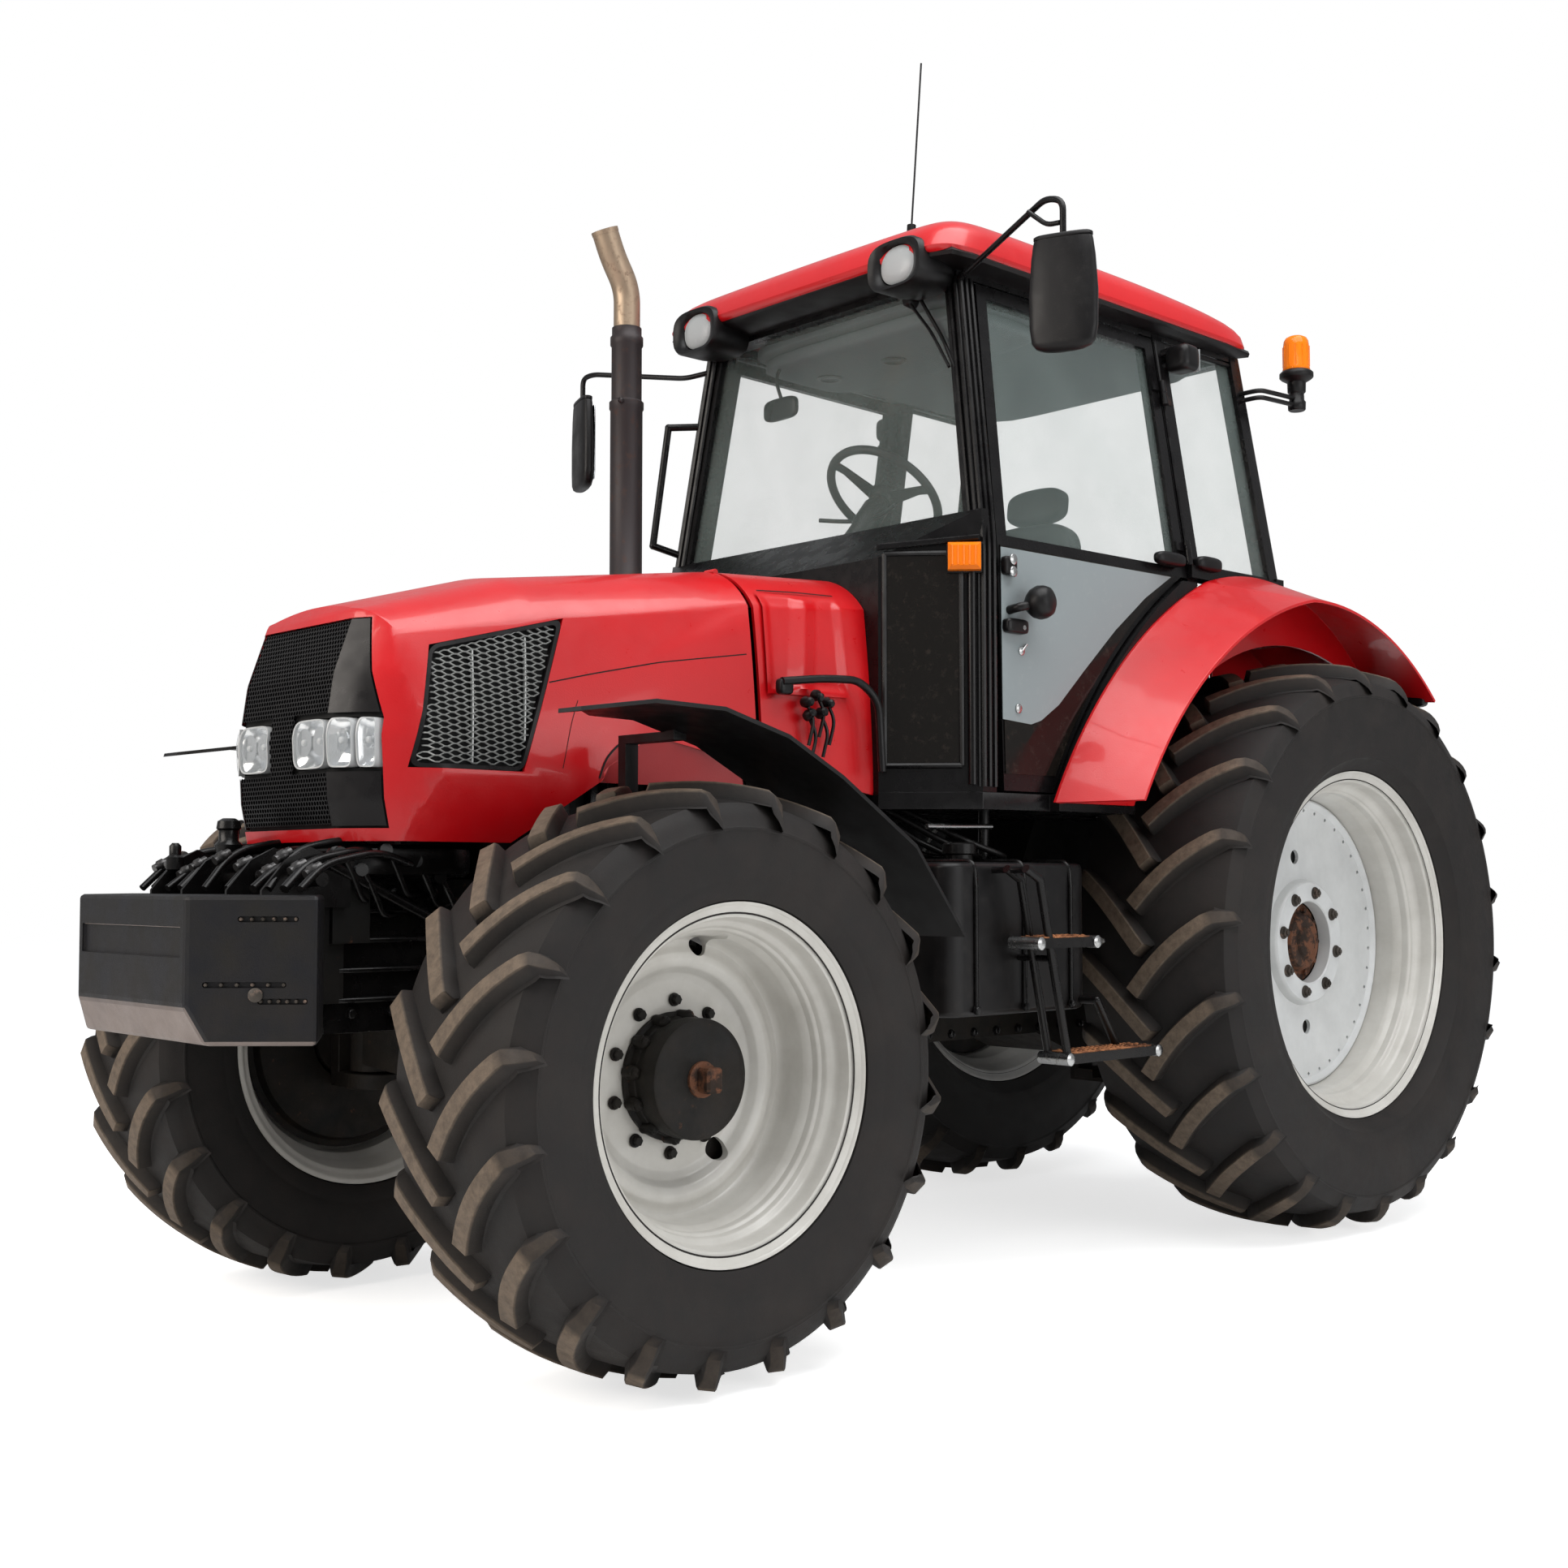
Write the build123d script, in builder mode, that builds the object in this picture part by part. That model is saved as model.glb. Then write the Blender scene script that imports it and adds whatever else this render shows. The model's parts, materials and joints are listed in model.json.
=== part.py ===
from build123d import *
import os
from math import cos, pi, radians, sin, sqrt

# Four-wheel-drive farm tractor with a closed cab, built of the pieces that a workshop would take off it.
# Frame: +X forward, +Y left, +Z up, origin on the ground under the middle of the whole machine.
# Lengths are millimetres. A station is a distance ahead of the rear axle; the datum planes add its place.

os.makedirs("parts", exist_ok=True)

# ---------------------------------------------------------------- driving dimensions
WHEELBASE = 2760
FRONT_OVERHANG = 980        # front axle to the front face of the weight
LINK_PIVOT_X = -120         # lower link pivot behind the rear axle
LINK_LENGTH = 965           # pivot to ball eye
EYE_RADIUS = 45             # outside of a ball eye
REAR_REACH = LINK_LENGTH + EYE_RADIUS - LINK_PIVOT_X
FRONT_X = WHEELBASE
REAR_AXLE_X = (REAR_REACH - WHEELBASE - FRONT_OVERHANG) / 2

CLEARANCE = 0.5             # round a pin or spindle that turns
GAP = 6                     # between pieces that move past each other
SHEET = 10                  # a body panel with its folded edge
GLASS = 8

# Wheels, one row per axle. track: between the wheels' middle planes. disc and hub_face are measured
# outwards from the wheel's middle plane, radii from the axle. Of the tread, lugs: bars on each side,
# lug: their height, fall: how far they drop from middle to shoulder, nose: where they begin, lean: how
# far round they run, bar: their width.
AXLES = {
    "front": dict(x=FRONT_X, track=1590, radius=690, width=480, bead=381, rim_half=205, disc=-20,
                  hub_radius=140, hub_face=76, lugs=20, lug=36, fall=18, nose=10, lean=226, bar=44),
    "rear": dict(x=0, track=1520, radius=940, width=580, bead=539, rim_half=224, disc=10,
                 hub_radius=204, hub_face=40, lugs=22, lug=42, fall=24, nose=8, lean=262, bar=46),
}
BULGE = 0.55                # place of the tyre's full width between bead and tread
FLANGE_HEIGHT = 29          # rim flange above the bead seat
FLANGE = 12                 # rim flange thickness
RIM_WALL = 12
WELL_DEPTH = 40             # drop centre below the bead seat
AXLE_SHAFT = 48             # rear axle shaft radius
SPINDLE = 50                # front wheel spindle radius
DISC = 12                   # thickness of a front wheel's disc
BOSS = 119                  # radius of its centre hole, on the hub's neck
HAND_HOLE, HAND_HOLE_RING = 18, 283

# Chassis
FRAME_HALF = 190            # half width of engine, gearbox and front frame
GEARBOX_TOP = 1350
AXLE_TOP = AXLES["front"]["radius"] + 80     # seat of the front frame on the axle beam
ENGINE_REAR = 1950
ENGINE_FRONT = FRONT_X + 140
FRAME_FRONT = FRONT_X + 570
KINGPIN_Y = 560
KINGPIN = 30                # king pin radius
BEAM_END = 70               # radius of the beam's swivel end
KNUCKLE_WEB_Y = 645
WEIGHT_REAR = FRAME_FRONT + 70
STEER_ARM = 170             # king pin to the ball of the steering arm

# Body
HOOD_SEAM = 2180            # rear edge of the tilting hood
COWL_REAR = 1750            # rear edge of the fixed cowl, on the cab's front wall
SEAM_GAP = 20
HOOD_PIVOT_X, HOOD_PIVOT_Z = HOOD_SEAM - 6, 2012
CAB_FRONT = 1520            # windscreen post at the belt
CAB_REAR = 45
DOOR_REAR = 575             # door edge at the middle post
BELT_Z = 2120
CAB_TOP = 2935              # underside of the roof rails
ROOF_SEAT = 2965            # top of the roof rails
FLOOR_Z = 1400
FLOOR = 50
BELT_HALF_FRONT = 690
BELT_HALF_REAR = 735
LEAN = 0.1625               # how far the cab side leans in for each millimetre of height
POST = 60
ARCH_INSIDE = 430           # inner face of the wheel arch wall
FENDER_OUTSIDE = 985


# ---------------------------------------------------------------- datum planes and small helpers
def side(y=0):
    """Fore-and-aft vertical plane: local x is the station, local y the height; it faces right."""
    return Plane((REAR_AXLE_X, y, 0), x_dir=(1, 0, 0), z_dir=(0, -1, 0))


def cross(x=0):
    """Crosswise vertical plane at a station: local x is +Y, local y the height; it faces forward."""
    return Plane((REAR_AXLE_X + x, 0, 0), x_dir=(0, 1, 0), z_dir=(1, 0, 0))


def level(z=0):
    """Horizontal plane: local x is the station, local y is +Y; it faces up."""
    return Plane((REAR_AXLE_X, 0, z), x_dir=(1, 0, 0), z_dir=(0, 0, 1))


def place(station, y, z):
    return Vector(REAR_AXLE_X + station, y, z)


def slab(plane, points, depth, both=False, mode=Mode.ADD):
    """Extrude a polygon, given in a plane, along that plane's normal."""
    with BuildSketch(plane) as outline:
        with BuildLine():
            Polyline(*points, close=True)
        make_face()
    extrude(outline.sketch, amount=depth, both=both, mode=mode)


def block(x, y, z, mode=Mode.ADD):
    """A box between two stations, two widths and two heights."""
    with Locations(place(sum(x) / 2, sum(y) / 2, sum(z) / 2)):
        Box(x[1] - x[0], y[1] - y[0], z[1] - z[0], mode=mode)


def rod(start, end, radius, mode=Mode.ADD):
    """A round bar from one point to another; a point is station, y and height."""
    first, last = place(*start), place(*end)
    with BuildSketch(Plane(first, z_dir=last - first)) as section:
        Circle(radius)
    extrude(section.sketch, amount=(last - first).length, mode=mode)


def tube(points, radius):
    """A bent pipe: round bars joined by slightly fuller balls at the bends."""
    for start, end in zip(points, points[1:]):
        rod(start, end, radius)
    for corner in points[1:-1]:
        with Locations(place(*corner)):
            Sphere(radius + CLEARANCE)


def bar(start, end, along, across):
    """A straight rectangular bar; along is its size fore and aft."""
    first, last = place(*start), place(*end)
    lift = (last - first).normalized()
    ahead = (Vector(1, 0, 0) - lift * lift.X).normalized()
    with BuildSketch(Plane(first, x_dir=ahead, z_dir=lift)) as section:
        Rectangle(along, across)
    extrude(section.sketch, amount=(last - first).length)


# ---------------------------------------------------------------- wheels
def wheel_plane(axle, sign):
    """Section plane of a wheel: local x runs outwards from its middle plane, local y is the radius."""
    row = AXLES[axle]
    return Plane(place(row["x"], sign * row["track"] / 2, row["radius"]),
                 x_dir=(0, sign, 0), z_dir=(sign, 0, 0))


def turned(axle, sign, points, mode=Mode.ADD):
    """Turn a section, given as (outwards, radius) points, round the wheel's axle."""
    plane = wheel_plane(axle, sign)
    with BuildSketch(plane) as section:
        with BuildLine():
            Polyline(*points, close=True)
        make_face()
    revolve(section.sketch, axis=Axis(plane.origin, (0, 1, 0)), mode=mode)


def tread_stations(row):
    """The lines across one side of the tread: outwards, sweep round the wheel, floor and top radius, and
    half the bar's width at its foot and top."""
    radius, half, wide = row["radius"], row["width"] / 2, row["bar"] / 2
    edge = radius - row["fall"]
    shoulder, share = half - 45, (half - 45 - row["nose"]) / (half - row["nose"])
    return [(row["nose"], 0, radius - row["lug"], radius, wide + 8, wide),
            (shoulder, share * row["lean"] / radius, edge - row["lug"], edge, wide + 6, wide - 2),
            (half - 3, row["lean"] / radius, edge - 84, edge - 84, wide - 4, wide - 4)]


def lugged_tyre(row, sign):
    """A flat-sided tyre, one bar after another round each side, the noses pointing down in front."""
    lugs, stations = row["lugs"], tread_stations(row)
    pitch, ahead = 2 * pi / lugs, stations[0][5] / row["radius"]
    end = stations[-1]
    bulge = (row["width"] / 2, row["bead"] + BULGE * (row["radius"] - row["bead"]))
    gap = pitch - 2 * end[5] / end[3]
    seat = (row["rim_half"] - FLANGE - 3, (row["bead"] + CLEARANCE) / cos(gap / 2))
    centre = place(row["x"], sign * row["track"] / 2, row["radius"])
    faces = []

    def corner(hand, number, across, sweep, radius, aside, of_radius):
        turn = pitch * (number + (0.5 if hand > 0 else 0)) + ahead + sweep + aside / of_radius
        return centre + Vector(radius * cos(turn), hand * across, radius * sin(turn))

    def facet(*points):
        faces.append(Face(Wire.make_polygon(points, close=True)))

    def sheet(first, second, third, fourth):
        facet(first, second, third)
        facet(first, third, fourth)

    def foot(hand, number, row_number, edge):
        across, sweep, floor, top, foot_half, top_half = stations[row_number]
        return corner(hand, number, across, sweep, floor, edge * foot_half, top)

    def crest(hand, number, row_number, edge):
        across, sweep, floor, top, foot_half, top_half = stations[row_number]
        return corner(hand, number, across, sweep, top, edge * top_half, top)

    def ring(hand, number, edge, place_on_wall):
        return corner(hand, number, place_on_wall[0], end[1], place_on_wall[1], edge * end[5], end[3])

    for number in range(lugs):
        # between the two rows of noses, and the bore
        for at_foot in (lambda hand, k, edge: foot(hand, k, 0, edge), lambda hand, k, edge: ring(hand, k, edge, seat)):
            facet(at_foot(-1, number, 1), at_foot(-1, number + 1, -1), at_foot(1, number, 1), at_foot(1, number, -1))
            facet(at_foot(-1, number + 1, -1), at_foot(-1, number + 1, 1), at_foot(1, number + 1, -1),
                  at_foot(1, number, 1))
        for hand in (1, -1):
            facet(*[foot(hand, number, 0, edge) for edge in (-1, 1)],
                  *[crest(hand, number, 0, edge) for edge in (1, -1)])
            sheet(*[crest(hand, number, 0, edge) for edge in (-1, 1)],
                  *[crest(hand, number, 1, edge) for edge in (1, -1)])
            sheet(*[crest(hand, number, 1, edge) for edge in (-1, 1)],
                  *[crest(hand, number, 2, edge) for edge in (1, -1)])
            for edge in (-1, 1):
                sheet(foot(hand, number, 0, edge), crest(hand, number, 0, edge), crest(hand, number, 1, edge),
                      foot(hand, number, 1, edge))
                facet(foot(hand, number, 1, edge), crest(hand, number, 1, edge), crest(hand, number, 2, edge))
            for first in (0, 1):
                sheet(foot(hand, number, first, 1), foot(hand, number + 1, first, -1),
                      foot(hand, number + 1, first + 1, -1), foot(hand, number, first + 1, 1))
            for upper, lower in ((end[0:3:2], bulge), (bulge, seat)):
                facet(*[ring(hand, number, edge, upper) for edge in (-1, 1)],
                      *[ring(hand, number, edge, lower) for edge in (1, -1)])
                facet(ring(hand, number, 1, upper), ring(hand, number + 1, -1, upper),
                      ring(hand, number + 1, -1, lower), ring(hand, number, 1, lower))
    return Solid(Shell(faces))


def rim_points(row):
    rim, bead = row["rim_half"], row["bead"]
    lip = bead + FLANGE_HEIGHT
    well = bead - WELL_DEPTH
    outside = [(rim - 95, well), (rim - 62, bead), (rim - FLANGE, bead), (rim - 3, lip), (rim, lip),
               (rim, bead - RIM_WALL), (rim - 68, bead - RIM_WALL), (rim - 101, well - RIM_WALL)]
    outer, inner = outside[:5], outside[5:]
    across = [(-a, r) for a, r in reversed(outer)] + outer + inner
    return across + [(-a, r) for a, r in reversed(inner)]


for axle, row in AXLES.items():
    for hand, sign in (("left", 1), ("right", -1)):
        tyre = lugged_tyre(row, sign)
        tyre.label = f"{axle}_tyre_{hand}"
        export_step(tyre, f"parts/{axle}_tyre_{hand}.step")

        disc = row["disc"]
        well = row["bead"] - WELL_DEPTH - RIM_WALL
        with BuildPart() as rim:
            turned(axle, sign, rim_points(row))
            if axle == "front":
                turned(axle, sign, [(disc - DISC, BOSS), (disc, BOSS), (disc, 232), (disc + 24, 256),
                                    (disc + 24, 304), (disc + 12, well + 2), (disc, well + 2),
                                    (disc + 24 - DISC, 300), (disc + 24 - DISC, 262), (disc - DISC, 238)])
                for quarter in range(4):
                    hole = wheel_plane(axle, sign).origin + Vector(
                        HAND_HOLE_RING * cos(pi / 2 * quarter), 0, HAND_HOLE_RING * sin(pi / 2 * quarter))
                    with BuildSketch(Plane(hole, z_dir=(0, 1, 0))) as opening:
                        Circle(HAND_HOLE)
                    extrude(opening.sketch, amount=100, both=True, mode=Mode.SUBTRACT)
            else:
                turned(axle, sign, [(disc - 8, 0), (disc + 8, 0), (disc + 8, well + 2), (disc - 8, well + 2)])
                turned(axle, sign, [(disc, 136), (row["hub_face"], 136), (row["hub_face"], row["hub_radius"]),
                                    (disc, row["hub_radius"])])
                turned(axle, sign, [(disc, 0), (row["hub_face"] - 6, 0), (row["hub_face"] - 6, 84), (disc, 96)])
                turned(axle, sign, [(-205, 0), (disc, 0), (disc, AXLE_SHAFT), (-205, AXLE_SHAFT)])
        rim.part.label = f"{axle}_rim_{hand}"
        export_step(rim.part, f"parts/{axle}_rim_{hand}.step")

        if axle == "front":
            face, drum = row["hub_face"], row["hub_radius"]
            neck = BOSS - CLEARANCE
            with BuildPart() as hub:
                turned(axle, sign, [(-100, 0), (face, 0), (face, drum), (12, drum), (12, drum - 10), (0, drum - 10),
                                    (0, drum + 12), (disc + CLEARANCE, drum + 12), (disc + CLEARANCE, neck),
                                    (disc - DISC - CLEARANCE, neck), (disc - DISC - CLEARANCE, 170),
                                    (-55, 170), (-60, 110), (-100, 110)])
                turned(axle, sign, [(-100, 0), (-35, 0), (-35, SPINDLE + CLEARANCE),
                                    (-100, SPINDLE + CLEARANCE)], mode=Mode.SUBTRACT)
            hub.part.label = f"front_hub_{hand}"
            export_step(hub.part, f"parts/front_hub_{hand}.step")

# ---------------------------------------------------------------- steered axle
AXLE_Z = AXLES["front"]["radius"]
REAR_Z = AXLES["rear"]["radius"]
HUB_BACK = AXLES["front"]["track"] / 2 - 100
RAM_X = FRONT_X - STEER_ARM
PLATE = 50                  # knuckle plates above and below the beam
BEAM_TOP, BEAM_BOTTOM = AXLE_Z + 84, AXLE_Z - 84

with BuildPart() as front_axle_beam:
    slab(cross(FRONT_X), [(-KINGPIN_Y, AXLE_Z - 60), (-KINGPIN_Y, AXLE_Z + 55), (-200, AXLE_TOP - 12),
                          (-120, AXLE_TOP), (120, AXLE_TOP), (200, AXLE_TOP - 12), (KINGPIN_Y, AXLE_Z + 55),
                          (KINGPIN_Y, AXLE_Z - 60), (170, AXLE_Z - 90), (-170, AXLE_Z - 90)], 62, both=True)
    rod((FRONT_X - 110, 0, AXLE_Z - 10), (FRONT_X + 150, 0, AXLE_Z - 10), 90)
    for y in (KINGPIN_Y, -KINGPIN_Y):
        rod((FRONT_X, y, BEAM_BOTTOM), (FRONT_X, y, BEAM_TOP), BEAM_END)
        rod((FRONT_X, y, BEAM_BOTTOM - PLATE), (FRONT_X, y, BEAM_TOP + PLATE), KINGPIN)
    block((FRONT_X - 200, FRONT_X + 200), (-400, 400), (AXLE_TOP, AXLE_TOP + 200), mode=Mode.SUBTRACT)
front_axle_beam.part.label = "front_axle_beam"
export_step(front_axle_beam.part, "parts/front_axle_beam.step")

with BuildPart() as steering_cylinder:
    rod((RAM_X, -150, AXLE_Z + 30), (RAM_X, 150, AXLE_Z + 30), 40)
    rod((RAM_X, -150, AXLE_Z + 30), (RAM_X, 150, AXLE_Z + 30), 20 + CLEARANCE, mode=Mode.SUBTRACT)
    for y in (-135, 135):
        block((RAM_X + 30, FRONT_X - 62), (y - 14, y + 14), (AXLE_Z + 15, AXLE_Z + 45))
    add(front_axle_beam.part, mode=Mode.SUBTRACT)
steering_cylinder.part.label = "steering_cylinder"
export_step(steering_cylinder.part, "parts/steering_cylinder.step")

with BuildPart() as steering_rod:
    rod((RAM_X, -440, AXLE_Z + 30), (RAM_X, 440, AXLE_Z + 30), 20)
    for y in (-465, 465):
        rod((RAM_X, y, AXLE_Z + 8), (RAM_X, y, AXLE_Z + 52), 30)
steering_rod.part.label = "steering_rod"
export_step(steering_rod.part, "parts/steering_rod.step")

for hand, sign in (("left", 1), ("right", -1)):
    with BuildPart() as knuckle:
        for low in (BEAM_TOP + GAP, BEAM_BOTTOM - GAP - PLATE + 6):
            rod((FRONT_X, sign * KINGPIN_Y, low), (FRONT_X, sign * KINGPIN_Y, low + PLATE - 6), BEAM_END + 12)
            block((FRONT_X - 70, FRONT_X + 70), sorted((sign * KINGPIN_Y, sign * (KNUCKLE_WEB_Y + 40))),
                  (low, low + PLATE - 6))
        block((FRONT_X - 70, FRONT_X + 70), sorted((sign * KNUCKLE_WEB_Y, sign * (HUB_BACK - GAP))),
              (BEAM_BOTTOM - GAP - PLATE + 6, BEAM_TOP + GAP + PLATE - 6))
        rod((FRONT_X, sign * KNUCKLE_WEB_Y, AXLE_Z), (FRONT_X, sign * (HUB_BACK + 60), AXLE_Z), SPINDLE)
        slab(level(AXLE_Z - 22), [(FRONT_X - 60, sign * (HUB_BACK - GAP)), (FRONT_X - 60, sign * KNUCKLE_WEB_Y),
                                  (RAM_X + 12, sign * 450), (RAM_X - 22, sign * 450),
                                  (RAM_X - 22, sign * 500)], 24)
        rod((FRONT_X, sign * KINGPIN_Y, BEAM_BOTTOM - 80), (FRONT_X, sign * KINGPIN_Y, BEAM_TOP + 80),
            KINGPIN + CLEARANCE, mode=Mode.SUBTRACT)
    knuckle.part.label = f"knuckle_{hand}"
    export_step(knuckle.part, f"parts/knuckle_{hand}.step")

# Front fender: blade over the tyre on an arm that stands on the knuckle.
BLADE = 10
BLADE_INSIDE = 665
BLADE_OUTSIDE = 1000
BLADE_EDGE = [  # degrees up from straight ahead, gap over the tyre
    (157.4, 151), (137.4, 119), (115.5, 96), (101.3, 124), (87.4, 161), (74.3, 198), (61.6, 248)]
BLADE_PATH = [(FRONT_X + (AXLE_Z + gap) * cos(radians(turn)), AXLE_Z + (AXLE_Z + gap) * sin(radians(turn)))
              for turn, gap in BLADE_EDGE]
BLADE_SEAT = AXLE_Z + 795
ARM_FOOT = BEAM_TOP + GAP + PLATE - 6

for hand, sign in (("left", 1), ("right", -1)):
    with BuildPart() as front_fender:
        under = [(x + 3, z - BLADE) for x, z in reversed(BLADE_PATH)]
        slab(side(sign * (BLADE_INSIDE + BLADE_OUTSIDE) / 2), BLADE_PATH + under,
             (BLADE_OUTSIDE - BLADE_INSIDE) / 2, both=True)
        slab(level(AXLE_Z + 610), [(FRONT_X + 130, sign * (BLADE_INSIDE - 40)), (FRONT_X + 600, sign * (BLADE_OUTSIDE + 60)),
                           (FRONT_X + 600, sign * (BLADE_INSIDE - 40))], 400, mode=Mode.SUBTRACT)
        for y, z in (((505, 535), (ARM_FOOT, BLADE_SEAT + 15)), ((505, 720), (BLADE_SEAT, BLADE_SEAT + 22)),
                     ((690, 720), (BLADE_SEAT, BLADE_SEAT + 27))):
            block((FRONT_X - 80, FRONT_X - 40), sorted(sign * edge for edge in y), z)
    front_fender.part.label = f"front_fender_{hand}"
    export_step(front_fender.part, f"parts/front_fender_{hand}.step")

# ---------------------------------------------------------------- chassis
AXLE_HOUSING = 115
LINK_Z = 560
LINK_IN, LINK_OUT = 300, 425         # half widths at the pivot and at the ball eye
ARM_PIVOT_X, ARM_PIVOT_Z = -150, 1270
ARM_LENGTH = 370
ARM_Y = 250
LINK_PIN, ARM_PIN = 16, 30
TOP_PIN = (-375, 1180)
PTO = 17.5

with BuildPart() as transmission:
    slab(side(), [(ENGINE_REAR, 640), (ENGINE_REAR, 1180), (780, 1180), (700, GEARBOX_TOP), (-330, GEARBOX_TOP),
                  (-330, 560), (500, 560), (700, 640)], FRAME_HALF, both=True)
    for y in (-40, 40):
        block((-400, -330), (y - 10, y + 10), (1130, 1230))
    rod((TOP_PIN[0], -60, TOP_PIN[1]), (TOP_PIN[0], 60, TOP_PIN[1]), 16, mode=Mode.SUBTRACT)
    rod((-330, 0, 700), (-425, 0, 700), PTO)
transmission.part.label = "transmission"
export_step(transmission.part, "parts/transmission.step")

with BuildPart() as rear_axle_housing:
    for sign in (-1, 1):
        rod((0, sign * FRAME_HALF, REAR_Z), (0, sign * 590, REAR_Z), AXLE_HOUSING)
        rod((0, sign * 560, REAR_Z), (0, sign * 600, REAR_Z), AXLE_HOUSING + 35)
        rod((0, sign * 545, REAR_Z), (0, sign * 610, REAR_Z), AXLE_SHAFT + CLEARANCE, mode=Mode.SUBTRACT)
        rod((LINK_PIVOT_X, sign * FRAME_HALF, LINK_Z + 60), (LINK_PIVOT_X, sign * 215, LINK_Z + 60), 70)
        block((LINK_PIVOT_X - 30, LINK_PIVOT_X + 30), sorted((sign * 200, sign * 268)), (LINK_Z - 30, LINK_Z + 80))
        rod((LINK_PIVOT_X, sign * 260, LINK_Z), (LINK_PIVOT_X, sign * 330, LINK_Z), LINK_PIN)
        rod((ARM_PIVOT_X, sign * FRAME_HALF, ARM_PIVOT_Z), (ARM_PIVOT_X, sign * 285, ARM_PIVOT_Z), ARM_PIN)
rear_axle_housing.part.label = "rear_axle_housing"
export_step(rear_axle_housing.part, "parts/rear_axle_housing.step")

with BuildPart() as engine_block:
    slab(side(), [(ENGINE_REAR, 760), (FRONT_X - 200, 760), (FRONT_X - 130, 860), (ENGINE_FRONT, 860),
                  (ENGINE_FRONT, 1700), (ENGINE_REAR, 1700)], FRAME_HALF, both=True)
engine_block.part.label = "engine_block"
export_step(engine_block.part, "parts/engine_block.step")

with BuildPart() as front_frame:
    slab(side(), [(FRONT_X - 115, AXLE_TOP), (FRONT_X + 120, AXLE_TOP), (FRONT_X + 180, 830),
                  (FRAME_FRONT, 860), (FRAME_FRONT, 1150), (ENGINE_FRONT, 1150), (ENGINE_FRONT, 860),
                  (FRONT_X - 115, 860)], FRAME_HALF, both=True)
    block((FRAME_FRONT, WEIGHT_REAR), (-250, 250), (860, 1090))
    for y in (-230, 230):
        block((FRAME_FRONT - 60, FRAME_FRONT + 40), (y - 35, y + 35), (1000, 1170))
front_frame.part.label = "front_frame"
export_step(front_frame.part, "parts/front_frame.step")

WEIGHT_FRONT = FRONT_X + FRONT_OVERHANG
WEIGHT_PLAN = [(WEIGHT_REAR, 282), (WEIGHT_FRONT - 215, 480), (WEIGHT_FRONT, 285)]
WEIGHT_Z = 787
with BuildPart() as front_weight:
    slab(level(WEIGHT_Z), WEIGHT_PLAN + [(x, -y) for x, y in reversed(WEIGHT_PLAN)], 328)
    slab(side(), [(WEIGHT_FRONT + 10, WEIGHT_Z + 106), (WEIGHT_FRONT - 40, WEIGHT_Z - 7),
                  (WEIGHT_FRONT + 10, WEIGHT_Z - 7)], 600, both=True, mode=Mode.SUBTRACT)
front_weight.part.label = "front_weight"
export_step(front_weight.part, "parts/front_weight.step")

# ---------------------------------------------------------------- hood and cowl
# Sections of the hood, one row per station: half widths at the skirt's foot, the crease and the
# shoulder, then the heights of foot, crease, shoulder and crown.
HOOD = [  # station, foot, crease, shoulder, foot_z, crease_z, shoulder_z, crown_z
    (COWL_REAR, 395, 450, 400, 1240, 1400, 1930, 2052),
    (HOOD_SEAM, 385, 430, 375, 1240, 1400, 1900, 2030),
    (FRONT_X + 120, 362, 415, 345, 1240, 1400, 1800, 1935),
    (FRONT_X + 640, 345, 395, 300, 1240, 1400, 1700, 1790),
]


SHOULDER_BULGE, FLANK_BULGE = 14, 7


def hood_section(row, inset):
    """One closed cross-section of the hood, moved in by inset."""
    station, foot, crease, shoulder, foot_z, crease_z, shoulder_z, crown_z = row
    flat = shoulder * 0.62
    low, high = Vector(shoulder + 12 - inset, shoulder_z - inset / 2), Vector(flat, crown_z - 18 - inset)
    waist, bow = Vector(crease - inset, crease_z), Vector(foot - inset, foot_z - 3 * inset)
    bulge = (low + high) / 2 + Vector(SHOULDER_BULGE, SHOULDER_BULGE)
    flank = (waist + low) / 2 + Vector(FLANK_BULGE, 0)

    def port(point):
        return Vector(-point.X, point.Y)

    with BuildSketch(cross(station)) as section:
        with BuildLine():
            for turn in (lambda point: point, port):
                Line(turn(bow), turn(waist))
                ThreePointArc(turn(waist), turn(flank), turn(low))
                ThreePointArc(turn(low), turn(bulge), turn(high))
            Line(port(bow), bow)
            ThreePointArc(port(high), (0, crown_z - inset), high)
        make_face()
    return section.sketch


def nose_plan(height, front, inset):
    """Plan of the nose at one height: flat middle, corners turned back, then the sides."""
    front -= inset
    corner = [(front, 215), (front - 40, 288 - inset / 2), (front - 160, 378 - inset), (front - 228, 410 - inset),
              (front - 300, 430 - inset)]
    rear = (HOOD_SEAM - 700, 470)
    with BuildSketch(level(height)) as plan:
        with BuildLine():
            for hand in (1, -1):
                points = [(x, hand * y) for x, y in corner]
                ThreePointArc(*points[:3])
                ThreePointArc(*points[2:])
                Line(points[4], (rear[0], hand * rear[1]))
            Line((front, 215), (front, -215))
            Line(rear, (rear[0], -rear[1]))
        make_face()
    return plan.sketch


NOSE = [  # height, how far ahead of the front axle the nose reaches
    (1200, 572), (1340, 601), (1490, 610), (1640, 588), (1790, 535), (1900, 482), (2020, 414), (2150, 330)]


def nose_form(inset):
    """The hood's plan at each height, which rounds the nose off."""
    with BuildPart() as form:
        for height, front in NOSE:
            add(nose_plan(height, FRONT_X + front, inset))
        loft(ruled=True)
    return form.part


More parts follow.
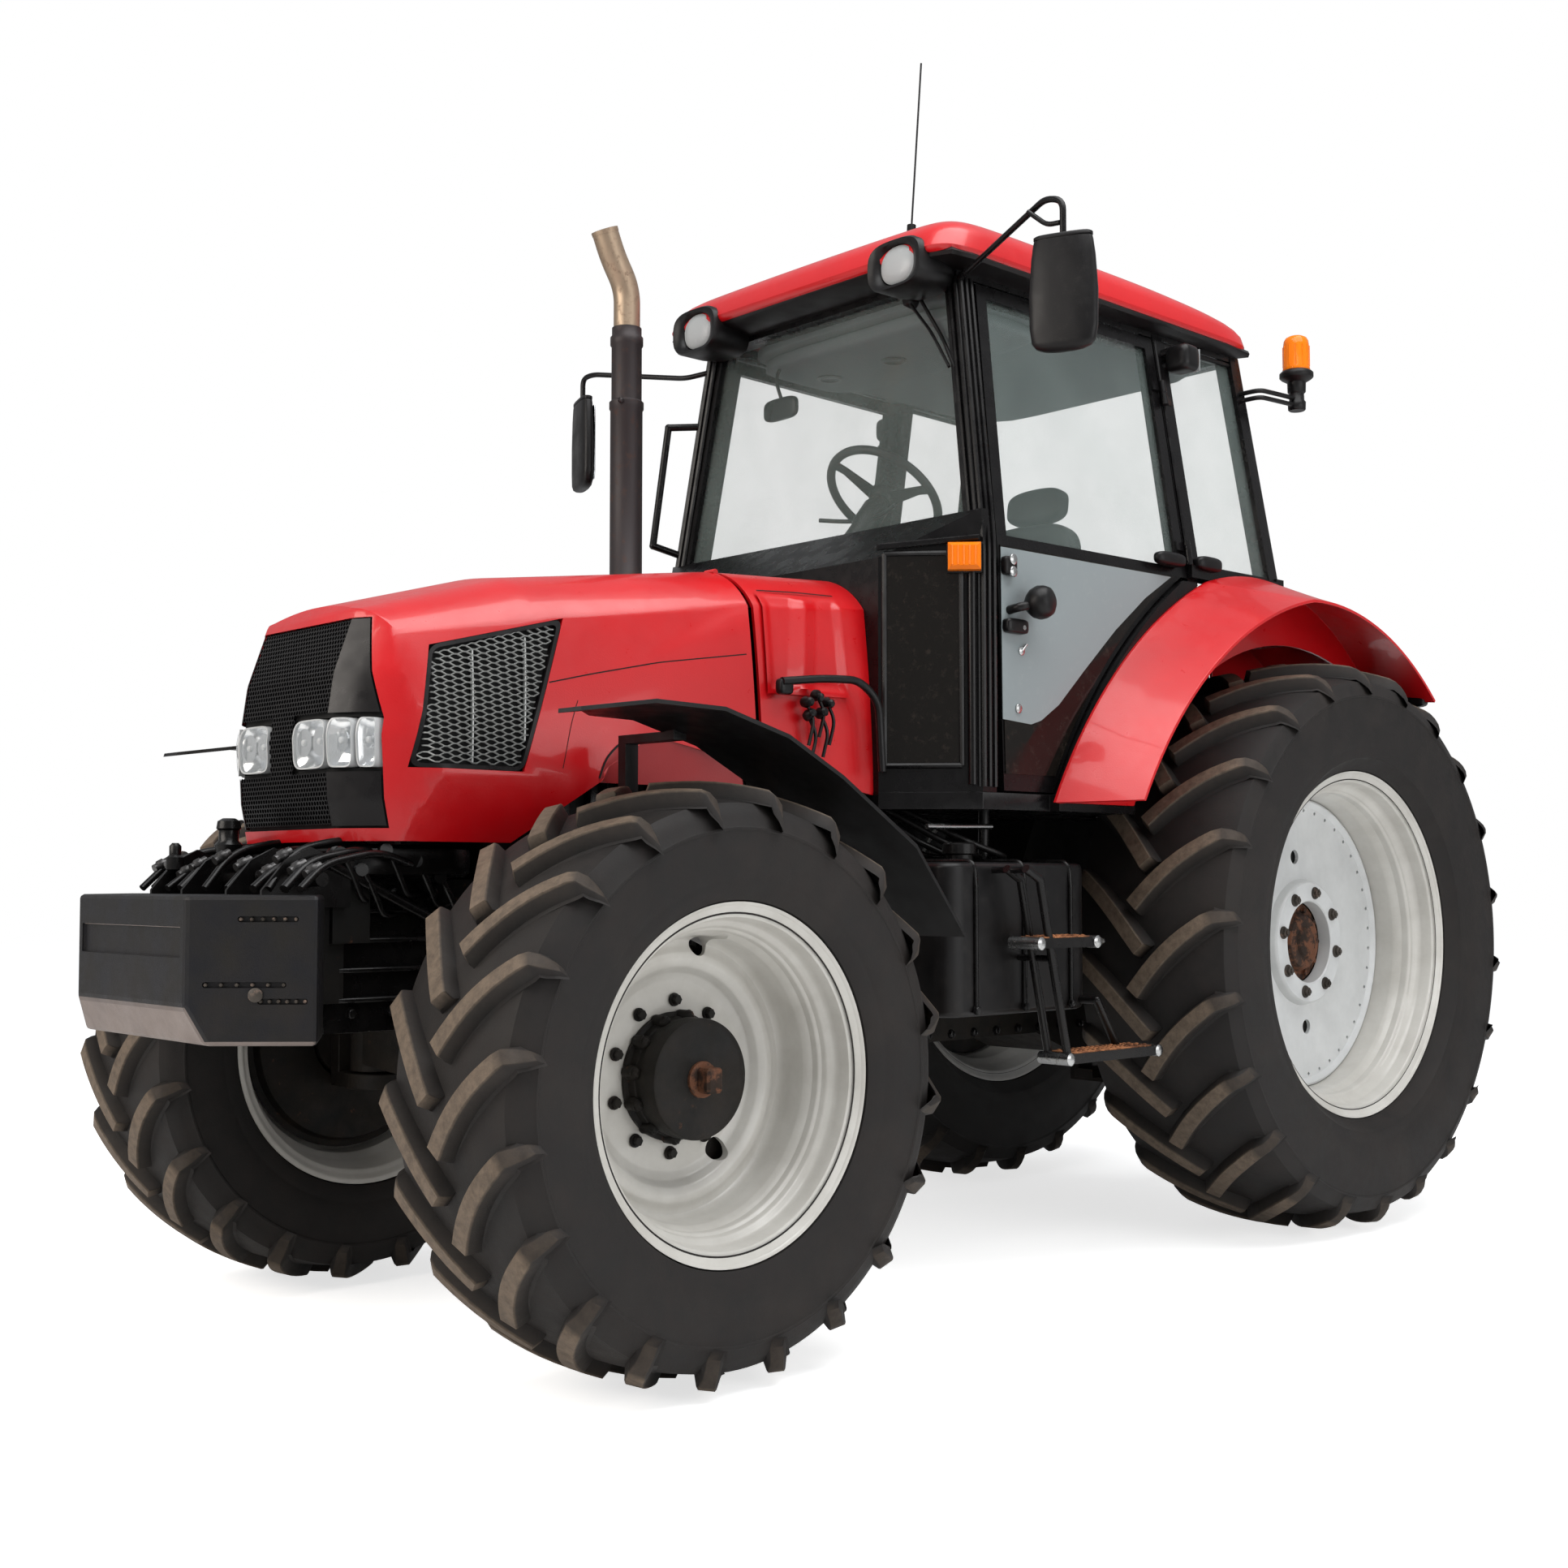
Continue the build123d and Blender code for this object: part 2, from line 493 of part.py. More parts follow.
def hood_solid(inset, rows, first, last):
    """The hood's outer form, or its hollow when moved in, between two stations."""
    with BuildPart() as form:
        for row in rows:
            add(hood_section(row, inset))
        loft(ruled=True)
        if last > HOOD_SEAM:
            add(nose_form(inset), mode=Mode.INTERSECT)
        block((first, last), (-600, 600), (1100, 2200), mode=Mode.INTERSECT)
    return form.part


GRILLE = [(333, 1270), (333, 1410), (333, 1530), (266, 1775)]      # half width and height of its edge
GRILLE_FIT = 0.5            # gap round what is set in the hood's openings


def grille_outline(fit):
    left = [(GRILLE[0][0] - fit, GRILLE[0][1] + fit)] + [(y - fit, z) for y, z in GRILLE[1:-1]]
    left += [(GRILLE[-1][0] - fit, GRILLE[-1][1] - fit)]
    return left + [(-y, z) for y, z in reversed(left)]


SIDE_GRILLE = [(FRONT_X + 475, 1413), (FRONT_X + 406, 1711), (FRONT_X + 26, 1809), (FRONT_X + 177, 1412)]
ARCH_CUT = [(HOOD_SEAM - 5, 1455), (FRONT_X - 225, 1522), (FRONT_X - 79, 1435), (FRONT_X - 60, 1400),
            (FRONT_X + 178, 1240), (FRONT_X + 178, 1100), (HOOD_SEAM - 5, 1100)]

outer_hood = hood_solid(0, HOOD[1:], HOOD_SEAM, FRONT_X + 700)
inner_hood = hood_solid(SHEET, HOOD[1:], HOOD_SEAM - 5, FRONT_X + 700)

with BuildPart() as hood:
    add(outer_hood)
    add(inner_hood, mode=Mode.SUBTRACT)
    slab(cross(FRONT_X + 400), grille_outline(0), 400, mode=Mode.SUBTRACT)
    slab(side(), SIDE_GRILLE, 600, both=True, mode=Mode.SUBTRACT)
    slab(side(), ARCH_CUT, 600, both=True, mode=Mode.SUBTRACT)
    for sign in (-1, 1):
        rod((HOOD_PIVOT_X, sign * 205, HOOD_PIVOT_Z), (HOOD_PIVOT_X, sign * (226 - CLEARANCE), HOOD_PIVOT_Z), 9)
        block((HOOD_PIVOT_X, HOOD_SEAM + 30), sorted((sign * 205, sign * (226 - CLEARANCE))),
              (HOOD_PIVOT_Z - 9, HOOD_PIVOT_Z - 3))
        block((HOOD_SEAM - 2, HOOD_SEAM + 12), sorted((sign * 226, sign * 252)),
              (HOOD_PIVOT_Z - 40, HOOD_PIVOT_Z + 40), mode=Mode.SUBTRACT)
hood.part.label = "hood"
export_step(hood.part, "parts/hood.step")

LAMP_Z = (1412, 1532)
LAMPS = [(62, 214), (218, 282), (286, 326)]     # inner and outer half width of each headlamp

with BuildPart() as nose_mesh:
    add(hood_solid(4, HOOD[1:], FRONT_X + 380, FRONT_X + 700))
    add(hood_solid(22, HOOD[1:], FRONT_X + 370, FRONT_X + 700), mode=Mode.SUBTRACT)
    slab(cross(FRONT_X + 380), grille_outline(GRILLE_FIT), 400, mode=Mode.INTERSECT)
    for inner, outer in LAMPS:
        for sign in (-1, 1):
            block((FRONT_X + 400, FRONT_X + 700), sorted((sign * (inner - GRILLE_FIT), sign * (outer + GRILLE_FIT))),
                  (LAMP_Z[0] - GRILLE_FIT, LAMP_Z[1] + GRILLE_FIT), mode=Mode.SUBTRACT)

with BuildPart() as hood_grilles:
    add(hood_solid(2, HOOD[1:], HOOD_SEAM, FRONT_X + 700))
    add(hood_solid(12, HOOD[1:], HOOD_SEAM - 5, FRONT_X + 700), mode=Mode.SUBTRACT)
    slab(side(), SIDE_GRILLE, 600, both=True, mode=Mode.INTERSECT)
    add(nose_mesh.part)
hood_grilles.part.label = "hood_grilles"
export_step(hood_grilles.part, "parts/hood_grilles.step")

with BuildPart() as headlamps:
    add(hood_solid(0, HOOD[1:], FRONT_X + 380, FRONT_X + 700))
    add(hood_solid(30, HOOD[1:], FRONT_X + 370, FRONT_X + 700), mode=Mode.SUBTRACT)
    with BuildSketch(cross(FRONT_X + 380)) as lenses:
        for inner, outer in LAMPS:
            for sign in (-1, 1):
                with Locations((sign * (inner + outer) / 2, sum(LAMP_Z) / 2)):
                    RectangleRounded(outer - inner, LAMP_Z[1] - LAMP_Z[0], 14)
    extrude(amount=400, mode=Mode.INTERSECT)
headlamps.part.label = "headlamps"
export_step(headlamps.part, "parts/headlamps.step")

EXHAUST_X = 2039
EXHAUST_Y = -330
STACK, TAIL = 55.5, 41       # radii of the lower and upper pipe
with BuildPart() as exhaust_stack:
    rod((EXHAUST_X, EXHAUST_Y, 1800), (EXHAUST_X, EXHAUST_Y, 2645), STACK)
    rod((EXHAUST_X, EXHAUST_Y, 2640), (EXHAUST_X, EXHAUST_Y, 2945), TAIL)
    rod((EXHAUST_X, EXHAUST_Y, 2925), (EXHAUST_X, EXHAUST_Y, 2945), TAIL + 11)
    tube([(EXHAUST_X, EXHAUST_Y, 2945), (EXHAUST_X, EXHAUST_Y, 3020), (EXHAUST_X + 40, EXHAUST_Y, 3085),
          (EXHAUST_X + 126, EXHAUST_Y, 3140)], TAIL)
exhaust_stack.part.label = "exhaust_stack"
export_step(exhaust_stack.part, "parts/exhaust_stack.step")

COLLAR = STACK + 14
with BuildPart() as rear_cowl:
    add(hood_solid(0, HOOD[:2], COWL_REAR, HOOD_SEAM - SEAM_GAP))
    add(hood_solid(SHEET, HOOD[:2], COWL_REAR - 5, HOOD_SEAM), mode=Mode.SUBTRACT)
    slab(side(), [(COWL_REAR - 10, 1390), (HOOD_SEAM, 1455), (HOOD_SEAM, 1100), (COWL_REAR - 10, 1100)], 600,
         both=True, mode=Mode.SUBTRACT)
    rod((EXHAUST_X, EXHAUST_Y, 1960), (EXHAUST_X, EXHAUST_Y, 2030), COLLAR)
    rod((EXHAUST_X, EXHAUST_Y, 1700), (EXHAUST_X, EXHAUST_Y, 2200), STACK + CLEARANCE, mode=Mode.SUBTRACT)
    for sign in (-1, 1):
        rod((HOOD_PIVOT_X, sign * 226, HOOD_PIVOT_Z), (HOOD_PIVOT_X, sign * 246, HOOD_PIVOT_Z), 9)
        block((HOOD_SEAM - 60, HOOD_PIVOT_X), sorted((sign * 226, sign * 246)),
              (HOOD_PIVOT_Z - 9, HOOD_PIVOT_Z - 3))
    block((COWL_REAR - 50, COWL_REAR), (-600, 600), (1100, 2200), mode=Mode.SUBTRACT)
rear_cowl.part.label = "rear_cowl"
export_step(rear_cowl.part, "parts/rear_cowl.step")

# ---------------------------------------------------------------- cab
def belt_half(station):
    """Half width of the cab at the belt."""
    share = (station - CAB_REAR) / (CAB_FRONT - CAB_REAR)
    return BELT_HALF_REAR + (BELT_HALF_FRONT - BELT_HALF_REAR) * share


def wall_half(station, height):
    """Half width of the leaning cab side at a height above the belt."""
    return belt_half(station) - LEAN * (height - BELT_Z)


TAPER = (BELT_HALF_FRONT - BELT_HALF_REAR) / (CAB_FRONT - CAB_REAR)
UPPER_SIDE = Plane(place(0, belt_half(0), BELT_Z), x_dir=(1, TAPER, 0), z_dir=(TAPER, -1, -LEAN))
LOWER_SIDE = Plane(place(0, belt_half(0), 0), x_dir=(1, TAPER, 0), z_dir=(TAPER, -1, 0))
SLOPE = sqrt(1 + LEAN ** 2)              # length up the leaning side for each millimetre of height
PANEL = 40                               # thickness of a door with its frame

DOOR_FRONT = CAB_FRONT - POST / 2 - GAP
TOP_LEAN = 57                            # how far back the windscreen post leans at its top
SCREEN_Z = 2215
ARCH_RADIUS = 1717                       # door's edge over the wheel
ARCH_FOOT, ARCH_HEAD = Vector(1242, 1403), Vector(610, 2116)
ARCH_CHORD = ARCH_HEAD - ARCH_FOOT
ARCH_CENTRE = ((ARCH_FOOT + ARCH_HEAD) / 2 + Vector(-ARCH_CHORD.Y, ARCH_CHORD.X).normalized()
               * sqrt(ARCH_RADIUS ** 2 - ARCH_CHORD.length ** 2 / 4))
TYRE_ARCH = REAR_Z + 65                  # inside radius of the wheel arch
TUB_X = (CAB_REAR - 25, CAB_REAR)
ARCH_FRONT = sqrt(TYRE_ARCH ** 2 - (FLOOR_Z - REAR_Z) ** 2)
SIDE_FACE = BELT_HALF_REAR               # plane where fender and cab meet
FOOT_HALF = 470                          # half width of the cab's front wall
SEAT_Z = 1840                            # top of the seat's pedestal


def arch_disc(radius, y, depth, mode=Mode.ADD):
    """A disc about the rear axle, extruded to the right of the plane at y."""
    with BuildSketch(side(y)) as disc:
        with Locations((0, REAR_Z)):
            Circle(radius)
    extrude(disc.sketch, amount=depth, mode=mode)


with BuildPart() as cab_tub:
    arch_disc(TYRE_ARCH + SHEET, SIDE_FACE, SIDE_FACE - ARCH_INSIDE + SHEET)
    block((TUB_X[0] - 2000, TUB_X[0]), (0, 900), (-200, 2200), mode=Mode.SUBTRACT)
    block((TUB_X[0], 2000), (0, 900), (-200, FLOOR_Z), mode=Mode.SUBTRACT)
    arch_disc(TYRE_ARCH, SIDE_FACE, SIDE_FACE - ARCH_INSIDE, mode=Mode.SUBTRACT)
    slab(cross(TUB_X[0]), [(0, FLOOR_Z), (ARCH_INSIDE - SHEET, FLOOR_Z), (ARCH_INSIDE - SHEET, 1890),
                           (ARCH_INSIDE, REAR_Z + TYRE_ARCH + 3), (SIDE_FACE, REAR_Z + TYRE_ARCH + 3),
                           (SIDE_FACE, 2120), (0, 2120)], TUB_X[1] - TUB_X[0])
    slab(level(GEARBOX_TOP), [(TUB_X[0], 0), (TUB_X[0], ARCH_INSIDE), (ARCH_FRONT - 5, ARCH_INSIDE),
                              (ARCH_FRONT - 5, SIDE_FACE), (1260, SIDE_FACE), (1260, belt_half(1260)),
                              (CAB_FRONT + POST / 2, belt_half(CAB_FRONT)), (COWL_REAR, FOOT_HALF),
                              (COWL_REAR, 0)], FLOOR)
    block((500, 880), (0, 200), (FLOOR_Z, SEAT_Z))
    mirror(about=Plane.XZ)
cab_tub.part.label = "cab_tub"
export_step(cab_tub.part, "parts/cab_tub.step")

HINGE = 11                              # radius of a door hinge knuckle
HINGE_OUT = 16                          # hinge axis outside the door's face
HINGE_X = DOOR_REAR - 5
HINGE_Z = (2200, 2740)
SCUTTLE_Z = 2075


def hinge_point(height):
    """A point on the door's hinge axis."""
    return (HINGE_X, wall_half(HINGE_X, height) + HINGE_OUT, height)


# Sloping panel between the windscreen's foot and the cowl.
with BuildPart() as scuttle:
    slab(side(), [(CAB_FRONT, SCREEN_Z), (CAB_FRONT + POST / 2, SCREEN_Z), (COWL_REAR, SCUTTLE_Z),
                  (COWL_REAR, SCUTTLE_Z - 25), (CAB_FRONT, SCREEN_Z - 25)], -700)
    slab(level(FLOOR_Z), [(COWL_REAR, -1), (COWL_REAR, FOOT_HALF), (CAB_FRONT + POST / 2, belt_half(CAB_FRONT)),
                          (CAB_FRONT, belt_half(CAB_FRONT) - 50), (CAB_FRONT, -1)], 1000, mode=Mode.INTERSECT)

with BuildPart() as cab_frame:
    post_in = POST / 2
    belt = belt_half(CAB_FRONT)
    top = CAB_TOP + 15
    block((CAB_FRONT - post_in, CAB_FRONT + post_in), (belt - POST, belt), (FLOOR_Z, BELT_Z + 5))
    drift = LEAN * TAPER * (top - BELT_Z)        # the leaning side also turns the posts a little
    bar((CAB_FRONT, belt - post_in, BELT_Z - 10),
        (CAB_FRONT - TOP_LEAN + drift, wall_half(CAB_FRONT, top) - post_in, top), POST, POST)
    middle = DOOR_REAR - GAP - 27
    bar((middle, belt_half(middle) - post_in, BELT_Z - 25), (middle + drift, wall_half(middle, top) - post_in, top), 54,
        POST)
    corner = CAB_REAR + 27
    bar((CAB_REAR + 30, belt_half(corner) - post_in, 2121),
        (CAB_REAR + 62 + drift, wall_half(corner, top) - post_in, top), 54, POST)
    slab(level(2121), [(CAB_REAR, SIDE_FACE - POST), (middle + 27, SIDE_FACE - POST), (middle + 27, SIDE_FACE),
                       (CAB_REAR, SIDE_FACE)], 40)
    block((CAB_REAR - 20, CAB_REAR + 25), (-1, SIDE_FACE), (2121, 2171))
    # curved jamb that the door closes on
    with BuildSketch(side(SIDE_FACE)) as jamb:
        with Locations((ARCH_CENTRE.X, ARCH_CENTRE.Y)):
            Circle(ARCH_RADIUS - GAP)
            Circle(ARCH_RADIUS - GAP - 60, mode=Mode.SUBTRACT)
        with Locations(((middle + 1400) / 2, (FLOOR_Z + BELT_Z - 2 * GAP - 4) / 2)):
            Rectangle(1400 - middle, BELT_Z - 2 * GAP - 4 - FLOOR_Z, mode=Mode.INTERSECT)
    extrude(jamb.sketch, amount=95)
    # roof rails
    slab(level(CAB_TOP), [(CAB_FRONT - 20, -1), (CAB_FRONT - 20, wall_half(CAB_FRONT, top)),
                          (CAB_REAR + 35, wall_half(CAB_REAR, top)), (CAB_REAR + 35, -1)], ROOF_SEAT - CAB_TOP)
    slab(level(CAB_TOP), [(CAB_FRONT - 95, -2), (CAB_FRONT - 95, wall_half(CAB_FRONT, top) - POST),
                          (CAB_REAR + 95, wall_half(CAB_REAR, top) - POST), (CAB_REAR + 95, -2)],
         ROOF_SEAT - CAB_TOP, mode=Mode.SUBTRACT)
    # front wall, corner panels and the sill under the windscreen
    block((COWL_REAR - 25, COWL_REAR), (-1, FOOT_HALF), (FLOOR_Z, 2060))
    slab(level(FLOOR_Z), [(COWL_REAR, FOOT_HALF - 35), (COWL_REAR, FOOT_HALF), (CAB_FRONT + post_in, belt),
                          (CAB_FRONT, belt), (CAB_FRONT, belt - 35)], SCREEN_Z - FLOOR_Z)
    slab(side(), [(CAB_FRONT + post_in, SCREEN_Z), (COWL_REAR, SCUTTLE_Z), (COWL_REAR + 9, SCUTTLE_Z),
                  (COWL_REAR + 9, SCREEN_Z + 20), (CAB_FRONT + post_in, SCREEN_Z + 20)], -900, mode=Mode.SUBTRACT)
    slab(cross(CAB_FRONT - post_in), [(-1, SCREEN_Z - 45), (belt - 50, SCREEN_Z - 45), (belt - 50, SCREEN_Z),
                                      (-1, SCREEN_Z)], POST)
    add(scuttle.part)
    for height in HINGE_Z:
        rod(hinge_point(height - 40 - CLEARANCE), hinge_point(height - CLEARANCE), HINGE)
        low = (height - BELT_Z - 36) * SLOPE
        slab(UPPER_SIDE.offset(-8), [(middle - 15, low), (HINGE_X - 4, low), (HINGE_X - 4, low + 30),
                                     (middle - 15, low + 30)], 9)
    mirror(about=Plane.XZ)
cab_frame.part.label = "cab_frame"
export_step(cab_frame.part, "parts/cab_frame.step")

# Glass is cut to the frame that holds it.
SCREEN_RUN = CAB_TOP - SCREEN_Z
SCREEN = Plane(place(CAB_FRONT + 5, 0, SCREEN_Z), x_dir=(0, 1, 0), z_dir=(SCREEN_RUN, 0, TOP_LEAN))
BACK_BASE = 2171
BACKLIGHT = Plane(place(CAB_REAR + 5, 0, BACK_BASE), x_dir=(0, 1, 0), z_dir=(CAB_TOP - BACK_BASE, 0, -32))


def half_pane(plane, base, height, half_low, half_high):
    slab(plane, [(-half_low, 0), (half_low, 0), (half_high, height), (-half_high, height)], -GLASS)


with BuildPart() as cab_glass:
    half_pane(SCREEN, SCREEN_Z, SCREEN_RUN, belt_half(CAB_FRONT) - 40, wall_half(CAB_FRONT, CAB_TOP) - 30)
    half_pane(BACKLIGHT, BACK_BASE, CAB_TOP - BACK_BASE, SIDE_FACE - 35, wall_half(CAB_REAR, CAB_TOP) - 30)
    slab(UPPER_SIDE.offset(15), [(CAB_REAR + 30, 41), (DOOR_REAR - 20, 41), (DOOR_REAR - 20, 815 * SLOPE),
                                 (CAB_REAR + 60, 815 * SLOPE)], GLASS)
    mirror(about=Plane.XZ)
    add(cab_frame.part, mode=Mode.SUBTRACT)
cab_glass.part.label = "cab_glass"
export_step(cab_glass.part, "parts/cab_glass.step")

# Roof: side outline over the whole width, trimmed by the outline seen from the front. Each outline is a
# row of arcs, start, middle and end, over the flat seat.
ROOF_SIDE = [(CAB_FRONT + 130, 2985), (CAB_FRONT + 118, 3045), (CAB_FRONT + 62, 3085), (CAB_FRONT - 92, 3124),
             (CAB_FRONT - 400, 3137), (CAB_REAR + 700, 3134), (CAB_REAR + 260, 3112), (CAB_REAR + 30, 3068),
             (CAB_REAR - 15, 3010)]
ROOF_FRONT = [(648, 2995), (632, 3048), (575, 3088), (440, 3125), (0, 3139)]
with BuildPart() as cab_roof:
    with BuildSketch(side()) as roof_side:
        with BuildLine():
            for start in range(0, len(ROOF_SIDE) - 1, 2):
                ThreePointArc(*ROOF_SIDE[start:start + 3])
            Polyline(ROOF_SIDE[-1], (CAB_REAR - 10, ROOF_SEAT), (CAB_FRONT + 40, ROOF_SEAT), ROOF_SIDE[0])
        make_face()
    extrude(roof_side.sketch, amount=700, both=True)
    with BuildSketch(cross(-300)) as roof_front:
        with BuildLine():
            for hand in (1, -1):
                points = [(hand * y, z) for y, z in ROOF_FRONT]
                ThreePointArc(*points[:3])
                ThreePointArc(*points[2:])
                Line((hand * 640, ROOF_SEAT), points[0])
            Line((640, ROOF_SEAT), (-640, ROOF_SEAT))
        make_face()
    extrude(roof_front.sketch, amount=2400, mode=Mode.INTERSECT)
cab_roof.part.label = "cab_roof"
export_step(cab_roof.part, "parts/cab_roof.step")

# Doors: a leaning upper half with its window and a lower half cut to the wheel.
DOOR_TOP = (CAB_TOP - GAP - BELT_Z) * SLOPE
UPPER_DOOR = [(DOOR_REAR, -2), (DOOR_FRONT, -2), (DOOR_FRONT - TOP_LEAN, DOOR_TOP), (DOOR_REAR, DOOR_TOP)]
UPPER_PANE = [(DOOR_REAR + 42, 30), (DOOR_FRONT - 46, 30), (DOOR_FRONT - TOP_LEAN - 40, DOOR_TOP - 42),
              (DOOR_REAR + 42, DOOR_TOP - 42)]
SILL = FLOOR_Z + GAP
PANE_Z = (1600, 2085)


def wheel_cut(radius, mode=Mode.SUBTRACT):
    with BuildSketch(side(900)) as disc:
        with Locations((ARCH_CENTRE.X, ARCH_CENTRE.Y)):
            Circle(radius)
    extrude(disc.sketch, amount=400, mode=mode)


def lower_panel(radius, low, high, front_low, front_high, rear, depth, offset):
    """A slab of the lower door's plane, outside the wheel circle."""
    with BuildPart() as panel:
        slab(LOWER_SIDE.offset(offset), [(rear, low), (front_low, low), (front_high, high), (rear, high)], depth)
        wheel_cut(radius)
    return panel.part


with BuildPart() as door:
    slab(UPPER_SIDE, UPPER_DOOR, PANEL)
    slab(UPPER_SIDE, UPPER_PANE, PANEL, mode=Mode.SUBTRACT)
    add(lower_panel(ARCH_RADIUS, SILL, BELT_Z, DOOR_FRONT - 24, DOOR_FRONT, DOOR_REAR, PANEL, 0))
    add(lower_panel(ARCH_RADIUS + 55, PANE_Z[0], PANE_Z[1], DOOR_FRONT - 58, DOOR_FRONT - 46, DOOR_REAR, PANEL + 2,
                    -1), mode=Mode.SUBTRACT)
    for height in HINGE_Z:
        rod(hinge_point(height), hinge_point(height + 40), HINGE)
        low = (height - BELT_Z + 6) * SLOPE
        slab(UPPER_SIDE.offset(-8), [(HINGE_X + 2, low), (DOOR_REAR + 40, low), (DOOR_REAR + 40, low + 30),
                                     (HINGE_X + 2, low + 30)], 8)
        block((DOOR_REAR + 12, DOOR_REAR + 36), (wall_half(DOOR_REAR, height + 20) - 20, wall_half(DOOR_REAR, height + 20) + 3),
              (height + 12, height + 28))

with BuildPart() as door_glass:
    slab(UPPER_SIDE.offset(12), UPPER_PANE, GLASS)
    add(lower_panel(ARCH_RADIUS + 55, PANE_Z[0], PANE_Z[1], DOOR_FRONT - 58, DOOR_FRONT - 46, DOOR_REAR, GLASS, 12))

for hand in ("left", "right"):
    for name, leaf in (("door", door.part), ("door_glass", door_glass.part)):
        with BuildPart() as piece:
            add(leaf if hand == "left" else leaf.mirror(Plane.XZ))
        piece.part.label = f"{name}_{hand}"
        export_step(piece.part, f"parts/{name}_{hand}.step")

# ---------------------------------------------------------------- inside the cab
with BuildPart() as steering_console:
    slab(side(), [(COWL_REAR - 25, FLOOR_Z), (COWL_REAR - 25, 2030), (1620, 2090), (1480, 2110), (1500, 1950),
                  (1560, 1700), (1600, FLOOR_Z)], 190, both=True)
    rod((1510, 0, 2070), (1236, 0, 2393), 32)
    column = Plane(place(1230, 0, 2400), z_dir=(-265, 0, 310))
    with BuildSketch(Plane(column.origin, x_dir=(0, 1, 0), z_dir=(310, 0, 265))) as grip:
        with Locations((195, 0)):
            Circle(15)
    revolve(grip.sketch, axis=Axis(column.origin, column.z_dir))
    with BuildSketch(column.offset(-14)) as spokes:
        Circle(55)
        for turn in (90, 210, 330):
            with PolarLocations(100, 1, start_angle=turn):
                Rectangle(200, 34)
    extrude(spokes.sketch, amount=22)
steering_console.part.label = "steering_console"
export_step(steering_console.part, "parts/steering_console.step")

with BuildPart() as seat:
    block((470, 960), (-245, 245), (SEAT_Z, 1990))
    slab(side(), [(470, 1985), (590, 1985), (520, 2540), (400, 2540)], 225, both=True)
seat.part.label = "seat"
export_step(seat.part, "parts/seat.step")

# ---------------------------------------------------------------- rear fenders
# Outline of the fender's top, one row per side plane: front end, two stretches of arc, rear end.
FENDER = [
    (SIDE_FACE + SHEET, [(1290, 1375), (950, 1815), (500, 2112), (0, 2135), (-545, 1800)]),
    (FENDER_OUTSIDE, [(1189, 1379), (811, 1807), (250, 2055), (-150, 2005), (-545, 1780)]),
]


def nearer(point, step):
    """A point moved towards the rear axle."""
    x, z = point[0], point[1] - REAR_Z
    share = 1 - step / sqrt(x * x + z * z)
    return (x * share, REAR_Z + z * share)


def fender_section(y, points):
    low = [nearer(point, SHEET) for point in points]
    with BuildSketch(side(y)) as section:
        with BuildLine():
            ThreePointArc(*points[:3])
            ThreePointArc(*points[2:])
            Line(points[4], low[4])
            ThreePointArc(*low[:3])
            ThreePointArc(*low[2:])
            Line(low[0], points[0])
        make_face()
    return section.sketch


with BuildPart() as rear_fenders:
    for y, points in FENDER:
        add(fender_section(y, points))
    loft(ruled=True)
    wall = FENDER[0][1]
    with BuildSketch(side(SIDE_FACE)) as inner_wall:
        with BuildLine():
            ThreePointArc(*wall[:3])
            ThreePointArc(*wall[2:])
            Polyline(wall[4], (wall[4][0], 1500), (0, wall[0][1]), wall[0])
        make_face()
        with Locations((0, REAR_Z)):
            Circle(TYRE_ARCH, mode=Mode.SUBTRACT)
    extrude(inner_wall.sketch, amount=-SHEET)
    # behind the cab the fender covers the tyre's whole width and comes down inside it
    with BuildSketch(side(SIDE_FACE)) as cover:
        with BuildLine():
            Polyline((TUB_X[0] - 1, wall[3][1] - 1), (TUB_X[0] - 1, wall[3][1] - 1 - SHEET),
                     nearer(wall[4], SHEET), wall[4], close=True)
        make_face()
    extrude(cover.sketch, amount=SIDE_FACE - ARCH_INSIDE)
    slab(side(ARCH_INSIDE), [(TUB_X[0] - 1, wall[3][1] - 1 - SHEET), nearer(wall[4], SHEET),
                             (wall[4][0], 1500), (TUB_X[0] - 1, FLOOR_Z)], -SHEET)
    mirror(about=Plane.XZ)
rear_fenders.part.label = "rear_fenders"
export_step(rear_fenders.part, "parts/rear_fenders.step")

# ---------------------------------------------------------------- tanks, steps, rails, mirrors, lamps
TANK_X, TANK_Y, TANK_Z = (1150, 1773), (300, 760), (771, 1199)
with BuildPart() as fuel_tanks:
    block(TANK_X, TANK_Y, TANK_Z)
    fillet(fuel_tanks.edges().filter_by(Axis.Z).sort_by(Axis.Y)[-2:], 60)
    for x in (TANK_X[0] + 100, TANK_X[1] - 160):
        block((x, x + 60), (FRAME_HALF, TANK_Y[0]), (900, 960))
    mirror(about=Plane.XZ)
fuel_tanks.part.label = "fuel_tanks"
export_step(fuel_tanks.part, "parts/fuel_tanks.step")

